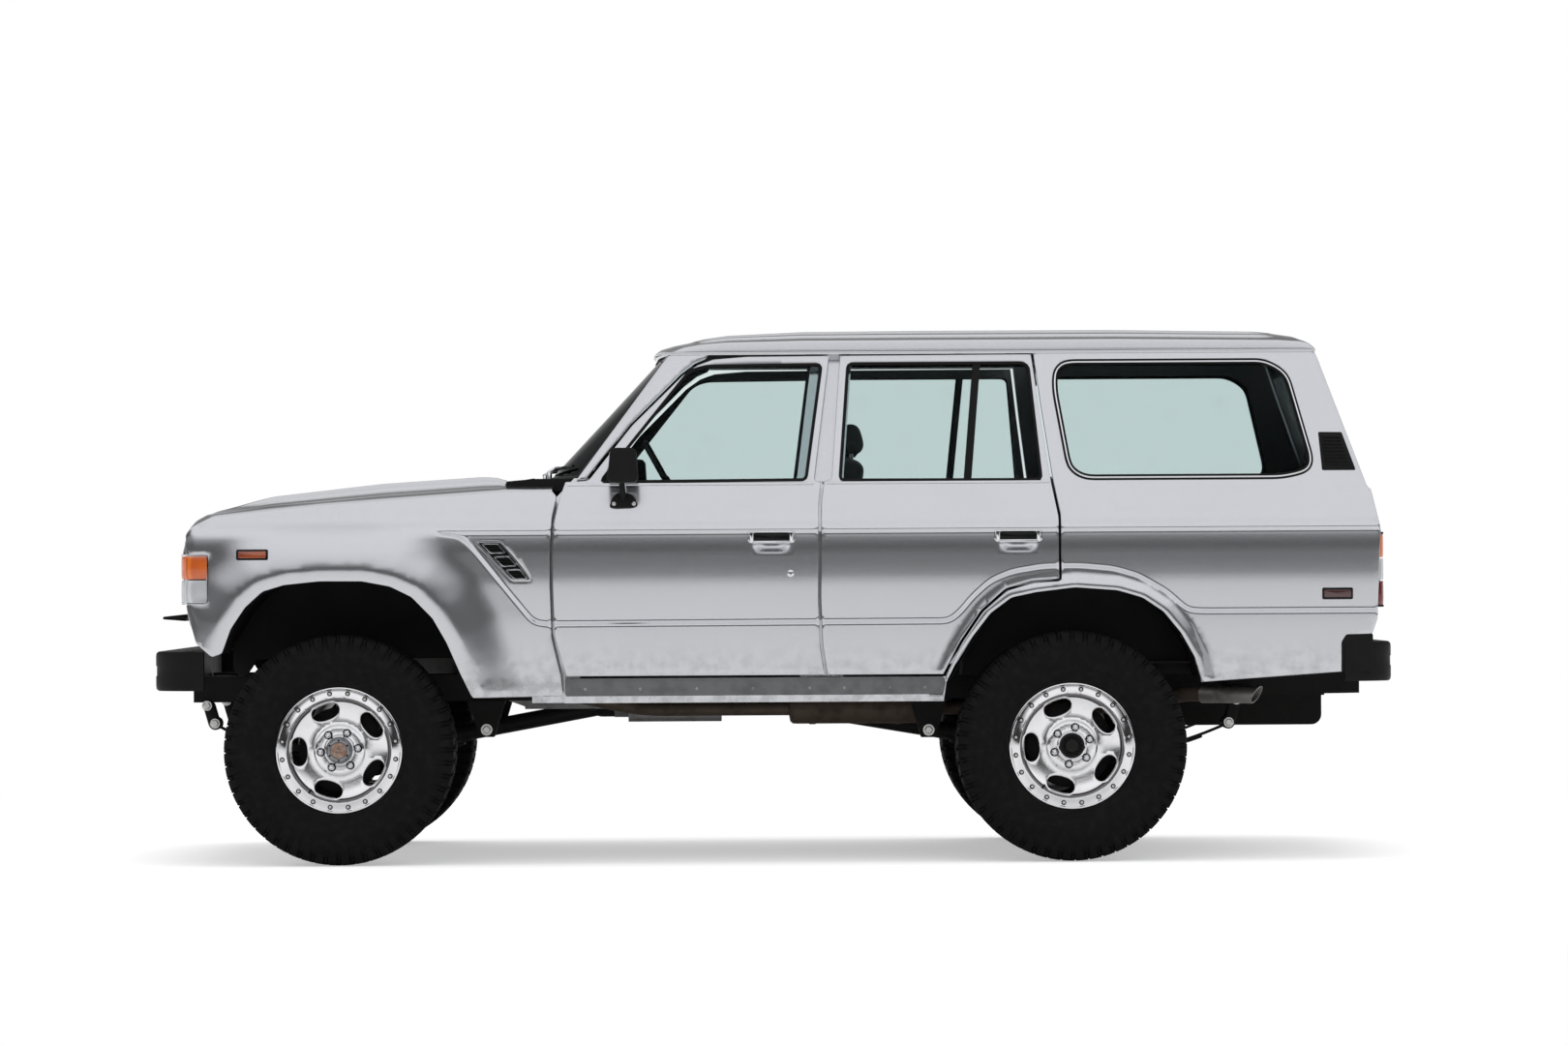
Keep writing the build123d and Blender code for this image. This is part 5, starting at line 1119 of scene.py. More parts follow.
class ESTATE_OT_stage(bpy.types.Operator):
    """Set the floor, the lights and the camera"""
    bl_idname = "estate.stage"
    bl_label = "Stage"

    def execute(self, context):
        stage = context.scene.estate_stage
        scene = context.scene
        scene.view_settings.view_transform = "Standard"
        floor = Finish("studio_floor", Roughness=0.9)
        floor.put("Specular IOR Level", 0.0)
        x, y = floor.axes()[:2]
        floor.put("Base Color", floor.colours(floor.noise(0.4, 2.0), rgb(0.86, 0.86, 0.86),
                rgb(0.88, 0.88, 0.88)))
        seen = floor.seen()
        far = (x * x * 0.25 + y * y * 0.30) ** 0.5
        glow = floor.node("ShaderNodeEmission", {}, {"Color": rgb(1, 1, 1)})
        add = floor.node("ShaderNodeEmission", {},
                         {"Color": rgb(stage.floor_glow, stage.floor_glow, stage.floor_glow)})
        lit = floor.node("ShaderNodeAddShader", {}, [Signal(floor, floor.shader.outputs[0]), add])
        near = floor.node("ShaderNodeMixShader", {}, [seen, Signal(floor, floor.shader.outputs[0]), lit])
        ends = floor.node("ShaderNodeMixShader", {}, [far.between(1.6, 3.4) * seen, near, glow])
        reach = (x * x + y * y) ** 0.5
        mirrored = reach.between(2.4, 4.6) * (1.0 - reach.between(13.0, 24.0))
        mirrored = mirrored * floor.node("ShaderNodeLightPath", output="Is Glossy Ray")
        ends = floor.node("ShaderNodeMixShader", {}, [mirrored * 0.72, ends, glow])
        floor.surface(ends)
        mesh = bpy.data.meshes.new("floor")
        reach = 60.0
        mesh.from_pydata([(-reach, -reach, 0), (reach, -reach, 0), (reach, reach, 0), (-reach, reach, 0)], [],
                         [(0, 1, 2, 3)])
        mesh.materials.append(floor.material)
        ground = bpy.data.objects.new("floor", mesh)
        scene.collection.objects.link(ground)
        world = bpy.data.worlds.new("studio")
        scene.world = world
        world.use_nodes = True
        sky = Graph(world.node_tree)
        toward = sky.node("ShaderNodeTexCoord", output="Generated")
        high, across = (sky.node("ShaderNodeSeparateXYZ", {}, [toward], k) for k in (2, 1))
        halves = []
        for stops in (NEAR_SKY, FAR_SKY):
            half = sky.node("ShaderNodeValToRGB", {}, {"Fac": high})
            ramp = half.socket.node.color_ramp
            while len(ramp.elements) < len(stops):
                ramp.elements.new(0.5)
            for element, (at, tone) in zip(ramp.elements, stops):
                element.position, element.color = at, rgb(tone, tone, tone * 1.02)
            halves.append(half)
        turned = sky.node("ShaderNodeMapRange", {}, {"Value": across, "From Min": -0.25, "From Max": 0.25})
        tones = sky.colours(sky.seen(), sky.colours(turned, *halves), rgb(1, 1, 1))
        background = sky.tree.nodes["Background"]
        sky.fill(background.inputs["Color"], tones)
        background.inputs["Strength"].default_value = 1.0
        for name, place, target, width, height, power in (
            ("overhead", (0.0, 0.0, 6.0), (0.0, 0.0, 0.8), 8.0, 4.0, stage.light),
            ("near_side", (0.0, -9.0, 5.0), (0.0, 0.0, 0.9), 10.0, 3.0, stage.light * 0.22),
            ("far_side", (0.0, 9.0, 5.0), (0.0, 0.0, 0.8), 10.0, 3.0, stage.light * 0.22),
        ):
            lamp = bpy.data.lights.new(name, "AREA")
            lamp.shape, lamp.size, lamp.size_y, lamp.energy = "RECTANGLE", width, height, power
            holder = bpy.data.objects.new(name, lamp)
            holder.location = place
            holder.visible_glossy = False
            holder.rotation_euler = (Vector(target) - Vector(place)).to_track_quat("-Z", "Y").to_euler()
            scene.collection.objects.link(holder)
        eye = bpy.data.cameras.new("camera")
        eye.lens, eye.sensor_width, eye.clip_end = stage.lens, 36.0, 200.0
        camera = bpy.data.objects.new("camera", eye)
        turn = (Matrix.Rotation(stage.yaw, 4, "Z") @ Matrix.Rotation(math.pi / 2 + stage.pitch, 4, "X")
                @ Matrix.Rotation(stage.roll, 4, "Z"))
        camera.matrix_world = Matrix.Translation((stage.camera_x, stage.camera_y, stage.camera_z)) @ turn
        scene.collection.objects.link(camera)
        scene.camera = camera
        return {"FINISHED"}


def wing_half(x, z):
    """The side's half width, drawn in by a quarter circle of 60 mm at the front corner."""
    reach = np.clip(-2140 - x, 0, 56)
    return side_half(x, z) - (60 - np.sqrt(3600 - reach ** 2))


def wing_top_z(x):
    return np.interp(x, *np.array(WING[:6]).T)


def bonnet_edge_z(x):
    return np.interp(x, *np.array(BONNET_ROWS).T[:2])


VENT = [(-1110, 1204), (-1019, 1204), (-901, 1058), (-973, 1058)]


def skewed(corners, a0, a1, d0, d1):
    """The part of a four-cornered outline between shares along its top and shares down its sides."""
    c = as_loop(corners)

    def at(a, d):
        return (c[0] * (1 - a) + c[1] * a) * (1 - d) + (c[3] * (1 - a) + c[2] * a) * d
    return [at(a0, d0), at(a1, d0), at(a1, d1), at(a0, d1)]


class ESTATE_OT_wings(bpy.types.Operator):
    """Make the front wings with arch flares, lamp openings and slotted vents"""
    bl_idname = "estate.wings"
    bl_label = "Front wings"

    def execute(self, context):
        outline = WING[:-1] + [(-2183, 951), (-2187, 978), (-2102, 978), (-2102, 1160), (-2188, 1160)]
        slots = context.scene.estate_body.vent_slots
        batch, trim = Batch(), Batch()
        for sign in SIDES.values():
            place = side_place(sign)
            guides = crease_guides() + arch_guides(WING_ARCH, (8, 18, 34, 52, 76))
            batch.add(panel(outline, [(skewed(VENT, 0.03, 0.97, 0.03, 0.97), 4)], wing_half, place,
                            (0, sign, 0), wall=9, roll=3.5,
                            step=17, corner=5, guides=guides))
            x = np.linspace(-2180, -826, 120)
            t = np.linspace(0, 1, 16)
            top = wing_top_z(x)
            outer = wing_half(x, top) - 4.5
            edge = bonnet_edge_z(np.minimum(x, BONNET_REAR_X)) + np.where(x > BONNET_REAR_X, 3, 0)
            y = outer[:, None] * (1 - t) + 694 * t
            z = top[:, None] * (1 - smooth(t)) + edge[:,
                    None] * smooth(t) + 7 * np.sin(np.minimum(t * 3, 1) * np.pi / 2)[None]
            skin = np.stack([x[:, None] + 0 * y, sign * y, z], axis=-1)
            skin[:, 0, 2] = top - 1
            down = skin[:, -1:].copy()
            down[..., 2] -= 22
            skin = np.concatenate([skin, down], axis=1)
            under = skin[:, ::-1].copy()
            under[..., 2] -= 5
            ring = np.concatenate([skin, under], axis=1)
            batch.add(swept(ring))
            base = side_place(sign, wing_half)
            trim.add(strip(eased_loop(VENT, 5, 9), bar_profile(8, 5, -3), base))
            for k in range(slots):
                share = k / slots
                part = skewed(VENT, 0.16, 0.84, share + 0.055, share + 1 / slots - 0.035)
                trim.add(strip(eased_loop(part, 3, 8), bar_profile(5, 5.5, -4), base))
                for blade in (0.3, 0.6, 0.9):
                    inner = skewed(part, 0.04, 0.96, blade - 0.18, blade)
                    trim.block(rounded(inner, 2), -14 + 3 * blade, -5, base, 1.5, 2, kind=1)
            trim.block(rounded(skewed(VENT, 0.01, 0.99, 0.01, 0.99), 4), -20, -12, base, 1, 2, kind=1)
        wings = batch.build("wing_skins", "paint", "chassis", "silver_paint", sharp=50)
        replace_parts(wings, "front_wings")
        trim.build("wing_vents", "chrome mould", "chassis", "chrome", sharp=35)
        return {"FINISHED"}


HANDLES = {"front": (-88, 71), "rear": (830, 992)}


def handle_parts(start, end, sign):
    """The pulled-in bowl under the handle, its bezel and the pull bar, each on the side's surface."""
    batch = Batch()
    base = side_place(sign, side_half)
    bowl_outline = rounded([(start + 10, 1232), (end - 10, 1232), (end - 10, 1176), (end - 30, 1160),
                            (start + 30, 1160),
                            (start + 10, 1176)], 16)
    loop = resampled(bowl_outline, 6)
    middle = loop.mean(axis=0)
    shrink = np.linspace(1, 0, 8)
    rings = [base(middle[0] + (loop[:, 0] - middle[0]) * s, middle[1] + (loop[:, 1] - middle[1]) * s,
                  np.full(len(loop), -15 * math.sin(min((1 - s) * 1.9, 1) * math.pi / 2) - 0.5))
             for s in shrink]
    rings = np.array(rings)
    faces = grid_faces(len(shrink), len(loop), wrap_columns=True).tolist()
    flat = rings.reshape(-1, 3)
    a, b, c = (flat[[f[k] for f in faces]] for k in range(3))
    if float(np.sum(np.cross(b - a, c - a)[:, 1])) * sign < 0:
        faces = [f[::-1] for f in faces]
    batch.add((flat, faces))
    frame_loop = eased_loop([(start - 4, 1196), (end + 4, 1196), (end + 6, 1234), (start - 6, 1234)], 5, 7)
    batch.add(strip(frame_loop, bar_profile(7, 6, -3), base), 1)
    batch.block(rounded(rect(start + 12, 1201, end - 12, 1229), 4), -9, 1.5, base, 2, kind=2)
    for x in (start - 2, end - 13):
        batch.block(rounded(rect(x, 1196, x + 15, 1233), 3), -6, 4, base, 1.5, kind=1)
    batch.block(rounded(rect(start + 10, 1192, end - 10, 1201), 3), -6, 6, base, 2, kind=1)
    return batch, bowl_outline


def mirror_parts(sign):
    """The door mirror: a rounded shell with its glass, a stalk and a foot with two screws."""
    batch = Batch()
    place = side_place(sign)
    t = np.linspace(0, 1, 15)
    half = (1 - np.abs(t * 2 - 1) ** 9) ** 0.5
    head = []
    for share, y in zip(half, 874 + (0.5 - 0.5 * np.cos(t * np.pi)) * 172):
        loop = rounded([(-616, 1418), (-603, 1547), (-508, 1547), (-502, 1418)], 22)
        middle = loop.mean(axis=0)
        loop = middle + (loop - middle) * (0.84 + 0.16 * share)
        head.append(place(loop[:, 0], loop[:, 1], np.full(len(loop), y)))
    batch.add(swept(np.array(head)))
    glass = rounded([(892, 1436), (1030, 1436), (1026, 1532), (896, 1532)], 18)
    face = lambda y, z, h: columns(-511 + h + (1490 - z) * 0.06, sign * y, z)
    batch.block(glass, -6, 3, face, 2, kind=2)
    rim = resampled(glass, 9)
    batch.add(strip(rim, bar_profile(7, 6, 0), face))
    path = np.array([(-560, 846, 1352), (-561, 862, 1372), (-562, 878, 1402), (-562, 894, 1430),
                     (-562, 912, 1446)])
    batch.add(tube(path * (1, sign, 1), [15, 13, 12, 13, 15], 14))
    base = side_place(sign, side_half)
    foot = rounded([(-612, 1331), (-592, 1326), (-524, 1328), (-504, 1336), (-520, 1372), (-544, 1384),
                    (-582, 1384),
                    (-600, 1366)], 9)
    batch.block(foot, -4, 13, base, 4, 4)
    for x in (-594, -520):
        batch.block(circle(7.5, 16, (x, 1342)), 10, 15, base, 1.5, 2, kind=1)
    return batch


class ESTATE_OT_doors(bpy.types.Operator):
    """Make the door skins with window frames, handles, locks, mirrors and mouldings"""
    bl_idname = "estate.doors"
    bl_label = "Doors"

    def execute(self, context):
        kinds = "paint chrome gloss seal"
        for end, outline, window in (("front", FRONT_DOOR, FRONT_WINDOW), ("rear", REAR_DOOR, REAR_WINDOW)):
            for side, sign in SIDES.items():
                base = side_place(sign, side_half)
                start, finish_x = HANDLES[end]
                batch, bowl = handle_parts(start, finish_x, sign)
                guides = crease_guides() + (arch_guides(QUARTER_ARCH, (10, 24, 42, 60)) if end == "rear"
                        else [])
                holes = [(window, 12), (bowl, 0.1)]
                batch.add(side_panel(sign, outline, holes, corner=8, guides=guides))
                seal = eased_loop(window, 14, 10)
                batch.add(strip(seal, [(-4, -14), (-4, -2), (0, 1.2), (7, 1.2), (9, -1), (9, -14)], base), 3)
                belt = resampled(as_loop([(-768, 1415), (151, 1415)] if end == "front"
                        else [(196, 1417), (1032, 1417)]), 20, False)
                batch.add(strip(belt, bar_profile(9, 6.5, -1), base, closed=False), 1)
                if end == "front":
                    batch.block(circle(13.5, 24, (62, 1079)), -2, 3.5, base, 1.5, kind=1)
                    batch.block(circle(9, 20, (62, 1079)), 2, 5.5, base, 1, kind=1)
                    batch.block(rounded(rect(59.8, 1073, 64.2, 1085), 1, 2), 5, 6.2, base, 0.3, 2, kind=2)
                else:
                    bar = [(752, 1872), (781, 1872), (739, 1422), (710, 1422)]
                    batch.block(rounded(bar, 3), -14, -1, base, 2, kind=3)
                batch.build(f"skin_{end}_{side}", kinds, f"door_{end}_{side}_body", "silver_paint", sharp=62)
                if end == "front":
                    mirror_parts(sign).build(f"mirror_{side}", "mould bright chrome",
                                             f"door_front_{side}_body", "trim", sharp=38)
        return {"FINISHED"}


class ESTATE_OT_sides(bpy.types.Operator):
    """Make the rear quarters, rockers and windscreen pillars, with window seals and drip rails"""
    bl_idname = "estate.sides"
    bl_label = "Body sides"

    def execute(self, context):
        kinds = "paint seal chrome mould steel sill"
        for side, sign in SIDES.items():
            base = side_place(sign, side_half)
            batch = Batch()
            guides = crease_guides() + arch_guides(QUARTER_ARCH, (10, 24, 42, 60))
            batch.add(side_panel(sign, QUARTER, [(QUARTER_WINDOW, 34)], corner=8, guides=guides, roll=4))
            # The rocker panel takes the darkened sill finish, painted shade for the shadow under the side
            batch.add(side_panel(sign, ROCKER, [], corner=3, surface=sill_half), 5)
            batch.add(side_panel(sign, SCREEN_PILLAR, [], corner=3))
            ring = eased_loop(QUARTER_WINDOW, 40, 12)
            batch.add(strip(ring, [(-10, -14), (-10, 0), (-6, 4), (6, 4.5), (11, 3), (12, -3), (12, -14)],
                            base), 1)
            batch.add(strip(ring, [(-2, 3), (-2, 6), (-0.5, 7), (2.5, 7), (4, 6), (4, 3)], base), 2)
            drip = resampled(as_loop([(-420, 1906), (2040, 1906)]), 40, False)
            batch.add(strip(drip, [(-5, -10), (-5, 10), (-3, 13), (0, 12), (1, 6), (5, 4), (5, -10)], base,
                            False))
            for x in (-705, -500, -290, -80, 130, 260, 430, 560):
                batch.block(circle(6.5, 14, (x, 652)), -3, 1.5, base, 1.5, 2, kind=4)
            flange = resampled(as_loop([(-780, 616), (628, 616)]), 60, False)
            batch.add(strip(flange, bar_profile(26, 5, -16), base, False))
            # A thin black seal-rubber patch on the quarter at the rear bumper's end: painted shadow for the
            # dark gap behind the bumper
            bumper_gap_shade = [(2112, 700), (2112, 812), (2130, 840), (2230, 842), (2230, 700)]
            batch.block(rounded(bumper_gap_shade, 8), -8, 1.6, base, 1.2, kind=1)
            louvre = [(2040, 1597), (2128, 1596), (2176, 1453), (2050, 1453)]
            batch.block(rounded(louvre, 6), -4, 3.5, base, 2, kind=3)
            for k in range(9):
                share = 0.10 + 0.09 * k
                blade = skewed(louvre, 0.10, 0.86, share, share + 0.05)
                batch.block(rounded(blade, 2), 2, 7.5, base, 2, 2, kind=3)
            batch.build(f"quarter_{side}", kinds, "chassis", "silver_paint", sharp=62)
        return {"FINISHED"}


class ESTATE_OT_roof(bpy.types.Operator):
    """Make the roof skin with its raised middle, ribs and gutter edge"""
    bl_idname = "estate.roof"
    bl_label = "Roof"

    def execute(self, context):
        rib = context.scene.estate_body.flute_rise * 1000
        crown = np.array([(-456, 1925), (-430, 1944), (-380, 1958), (-300, 1974), (-167, 1994), (120, 2008),
                          (600, 2011), (1300, 2010), (1910, 1999), (1990, 1986), (2022, 1970), (2040, 1934)])
        edge = np.array([(-456, 1913), (-380, 1934), (-300, 1944), (-167, 1952), (120, 1957), (1300, 1957),
                         (1910, 1950), (1990, 1945), (2022, 1938), (2040, 1922)])

        def sheet_rings(inset):
            x = np.concatenate([np.linspace(-456, -300, 26), np.linspace(-290, 1900, 90),
                                np.linspace(1910, 2040, 26)])
            s = np.linspace(-1, 1, 121)
            grid_x, grid_s = np.meshgrid(x, s, indexing="ij")
            y = grid_s * (ROOF_HALF - inset)
            front = 64 * (grid_s ** 2) * smooth((-150 - grid_x) / 306)
            high, low = (np.interp(grid_x, *rows.T) for rows in (crown, edge))
            a = np.abs(y)
            shoulder = 1 - np.clip((a - ROOF_SHOULDER_Y) / (ROOF_HALF - ROOF_SHOULDER_Y), 0, 1) ** 2.2
            z_crown = low + (high - low) * (1 - (np.clip(a, 0, ROOF_SHOULDER_Y) / ROOF_SHOULDER_Y) ** 2.2)
            z = GUTTER_Z + (z_crown - GUTTER_Z) * shoulder
            ends = smooth((grid_x + 330) / 80) * (1 - smooth((grid_x - 1850) / 80))
            for at in (-510, -306, -102, 102, 306, 510):
                z = z + rib * ends * (smooth((34 - np.abs(y - at)) / 12))
            z = np.minimum(z, ROOF_TOP)
            return np.stack([grid_x + front, y, z - inset], axis=-1)

        outer, inner = sheet_rings(0), sheet_rings(9)
        inner[..., 2] = np.maximum(inner[..., 2], 1903)
        ring = np.concatenate([outer, inner[:, ::-1]], axis=1)
        batch = Batch()
        batch.add(swept(ring))
        roof = batch.build("roof_skin", "paint", "chassis", "silver_paint")
        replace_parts(roof, "roof")
        header = Batch()
        header.add(box((1996, -ROOF_SHOULDER_Y, 1896.5), (2034, ROOF_SHOULDER_Y, 1915), 4))
        y = np.linspace(-1, 1, 61)
        path = columns(-446 + 64 * y ** 2 + 8, y * ROOF_SHOULDER_Y, GUTTER_Z + 0 * y)
        header.add(tube(path, 10, 10))
        header.build("roof_headers", "paint", "chassis", "silver_paint")
        return {"FINISHED"}


class ESTATE_OT_bonnet(bpy.types.Operator):
    """Make the bonnet with its two long ridges and folded edges"""
    bl_idname = "estate.bonnet"
    bl_label = "Bonnet"

    def execute(self, context):
        rows = np.array(BONNET_ROWS)
        x = np.concatenate([np.linspace(-2180, -2110, 22), np.linspace(-2100, -1030, 90),
                            np.linspace(-1026, -1012, 5)])
        y = np.linspace(-BONNET_HALF, BONNET_HALF, 121)
        gx, gy = np.meshgrid(x, y, indexing="ij")
        edge, ridge = (np.mean([np.interp(gx + d, rows[:, 0], rows[:, k]) for d in (-20, -10, 0, 10, 20)],
                               axis=0)
                       for k in (1, 2))
        a = np.abs(gy)
        rise = ridge - edge
        z = edge + rise * 0.55 * (1 - np.clip((a - 480) / 206, 0, 1) ** 1.3)
        hump = smooth((505 - a) / 52) * (1 - smooth((395 - a) / 60) * 0.45)
        fade = smooth((gx + 2150) / 260) * (1 - 0.15 * smooth((gx + 1060) / 40))
        z = z + rise * 0.45 * hump * fade + rise * 0.16 * (1 - smooth((a - 300) / 200)) * (1 - fade)
        z = z - 10 * smooth((gx + 1044) / 30) * 0.4
        z = z + 2.5 * smooth((60 - np.abs(gy)) / 40) * fade
        outer = np.stack([gx, gy, z + 1], axis=-1)
        for k, drop in ((0, 2.5), (-1, 2.5)):
            outer[:, k, 2] -= drop
            outer[k, :, 2] -= drop
        inner = outer.copy()
        inner[..., 2] -= 18
        ring = np.concatenate([outer, inner[:, ::-1]], axis=1)
        batch = Batch()
        batch.add(swept(ring))
        bonnet = batch.build("bonnet_skin", "paint", "bonnet_body", "silver_paint", sharp=50)
        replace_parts(bonnet, "bonnet")
        return {"FINISHED"}


def wrap_place(path, sign):
    """Maps a length along a plan path, a height and a rise off it into the car."""
    path = as_loop(path)
    length, out = running_length(path), path_normals(path)

    def place(s, z, h):
        x, y, nx, ny = (np.interp(s, length, t) for t in (path[:, 0], path[:, 1], out[:, 0], out[:, 1]))
        return columns(x + nx * h, sign * (y + ny * h), z)
    return place, float(length[-1])


def turned_corner(points, radius):
    """An open plan path with its inner corners eased."""
    return resampled(eased_path(as_loop(points), radius, 14), 5, closed=False)


def lamp_block(batch, path, sign, bands, rim, facing, crown=3):
    """A wrapped lamp: lenses one above the other in a plated frame, each crowned across its height."""
    place, long = wrap_place(path, sign)
    low, high = min(b[0] for b in bands), max(b[1] for b in bands)
    for base, top, kind in bands:
        outline = rect(2, base, long - 2, top)
        lift = lambda s, z: crown * np.sin(np.pi * np.clip((z - base) / (top - base), 0, 1)) ** 0.5
        batch.add(panel(outline, [], lift, place, facing, wall=14, roll=2, step=7, corner=4), kind)
    frame_loop = eased_loop(rect(0, low - 3, long, high + 3), 7, 6)
    batch.add(strip(frame_loop, bar_profile(8, 7, -4), place), rim)


def bar_along(path, depth_at, section):
    """A bumper: a section of inward share and height carried along a plan path of varying depth."""
    inward = path_normals(path) * -np.sign(path[:, 0].mean())
    section = np.array(section)
    offset = section[None, :, :1] * depth_at[:, None, None]
    plan = path[:, None] + inward[:, None] * offset
    return swept(np.concatenate([plan, np.broadcast_to(section[None, :, 1:], plan[..., :1].shape)], axis=2))


def bumper_mesh(half_path, depths, section):
    """Both halves of a bumper from the path of its left half, which runs from the wheel to the middle."""
    half = resampled(turned_corner(half_path, 60), 12, closed=False)
    path = np.concatenate([half, half[-2::-1] * (1, -1)])
    reach = np.abs(path[:, 1])
    return bar_along(path, np.interp(reach, depths[0], depths[1]), section)


NOSE_X = np.array([(796, -2100), (832, -2152), (900, -2178), (951, -2188), (1100, -2197), (1168, -2203),
                   (1201, -2194), (1240, -2180)])


def nose_place(y, z, h):
    return columns(np.interp(z, *NOSE_X.T) - h, y, z)


class ESTATE_OT_nose(bpy.types.Operator):
    """Make the nose panel, grille, lamps, side markers and front bumper"""
    bl_idname = "estate.nose"
    bl_label = "Nose and lamps"

    def execute(self, context):
        place = nose_place
        outline = [(-828, 836), (828, 836), (828, 976), (714, 976), (714, 1160), (828, 1160), (826, 1238),
                   (-826, 1238), (-828, 1160), (-714, 1160), (-714, 976), (-828, 976)]
        holes = [(rect(-452, 968, 452, 1192), 14)]
        holes += [(circle(103, 60, (y, LAMP_Z)), 0.1) for y in (-LAMP_Y, LAMP_Y)]
        flute = lambda y, z: 3 * smooth((z - 1196) / 14) - 2 * smooth((900 - z) / 20)
        batch = Batch()
        batch.add(panel(outline, holes, flute, place, (-1, 0, 0), wall=10, roll=4, step=18, corner=8))
        skirt = [(-800, 798), (800, 798), (822, 834), (-822, 834)]
        batch.add(panel(skirt, [], lambda y, z: 0 * y - 3, place, (-1, 0, 0), wall=8, roll=3, step=22,
                        corner=6))
        skin = batch.build("nose_skin", "paint", "chassis", "silver_paint", sharp=38)
        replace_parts(skin, "nose_panel")
        grille = Batch()
        frame_loop = eased_loop(rect(-GRILLE_HALF, GRILLE_LOW, GRILLE_HALF, GRILLE_HIGH), 12, 14)
        grille.add(strip(frame_loop, bar_profile(20, 12, -14), place))
        for k in range(5):
            z = 986 + 188 * (k + 1) / 6
            grille.block(rounded(rect(-436, z - 5, 436, z + 5), 2), -10, 6, place, 3)
        for k in range(15):
            y = -434 + 868 * (k + 1) / 16
            grille.block(rounded(rect(y - 3, 984, y + 3, 1176), 1), -20, -6, place, 1.5, kind=1)
        core = rect(-440, 976, 440, 1184)
        grille.block(rounded(core, 4), -26, -22, place, 1, kind=2)
        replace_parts(grille.build("grille_bars", "gloss mould radiator", "chassis", "black_paint", sharp=38),
                    "grille")
        lamps, corners = Batch(), Batch()
        for sign in SIDES.values():
            middle = np.array((-2196, sign * LAMP_Y, LAMP_Z))
            ring = [(-8, 104), (6, 105), (12, 103), (14, 99), (12, 92), (4, 87), (-8, 86)]
            lamps.add(lathe(ring, middle, (-1, 0, 0), 64, closed=True), 1)
            lamps.add(lathe([(-4, 90), (5, 86), (9, 74), (13, 56), (16, 34), (17.5, 14), (18, 0.5)], middle,
                            (-1, 0, 0), 56))
            lamps.add(lathe([(1, 86), (-8, 74), (-20, 44), (-25, 16), (-25.5, 0.5)], middle, (-1, 0, 0), 40),
                      1)
            corner = turned_corner([(-2106, 873), (-2176, 871), (-2209, 828), (-2209, 718)], 34)
            lamp_block(corners, corner, sign, [(1070, 1156, 1), (984, 1066, 0)], 2, (-1, sign, 0))
            marker = side_place(sign, side_half)
            corners.block(rounded(rect(-1998, 1140, -1879, 1180), 7), -4, 4.5, marker, 2, kind=4)
            corners.block(rounded(rect(-1990.5, 1147, -1886.5, 1173), 5), 3, 9, marker, 3.5, 4, kind=3)
        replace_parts(lamps.build("head_lenses", "clear chrome", "chassis", "glass", sharp=30), "headlamps")
        kinds = "clear amber chrome dim_amber gloss"
        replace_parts(corners.build("corner_lenses", kinds, "chassis", "amber_lens", sharp=30), "corner_lamps")
        section = [(1, 662), (0.12, 654), (0.02, 660), (0, 672), (0, 706), (0.035, 711), (0.035, 744),
                   (0, 749), (0, 784), (0.02, 794), (0.10, 800), (1, 798)]
        path = [(-2122, -880), (-2222, -868), (-2308, -790), (-2319, -700), (-2319, 0)]
        depths = ([0, 740, 800, 890], [104, 98, 22, 14])
        bumper = Batch()
        bumper.add(bumper_mesh(path, depths, section))
        for sign in SIDES.values():
            ledge = rounded([(-2282, 921), (-2281, 931), (-2196, 940), (-2196, 914)], 4)
            bumper.block(ledge, 566, 796, side_place(sign), 6, 4)
        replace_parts(bumper.build("bumper_bar_front", "bumper", "chassis", "black_paint", sharp=38),
                    "front_bumper")
        return {"FINISHED"}


def rear_place(sign=1):
    return lambda y, z, h: columns(np.interp(z, *REAR_ROWS.T) + h, sign * y, z)


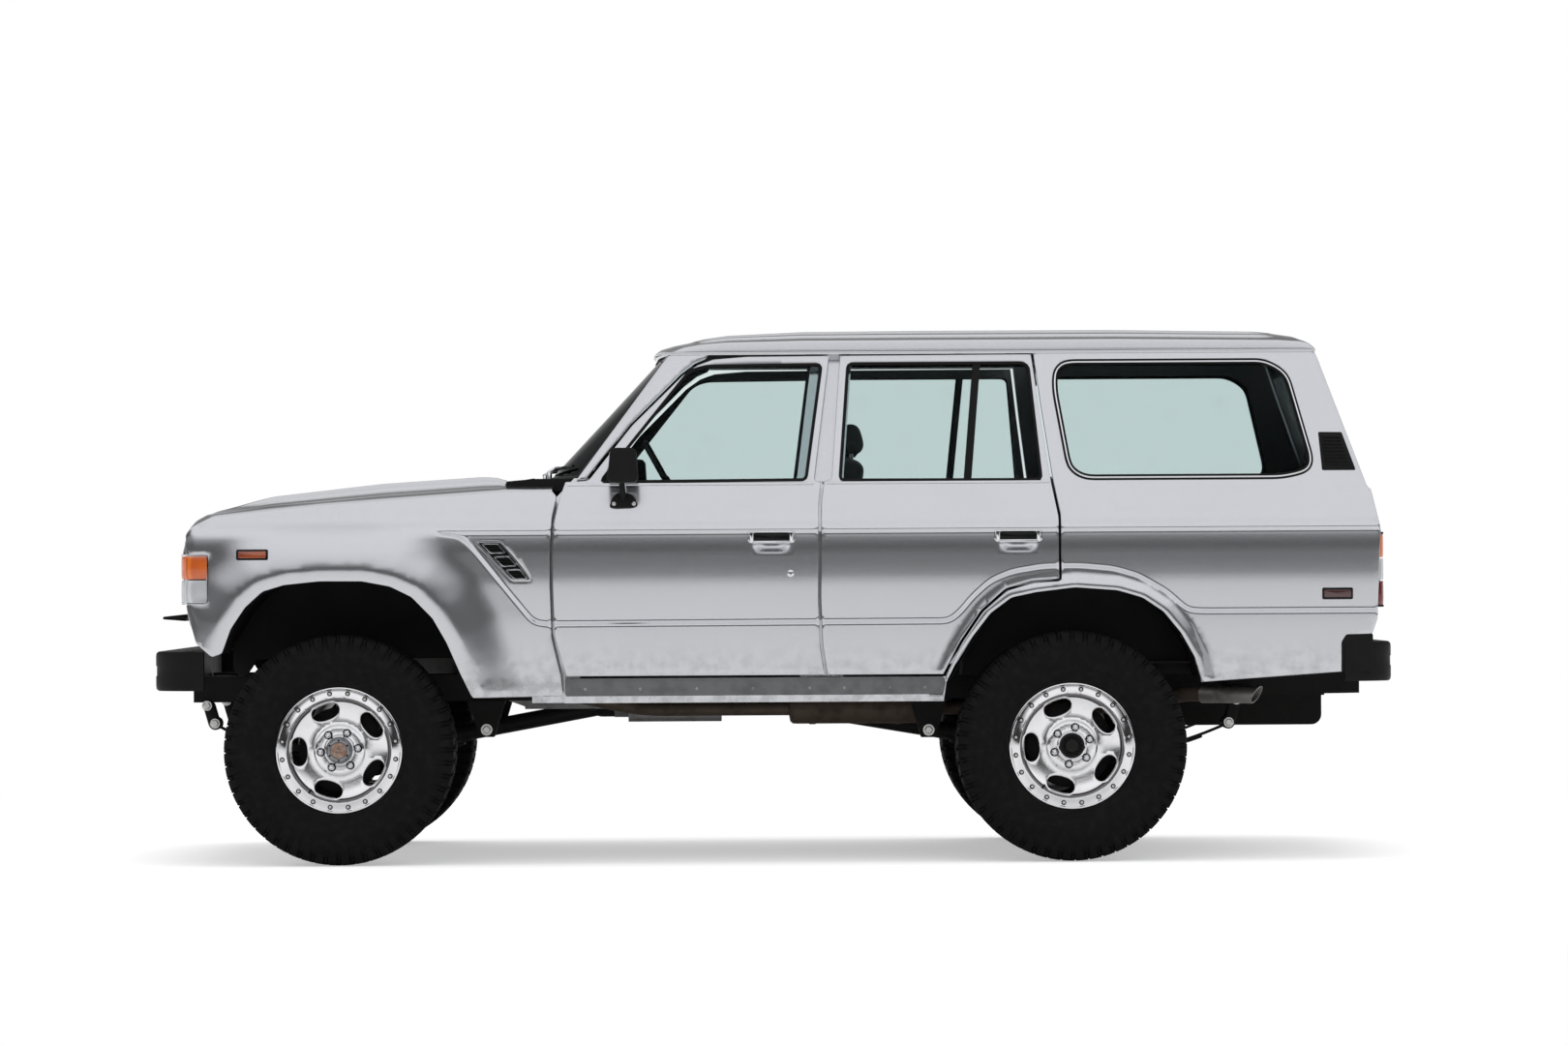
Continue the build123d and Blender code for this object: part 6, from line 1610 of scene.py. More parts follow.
class ESTATE_OT_tail(bpy.types.Operator):
    """Make the tailgates, rear corners, tail lamps and rear bumper"""
    bl_idname = "estate.tail"
    bl_label = "Tail"

    def execute(self, context):
        place = rear_place()
        window = [(-590, 1446), (590, 1446), (576, 1846), (-576, 1846)]
        upper = Batch()
        outline = [(-655, 1391), (655, 1391), (648, 1894), (-648, 1894)]
        upper.add(panel(outline, [(window, 26)], lambda y, z: 2 + 0 * y, place, (1, 0, 0), wall=10, roll=4,
                        step=20, corner=14))
        seal = eased_loop(window, 30, 12)
        upper.add(strip(seal, [(-12, -14), (-12, 2), (-8, 5.5), (6, 5.5), (10, 3), (10, -14)], place), 1)
        handle = rounded(rect(-80, 1398, 80, 1428), 8)
        upper.block(handle, 0, 13, place, 5, 4, kind=2)
        upper.build("gate_upper", "paint seal gloss", "tailgate_upper_body", "silver_paint", sharp=38)
        lower = Batch()
        bay = rect(-192, 1008, 192, 1152)
        press = as_loop(rect(-560, 900, 560, 1212))

        def face(y, z):
            points = columns(y, z)
            sunk = 6 * smooth((depth_inside(points, press) + 6) / 12)
            bowl = 10 * smooth((depth_inside(points, as_loop(bay)) + 5) / 10)
            return 3 - sunk - bowl
        outline = rect(-655, 848, 655, 1382)
        guides = [resampled(press + outward_normals(press) * d, 16) for d in (-7, 0, 7)]
        guides += [resampled(as_loop(bay) + outward_normals(as_loop(bay)) * d, 9) for d in (-5, 0, 5)]
        lower.add(panel(outline, [], face, place, (1, 0, 0), wall=12, roll=4, step=20, corner=12,
                        guides=guides))
        plate = rounded(rect(-168, 1022, 168, 1138), 8)
        lower.block(plate, -13, -9, place, 1.5, kind=1)
        for y in (-120, 120):
            lower.block(circle(6, 14, (y, 1126)), -10, -6, place, 1.5, 2, kind=2)
        latch = rounded(rect(-95, 1330, 95, 1362), 8)
        lower.block(latch, -2, 15, place, 6, 4, kind=3)
        lower.build("gate_lower", "paint plate bright gloss", "tailgate_lower_body", "silver_paint", sharp=38)
        posts, lamps = Batch(), Batch()
        for sign in SIDES.values():
            side = rear_place(sign)
            edge = lambda y, z: 1 - (26 - np.sqrt(np.maximum(676 - np.clip(y - 842, 0, 25.5) ** 2, 0)))
            outline = [(664, 840), (862, 840), (867, 1230), (830, 1386), (706, 1896), (660, 1896),
                       (664, 1386)]
            hole = rect(698, 942, 850, 1220)
            posts.add(panel(outline, [(hole, 6)], edge, side, (1, 0, 0), wall=10, roll=4, step=17, corner=5))
            corner = turned_corner([(2276, 703), (2276, 832), (2262, 849), (2232, 850)], 13)
            lamp_block(lamps, corner, sign, [(1126, 1214, 1), (1042, 1122, 0), (948, 1038, 2)], 3,
                       (1, sign, 0), 2)
            marker = side_place(sign, side_half)
            shape = rounded(rect(2042, 970, 2157, 1014), 7)
            lamps.block(shape, -4, 4.5, marker, 2, kind=5)
            lamps.block(rounded(rect(2049, 978, 2150, 1006), 5), 3, 9, marker, 3.5, 4, kind=4)
        posts.build("rear_posts", "paint", "chassis", "silver_paint", sharp=38)
        kinds = "clear amber red seal dim_red gloss"
        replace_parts(lamps.build("tail_lenses", kinds, "chassis", "red_lens", sharp=30), "tail_lamps")
        section = [(1, 670), (0.14, 665), (0.03, 670), (0, 682), (0, 720), (0.035, 725), (0.035, 756),
                   (0, 761), (0, 796), (0.03, 806), (0.14, 812), (1, 811)]
        path = [(2124, -884), (2220, -870), (2306, -800), (2319, -700), (2319, 0)]
        depths = ([0, 740, 800, 890], [80, 76, 24, 12])
        bumper = Batch()
        bumper.add(bumper_mesh(path, depths, section))
        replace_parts(bumper.build("bumper_bar_rear", "bumper", "chassis", "black_paint", sharp=38),
                    "rear_bumper")
        return {"FINISHED"}


def bent(points, radius, step=14):
    """A path in space with its corners eased and its points evenly spaced."""
    path = eased_path(np.array(points, float), radius, 9)
    length = running_length(path)
    at = np.linspace(0, length[-1], max(int(length[-1] / step), 2) + 1)
    return np.stack([np.interp(at, length, column) for column in path.T], axis=1)


def bolt(centre, axis, radius, high):
    """A chamfered bolt head standing on a point."""
    return lathe([(0, radius), (high * 0.75, radius), (high, radius * 0.8), (high, 0.4)], centre, axis, 6)


# Each spring's front eye, its axle and its rear eye
SPRINGS = {"front": ((-2128, 520), FRONT_AXLE_X, (-1094, 490)),
           "rear": ((590, 479), REAR_AXLE_X, (1735, 501))}


def arc_height(x, start, middle_x, end):
    """The circle through both eyes and the saddle, as height over x."""
    (x0, z0), (x1, z1) = start, end
    a = np.array([[2 * x0, 2 * z0, 1], [2 * middle_x, 2 * SADDLE_Z, 1], [2 * x1, 2 * z1, 1]])
    cx, cz, c = np.linalg.solve(a, [x0 ** 2 + z0 ** 2, middle_x ** 2 + SADDLE_Z ** 2, x1 ** 2 + z1 ** 2])
    radius = math.sqrt(c + cx ** 2 + cz ** 2)
    return cz - np.sqrt(radius ** 2 - (x - cx) ** 2)


def add_spring(batch, sign, end):
    """A pack of four bent leaves with rolled eyes, clips, U-bolts, shackle and pins."""
    centre_y = sign * SPRING_Y
    start, middle_x, stop = SPRINGS[end]
    for k, share in enumerate((1, 0.84, 0.62, 0.4)):
        x = np.linspace(middle_x + (start[0] - middle_x) * share, middle_x + (stop[0] - middle_x) * share, 41)
        z = arc_height(x, start, middle_x, stop) - k * 8.5 - 4.25
        half = np.where((np.arange(41) == 0) | (np.arange(41) == 40), 27 if k else 32, 32)
        section = [(-1, -3.6), (-0.94, -4.1), (0.94, -4.1), (1, -3.6), (1, 3.4), (0.94, 4), (-0.94, 4),
                   (-1, 3.4)]
        rings = np.array([[(xx, centre_y + a * h, zz + b) for a, b in section] for xx, zz,
                          h in zip(x, z, half)])
        batch.add(swept(rings))
    for x, z in (start, stop):
        batch.add(lathe([(-33, 17), (-33, 25), (33, 25), (33, 17)], (x, centre_y, z), (0, 1, 0), 28,
                        closed=True))
        batch.add(lathe([(-34, 9), (-34, 16.5), (34, 16.5), (34, 9)], (x, centre_y, z), (0, 1, 0), 24,
                        closed=True), 2)
    for share in (-0.52, 0.52):
        x = middle_x + ((stop[0] if share > 0 else start[0]) - middle_x) * abs(share)
        z = float(arc_height(np.array([x]), start, middle_x, stop)[0])
        batch.add(box((x - 14, centre_y - 37, z - 26), (x + 14, centre_y + 37, z + 4), 2.5))
    for dx in (-48, 48):
        loop = [(middle_x + dx, centre_y - 38, 322), (middle_x + dx, centre_y - 38, 470),
                (middle_x + dx, centre_y + 38, 470),
                (middle_x + dx, centre_y + 38, 322)]
        batch.add(tube(bent(loop, 34, 6), 7, 10))
        for dy in (-38, 38):
            batch.add(bolt((middle_x + dx, centre_y + dy, 333), (0, 0, -1), 11, 14), 1)
    batch.add(box((middle_x - 66, centre_y - 56, 331), (middle_x + 66, centre_y + 56, 341), 3))
    fixed, swinging = (stop, start) if end == "front" else (start, stop)
    lean = -30 if end == "front" else 30
    x, z = swinging
    for dy in (-42.5, 42.5):
        plate = [(x - 20, z - 20), (x + 20, z - 20), (x + lean + 20, 604), (x + lean - 20, 604)]
        face = lambda u, v, h: columns(u, centre_y + sign * dy + h, v)
        batch.block(rounded(plate, 17), -4.5, 4.5, face, 1.5)
        for px, pz in ((x, z), (x + lean, SHACKLE_PIN_Z)):
            pin, outward = (px, centre_y + dy, pz), (0, math.copysign(1, dy), 0)
            batch.add(bolt(pin, outward, 15, 12), 1)
            batch.add(lathe([(0, 19), (7, 19), (7, 0.5)], pin, outward, 24), 1)
    x, z = fixed
    for dy in (-1, 1):
        batch.add(bolt((x, centre_y + dy * 52, z), (0, dy, 0), 16, 10), 1)
        batch.add(lathe([(0, 22), (4, 22), (4, 0.5)], (x, centre_y + dy * 48, z), (0, dy, 0), 24), 1)


class ESTATE_OT_underbody(bpy.types.Operator):
    """Make the leaf packs, exhaust and arch liners"""
    bl_idname = "estate.underbody"
    bl_label = "Underbody"

    def execute(self, context):
        springs = Batch()
        for end in SPRINGS:
            for sign in SIDES.values():
                add_spring(springs, sign, end)
        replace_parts(springs.build("leaf_packs", "chassis bright seal", "chassis", "black_paint", sharp=35),
                    "leaf_springs")
        pipe = Batch()
        path = [(-900, -200, 640), (-500, -230, PIPE_Z), (860, -250, PIPE_Z), (1360, -250, PIPE_Z),
                (1470, -450, PIPE_Z),
                (1530, -510, 612), (1640, -575, 612)]
        pipe.add(tube(bent(path, 70), 27, 20))
        can = [(0, 28), (4, 50), (14, 59), (30, 60), (470, 60), (486, 59), (496, 50), (500, 28)]
        pipe.add(lathe(can, (60, SILENCER_Y, PIPE_Z), (1, 0, 0), 40))
        for x in (150, 480):
            pipe.add(lathe([(-12, 60), (-12, 62.5), (12, 62.5), (12, 60)], (x, SILENCER_Y, PIPE_Z), (1, 0, 0),
                           40, closed=True))
        tip = bent([(1620, -563, 612), (1832, -688, 612)], 10, 9)
        side, top = frames(tip)
        ahead = (tip[-1] - tip[0]) / np.linalg.norm(tip[-1] - tip[0])
        angle = turns(28)
        shape = []
        for radius, order in ((33, range(len(tip))), (29, reversed(range(4, len(tip))))):
            for k in order:
                slash = (k / (len(tip) - 1)) ** 6 * 38
                ring = tip[k] + radius * (np.cos(angle)[:, None] * side[k] + np.sin(angle)[:, None] * top[k])
                shape.append(ring + ahead * (slash * (np.sin(angle) - 1) / 2)[:, None])
        pipe.add(swept(np.array(shape)), 1)
        for x, y in ((-30, -230), (590, -231)):
            pipe.add(tube([(x, y, PIPE_Z), (x, y, 640)], 8, 10), 2)
        kinds = "rusty steel seal"
        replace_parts(pipe.build("exhaust_line", kinds, "chassis", "steel", sharp=35), "exhaust")
        liner = Batch()
        rows = {"front": [(-2086, 800), (-2020, 905), (-1965, 985), (-1900, 1044), (-1820, 1070),
                          (-1689, 1082),
                          (-1531, 1082), (-1427, 1062), (-1340, 1020), (-1255, 935), (-1190, 800),
                          (-1150, 700)],
                "rear": [(640, 690), (700, 790), (800, 950), (880, 1010), (976, 1030), (1121, 1046),
                         (1278, 1034), (1375, 1008), (1460, 955), (1540, 850), (1580, 760), (1600, 690)]}
        for end, points in rows.items():
            arch = resampled(turned_corner(points, 60), 24, closed=False)
            centre = np.array((FRONT_AXLE_X if end == "front" else REAR_AXLE_X, WHEEL_Z))
            inner = arch + (centre - arch) / np.linalg.norm(centre - arch, axis=1)[:, None] * 16
            for sign in SIDES.values():
                depth = (434, 860) if end == "front" else (565, 858)
                y = np.array([depth[0], *np.linspace(depth[0] + 4, depth[1], 9)])
                sheet = np.stack([inner[:, None, 0] + 0 * y, sign * y[None] + 0 * inner[:, :1],
                                  inner[:, None, 1]
                                  - 5 * np.sin(y[None] * 0.045)], axis=-1)
                back = sheet[:, ::-1].copy()
                back[..., 2] += 4
                liner.add(swept(np.concatenate([sheet, back], axis=1)))
                face = lambda x, z, h: columns(x, sign * (LINER_WALLS[end] + h), z)
                if end == "front":
                    wall = rounded([(-2056, 1058), (-2056, 700), (-1990, 700), (-1976, 764), (-1150, 764),
                                    (-1070, 800),
                                    (-1010, 1290), (-2050, 1290)], 30)
                    wave = lambda x, z: 4 * np.sin(x * 0.03) * np.sin(z * 0.025)
                else:
                    wall = [tuple(p) for p in resampled(arch, 40, closed=False)]
                    wave = lambda x, z: 3 * np.sin(x * 0.04)
                liner.add(panel(wall, [], wave, face, (0, sign, 0), wall=4, roll=2, step=46, corner=20))
        liner.build("arch_liners", "seal", "chassis", "black_paint", sharp=40)
        return {"FINISHED"}


class ESTATE_OT_cowl(bpy.types.Operator):
    """Make the cowl panel with its vents, and the wipers"""
    bl_idname = "estate.cowl"
    bl_label = "Cowl and wipers"

    def execute(self, context):
        cowl = Batch()
        outline = [(-1006, -690), (-870, -700), (-760, -732), (-742, -732), (-742, 732), (-760, 732),
                   (-870, 700),
                   (-1006, 690)]
        lift = lambda x, y: 1424 + 16 * smooth((x + 1006) / 90) - 2 * np.sin(np.clip((x + 990) / 100, 0, 1)
                * np.pi)
        flat = lambda x, y, h: columns(x, y, h)
        cowl.add(panel(outline, [], lift, flat, (0, 0, 1), wall=6, roll=3, step=24, corner=10))
        for centre in (-420, 0, 420):
            for k in range(15):
                y = centre - 140 + 20 * k
                loop = rounded(rect(-968, y - 5, -900, y + 5), 4, 3)
                cowl.block(loop, 0, 5, lambda a, b, h: columns(a, b, lift(a, b) + h), 2, kind=1)
        cowl.build("cowl_panel", "mould gloss", "chassis", "black_paint", sharp=40)
        wipers = Batch()
        for x, y, y0, y1, z0, z1 in ((-850, -400, -560, -120, 1490, 1476), (-886, 120, -20, 420, 1476, 1490)):
            share = np.linspace(0, 1, 25)
            yy, zz = y0 + (y1 - y0) * share, z0 + (z1 - z0) * share
            t = (zz - 1438.2) / 464.8
            middle, side = -868 + 438 * t, -724 + 350 * t
            blade = columns(middle + (side - middle) * (yy / 708) ** 2 - 19, yy, zz)
            ring = [(-4, -5), (4, -5), (5, 2), (2, 6), (-2, 6), (-5, 2)]
            wipers.add(swept(np.array([[p + (b, 0, a) for a, b in ring] for p in blade])), 1)
            for a, b in ((4, 10), (14, 20)):
                arch = bent([blade[a], (blade[a] + blade[b]) / 2 + (-12, 0, 3), blade[b]], 30, 8)
                wipers.add(tube(arch, 3.6, 8), 1)
            arch = bent([blade[7], blade[12] + (-22, 0, 6), blade[17]], 60, 8)
            wipers.add(tube(arch, 4.2, 8))
            post = np.array((x, y, 1438))
            wipers.add(lathe([(0, 16), (5, 15), (8, 10), (24, 9), (30, 7.5), (32, 0.5)], post, (0, 0, 1), 24))
            arm = bent([post + (0, 0, 26), post + (-6, (blade[12][1] - y) * 0.3, 32),
                        blade[12] + (-20, 0, 4)], 40, 8)
            wipers.add(tube(arm, np.linspace(9, 4.5, len(arm)), 10, 0.7))
        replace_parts(wipers.build("wiper_arms", "chrome mould", "chassis", "black_paint", sharp=38), "wipers")
        return {"FINISHED"}


def cushion(section, y0, y1, bulge, seams=(), around=4):
    """A padded block: a side outline carried across, drawn in near its ends by a superellipse, with a crown
    and with a groove at each seam."""
    section = as_loop(section)
    loop = resampled(rounded(section, 26, 7), 11)
    out = outward_normals(loop)
    share = np.sin(np.linspace(-np.pi / 2, np.pi / 2, 45))
    y = (y0 + y1) / 2 + (y1 - y0) / 2 * share
    draw = around * 6 * (1 - (1 - np.abs(share) ** 8) ** 0.35)
    rings = []
    for yy, d in zip(y, draw):
        off = yy - (y0 + y1) / 2
        lift = bulge * math.cos(off / (y1 - y0) * np.pi) ** 0.6 if abs(off) < (y1 - y0) / 2 - 1e-6 else 0
        groove = sum(5 * math.exp(-((yy - s) / 5) ** 2) for s in seams)
        ring = loop + out * (lift - d - groove)
        rings.append(columns(ring[:, 0], np.full(len(ring), yy), ring[:, 1]))
    return swept(np.array(rings))


SEAT_CUSHION = [(-342, 1000), (-350, 1058), (-300, 1090), (60, 1068), (180, 1074), (176, 966), (-300, 962)]
SEAT_BACK = [(126, 1036), (160, 1180), (246, 1490), (290, 1512), (342, 1486), (306, 1240), (262, 1040),
             (200, 996)]
HEAD_REST = [(254, 1540), (264, 1628), (292, 1646), (328, 1636), (348, 1562), (328, 1534)]
BENCH_CUSHION = [(566, 956), (544, 1030), (576, 1056), (800, 1044), (1016, 1036), (1016, 934)]
BENCH_BACK = [(966, 1036), (1030, 1240), (1092, 1444), (1138, 1460), (1174, 1438), (1136, 1240), (1088, 1034),
              (1024, 994)]
DASH = [(-810, 1124), (-810, 1390), (-684, 1390), (-604, 1368), (-574, 1300), (-622, 1124)]
DASH_POD = [(-700, 1366), (-684, 1446), (-620, 1456), (-562, 1458), (-566, 1304), (-640, 1304)]
RING_CENTRE = np.array((-392, -370, 1412))
RING_LEAN = math.radians(29)
COLUMN_END = np.array((-640, -370, 1262))


def facing_driver(point, lean):
    """Maps across, up and a height to a plane at a point, square to a direction that leans up from the rear
    by an angle."""
    ahead = np.array((math.cos(lean), 0, math.sin(lean)))
    up = np.array((-math.sin(lean), 0, math.cos(lean)))
    across = np.array((0, 1, 0))
    return lambda u, v, h: np.array(point) + np.outer(u, across) + np.outer(v, up) + np.outer(h, ahead)


def ring_wheel():
    """The steering wheel: a torus with finger bumps, three tapered spokes, a padded hub and its column."""
    batch = Batch()
    place = facing_driver(RING_CENTRE, RING_LEAN)
    turn = turns(96)
    path = place(188 * np.cos(turn), 188 * np.sin(turn), np.zeros(96))
    out = place(np.cos(turn), np.sin(turn), np.zeros(96)) - RING_CENTRE
    ahead = np.array((math.cos(RING_LEAN), 0, math.sin(RING_LEAN)))
    round_ = turns(14)
    grip = 13 - 0.7 * (np.cos(turn * 36) > 0.3)
    rings = path[:, None] + grip[:, None,
            None] * (np.cos(round_)[None, :, None] * out[:, None] + np.sin(round_)[None, :, None] * ahead)
    batch.add(swept(rings, closed_path=True))
    for angle in (0, math.pi, -math.pi / 2):
        along = np.linspace(34, 182, 9)
        wide = 25 - 11 * smooth((along - 34) / 120)
        loop = np.concatenate([columns(along, wide), columns(along, -wide)[::-1]])
        c, s = math.cos(angle), math.sin(angle)
        batch.block(loop @ np.array(((c, s), (-s, c))), -7, 5, place, 2.5, kind=1)
    batch.block(rounded([(-56, -50), (56, -50), (44, 42), (-44, 42)], 16), -10, 16, place, 6, 5)
    axis = (RING_CENTRE - COLUMN_END) / np.linalg.norm(RING_CENTRE - COLUMN_END)
    length = float(np.linalg.norm(RING_CENTRE - COLUMN_END))
    batch.add(lathe([(0, 24), (length * 0.34, 25.5), (length * 0.36, 22), (length * 0.8, 22),
                     (length * 0.84, 25.5), (length - 12, 25.5)],
                    COLUMN_END, axis, 24))
    for side, reach in ((-1, 128), (1, 104)):
        base = COLUMN_END + axis * length * 0.86
        batch.add(tube([base, base + np.array((10, side * reach * 0.5, 4)),
                        base + np.array((14, side * reach, 8))], [5.5, 4.5, 6.5], 10))
    return batch


def dash_parts():
    """The dashboard: a padded block, a hooded pod with three dials, vents, a radio blank and a glove box."""
    batch = Batch()
    batch.add(cushion(DASH, -716, 716, 0, (), 2))
    batch.add(cushion(DASH_POD, -536, -204, 0, (), 2))
    lean = math.radians(2)
    for y, radius in ((-446, 50), (-300, 50), (-373, 22)):
        place = facing_driver((-565, y, 1388), lean)
        batch.add(lathe([(0, radius - 5), (0.5, radius), (3.5, radius), (4.5, radius - 3), (1.5, radius - 6)],
                        place(np.zeros(1), np.zeros(1), np.zeros(1))[0], (math.cos(lean), 0, math.sin(lean)),
                        40), 3)
        batch.block(circle(radius - 6, 36), 0.2, 2, place, 0.5, 2, kind=1)
        batch.block([(-1.3, -8), (1.3, -8), (0.7, radius - 14), (-0.7, radius - 14)], 1.6, 3, place, 0.3, 2,
                    kind=4)
    tilt = math.radians(-15)
    face = facing_driver((-598, 0, 1212), tilt)
    lid = rounded(rect(180, -66, 610, 54), 16)
    batch.block(lid, -3, 5, face, 3)
    batch.block(rounded(rect(370, 26, 420, 42), 5), 4, 10, face, 2.5, kind=3)
    batch.block(rounded(rect(-118, -20, 118, 40), 6), -3, 5, face, 2, kind=1)
    for y in (-96, 96):
        batch.block(circle(14, 28, (y, 10)), 4, 17, face, 3)
    for y in (-660, -160, 160, 660):
        batch.block(rounded(rect(y - 44, 62, y + 44, 98), 6), -2, 6, face, 2, kind=1)
        for k in range(4):
            z = 69 + 8 * k
            batch.block(rect(y - 38, z, y + 38, z + 3), 4, 9, face, 0.6, 2)
    return batch


def door_card(end, sign):
    """The trim inside a door: a pad with a pressed stripe, an arm rest, a pull, a window winder and
    a speaker grille."""
    batch = Batch()
    place = lambda x, z, h: columns(x, sign * (CARD_Y - h - np.clip((z - 1180) / 230, 0, 1) * 34), z)
    outline = ([(-690, 760), (120, 760), (120, 1392), (-730, 1392)] if end == "front"
               else [(230, 760), (560, 760), (640, 960), (780, 1120), (980, 1150), (1000, 1392), (230, 1392)])
    grid_guides = [columns(np.linspace(-700, 1000, 90), np.full(90, z)) for z in (1176, 1184, 1200, 1300)]
    batch.add(panel(outline, [], lambda x,
                    z: 0 * x + 4 * smooth((z - 1050) / 10) * (1 - smooth((z - 1240) / 10)), place,
                    (0, -sign, 0), wall=5, roll=3, step=30, corner=22, guides=grid_guides))
    start, finish_x = (-420, -90) if end == "front" else (330, 620)
    batch.block(rounded([(start, 1086), (finish_x, 1086), (finish_x, 1130), (start, 1116)], 12), 0, 46, place,
                8, 4, kind=1)
    pivot = np.array((start - 70, 1110))
    batch.block(circle(19, 26, pivot), 0, 14, place, 3, kind=2)
    arm = [pivot + (-7, 0), pivot + (7, 0), pivot + (36, -82), pivot + (24, -86)]
    batch.block(arm, 8, 14, place, 1.5, 2, kind=2)
    batch.block(circle(10, 20, pivot + (30, -84)), 12, 34, place, 3, kind=1)
    batch.block(rounded(rect(finish_x + 30, 1206, finish_x + 120, 1240), 8), 0, 9, place, 2.5, kind=2)
    if end == "front":
        batch.block(circle(70, 40, (-560, 880)), 0, 9, place, 4, 4, kind=1)
        for ring in (20, 38, 56):
            loop = circle(ring, 48, (-560, 880))
            batch.add(strip(loop, bar_profile(5, 3, 8), place), 1)
    return batch


class ESTATE_OT_cabin(bpy.types.Operator):
    """Make the seats, bench, dashboard, steering wheel, door cards, carpets and roof lining"""
    bl_idname = "estate.cabin"
    bl_label = "Cabin"

    def execute(self, context):
        seats = Batch()
        for sign in SIDES.values():
            low, high = sorted((sign * 146, sign * 634))
            middle = (low + high) / 2
            for outline, bulge in ((SEAT_CUSHION, 10), (SEAT_BACK, 9)):
                seats.add(cushion(outline, low, high, bulge, (middle - 130, middle + 130)))
            seats.add(cushion(HEAD_REST, middle - 116, middle + 116, 4, (), 7))
            for dy in (-64, 64):
                seats.add(tube([(302, middle + dy, 1484), (302, middle + dy, 1556)], 5, 12), 2)
            seats.add(box((-276, middle - 200, 738), (166, middle + 200, 966), 14), 1)
            for dy in (-206, 206):
                seats.add(box((-270, middle + dy - 7, 735), (160, middle + dy + 3, 756), 3), 2)
            seats.block(circle(24, 28, (206, 1046)), 0, 12, side_place(sign, lambda x, z: 0 * x + 628), 4,
                        kind=1)
        seats.build("seat_pads", "cloth trim chrome", "chassis", "cloth", sharp=60)
        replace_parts(bpy.data.objects["seat_pads"], "front_seats")
        bench = Batch()
        for outline, bulge in ((BENCH_CUSHION, 9), (BENCH_BACK, 8)):
            bench.add(cushion(outline, -534, 534, bulge, (-300, -120, 120, 300), 3))
        bench.add(box((584, -530, 736), (1076, 530, 962), 12), 1)
        for y in (-430, 430):
            bench.add(tube(bent([(1080, y, 1000), (1112, y, 1120), (1146, y, 1240)], 10), 8, 12), 2)
        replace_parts(bench.build("bench_pads", "cloth trim chrome", "chassis", "cloth", sharp=60),
                    "rear_bench")
        kinds = "trim gloss chrome bright amber"
        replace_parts(dash_parts().build("dash_pad", kinds, "chassis", "trim", sharp=40), "dashboard")
        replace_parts(ring_wheel().build("ring_wheel", "mould dark_chrome", "chassis", "trim", sharp=40),
                    "steering_wheel")
        for end in ("front", "rear"):
            for side, sign in SIDES.items():
                door_card(end, sign).build(f"card_{end}_{side}", "liner trim chrome",
                                           f"door_{end}_{side}_body", "trim", sharp=45)
        covering = Batch()
        for start, stop, half in ((-980, -330, 740), (-330, 560, 740), (1100, 2120, 640)):
            xs, ys = np.linspace(start, stop, 26), np.linspace(-half, half, 34)
            gx, gy = np.meshgrid(xs, ys, indexing="ij")
            edge = np.minimum(np.minimum(gx - start, stop - gx), half - np.abs(gy))
            gz = CARPET_Z + 3 + 5 * smooth(edge / 30) + 1.2 * np.sin(gx / 23) * np.sin(gy / 31)
            upper = np.stack([gx, gy, gz], axis=2)
            under = np.stack([gx, gy, np.full_like(gx, CARPET_Z)], axis=2)
            rings = np.concatenate([upper, under[:, ::-1]], axis=1)
            covering.add(swept(rings))
        covering.build("carpets", "carpet", "chassis", "trim", sharp=50)
        lining = Batch()
        xs, ys = np.linspace(-300, 2030, 90), np.linspace(-640, 640, 40)
        gx, gy = np.meshgrid(xs, ys, indexing="ij")
        along = np.sin(np.clip((gx + 330) / 2380, 0, 1) * np.pi) ** 0.3
        level = 1906 + 44 * (1 - (gy / 640) ** 2) * along - 3 * (np.abs((gx % 420) - 210) < 5)
        upper = np.stack([gx, gy, level + 5], axis=2)
        under = np.stack([gx, gy, level], axis=2)
        lining.add(swept(np.concatenate([upper, under[:, ::-1]], axis=1)))
        lining.build("head_lining", "liner", "chassis", "trim", sharp=50)
        return {"FINISHED"}


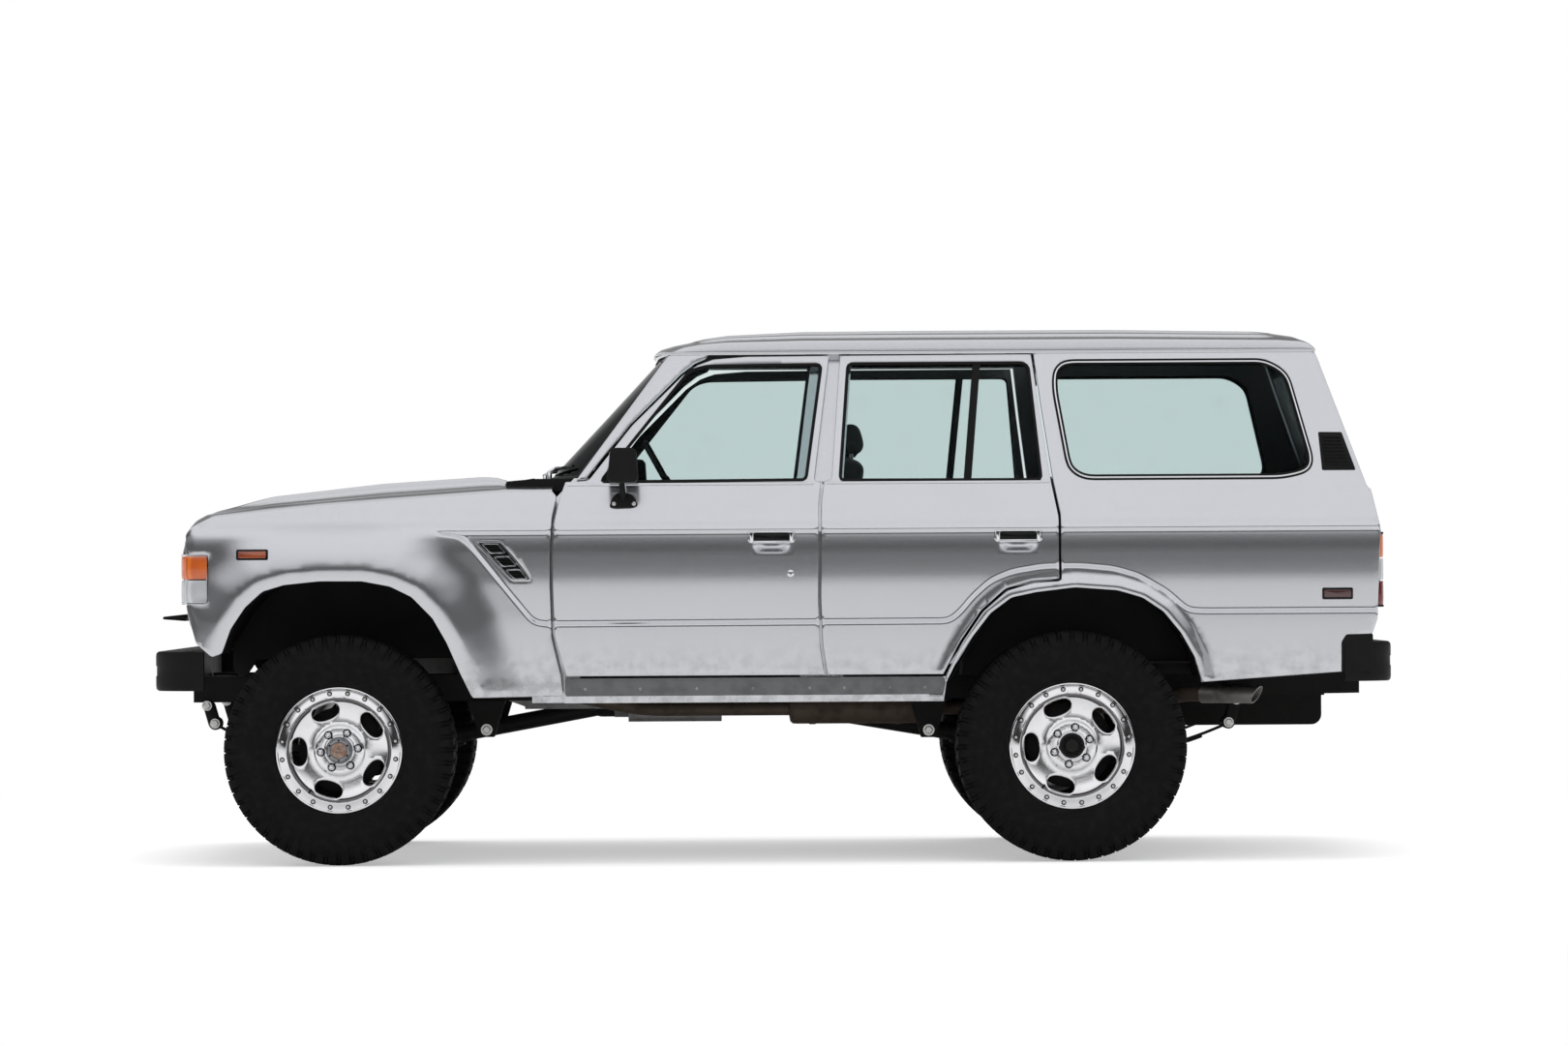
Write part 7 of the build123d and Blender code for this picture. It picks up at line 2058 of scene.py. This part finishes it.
class ESTATE_OT_glazing(bpy.types.Operator):
    """Give every CAD node its finish and make the windscreen's seal"""
    bl_idname = "estate.glazing"
    bl_label = "Glazing"

    def execute(self, context):
        dress_nodes()
        rows = np.array([(1438.2, -724, -868, 734), (1903, -374, -430, 614)])

        def screen(share_y, z):
            t = (z - rows[0, 0]) / (rows[1, 0] - rows[0, 0])
            side, middle, half = (rows[0, k] * (1 - t) + rows[1, k] * t for k in (1, 2, 3))
            x = middle + (side - middle) * share_y ** 2
            return columns(x, share_y * half, z)
        loop = resampled(rounded(rect(-1, 1440, 1, 1901), 0.06) * (400, 1), 14) / (400, 1)
        middle = loop.mean(axis=0)
        rings = []
        for shrink, lift in ((1, 2), (1, -9), (0.985, -11), (0.955, -8), (0.945, 1)):
            inner = middle + (loop - middle) * (shrink, shrink)
            point = screen(inner[:, 0], inner[:, 1])
            point[:, 0] += lift
            rings.append(point)
        batch = Batch()
        batch.add(swept(np.array(rings).transpose(1, 0, 2), closed_path=True))
        batch.build("screen_seal", "seal", "chassis", "trim")
        return {"FINISHED"}


GROUPS = {"estate_body": EstateBody, "estate_wheels": EstateWheels, "estate_stage": EstateStage}
STEPS = (ESTATE_OT_stage, ESTATE_OT_glazing, ESTATE_OT_tyres, ESTATE_OT_rims, ESTATE_OT_wings,
         ESTATE_OT_doors, ESTATE_OT_sides,
         ESTATE_OT_roof, ESTATE_OT_bonnet, ESTATE_OT_nose, ESTATE_OT_tail,
         ESTATE_OT_underbody, ESTATE_OT_cowl, ESTATE_OT_cabin)


class ESTATE_PT_panel(bpy.types.Panel):
    """Lists the steps that dress the car"""
    bl_idname = "ESTATE_PT_panel"
    bl_label = "Estate 4x4"
    bl_space_type = "VIEW_3D"
    bl_region_type = "UI"
    bl_category = "Estate 4x4"

    def draw(self, context):
        for label, group in GROUPS.items():
            for field in group.__annotations__:
                self.layout.prop(getattr(context.scene, label), field)
        for step in STEPS:
            self.layout.operator(step.bl_idname)


def register():
    for group in GROUPS.values():
        bpy.utils.register_class(group)
    for label, group in GROUPS.items():
        setattr(bpy.types.Scene, label, bpy.props.PointerProperty(type=group))
    for step in (*STEPS, ESTATE_PT_panel):
        bpy.utils.register_class(step)


def unregister():
    for step in (ESTATE_PT_panel, *reversed(STEPS)):
        bpy.utils.unregister_class(step)
    for label in GROUPS:
        delattr(bpy.types.Scene, label)
    for group in reversed(list(GROUPS.values())):
        bpy.utils.unregister_class(group)


def main():
    """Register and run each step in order."""
    register()
    for step in STEPS:
        group, action = step.bl_idname.split(".")
        getattr(getattr(bpy.ops, group), action)()
    bpy.context.view_layer.update()


if __name__ == "__main__":
    main()
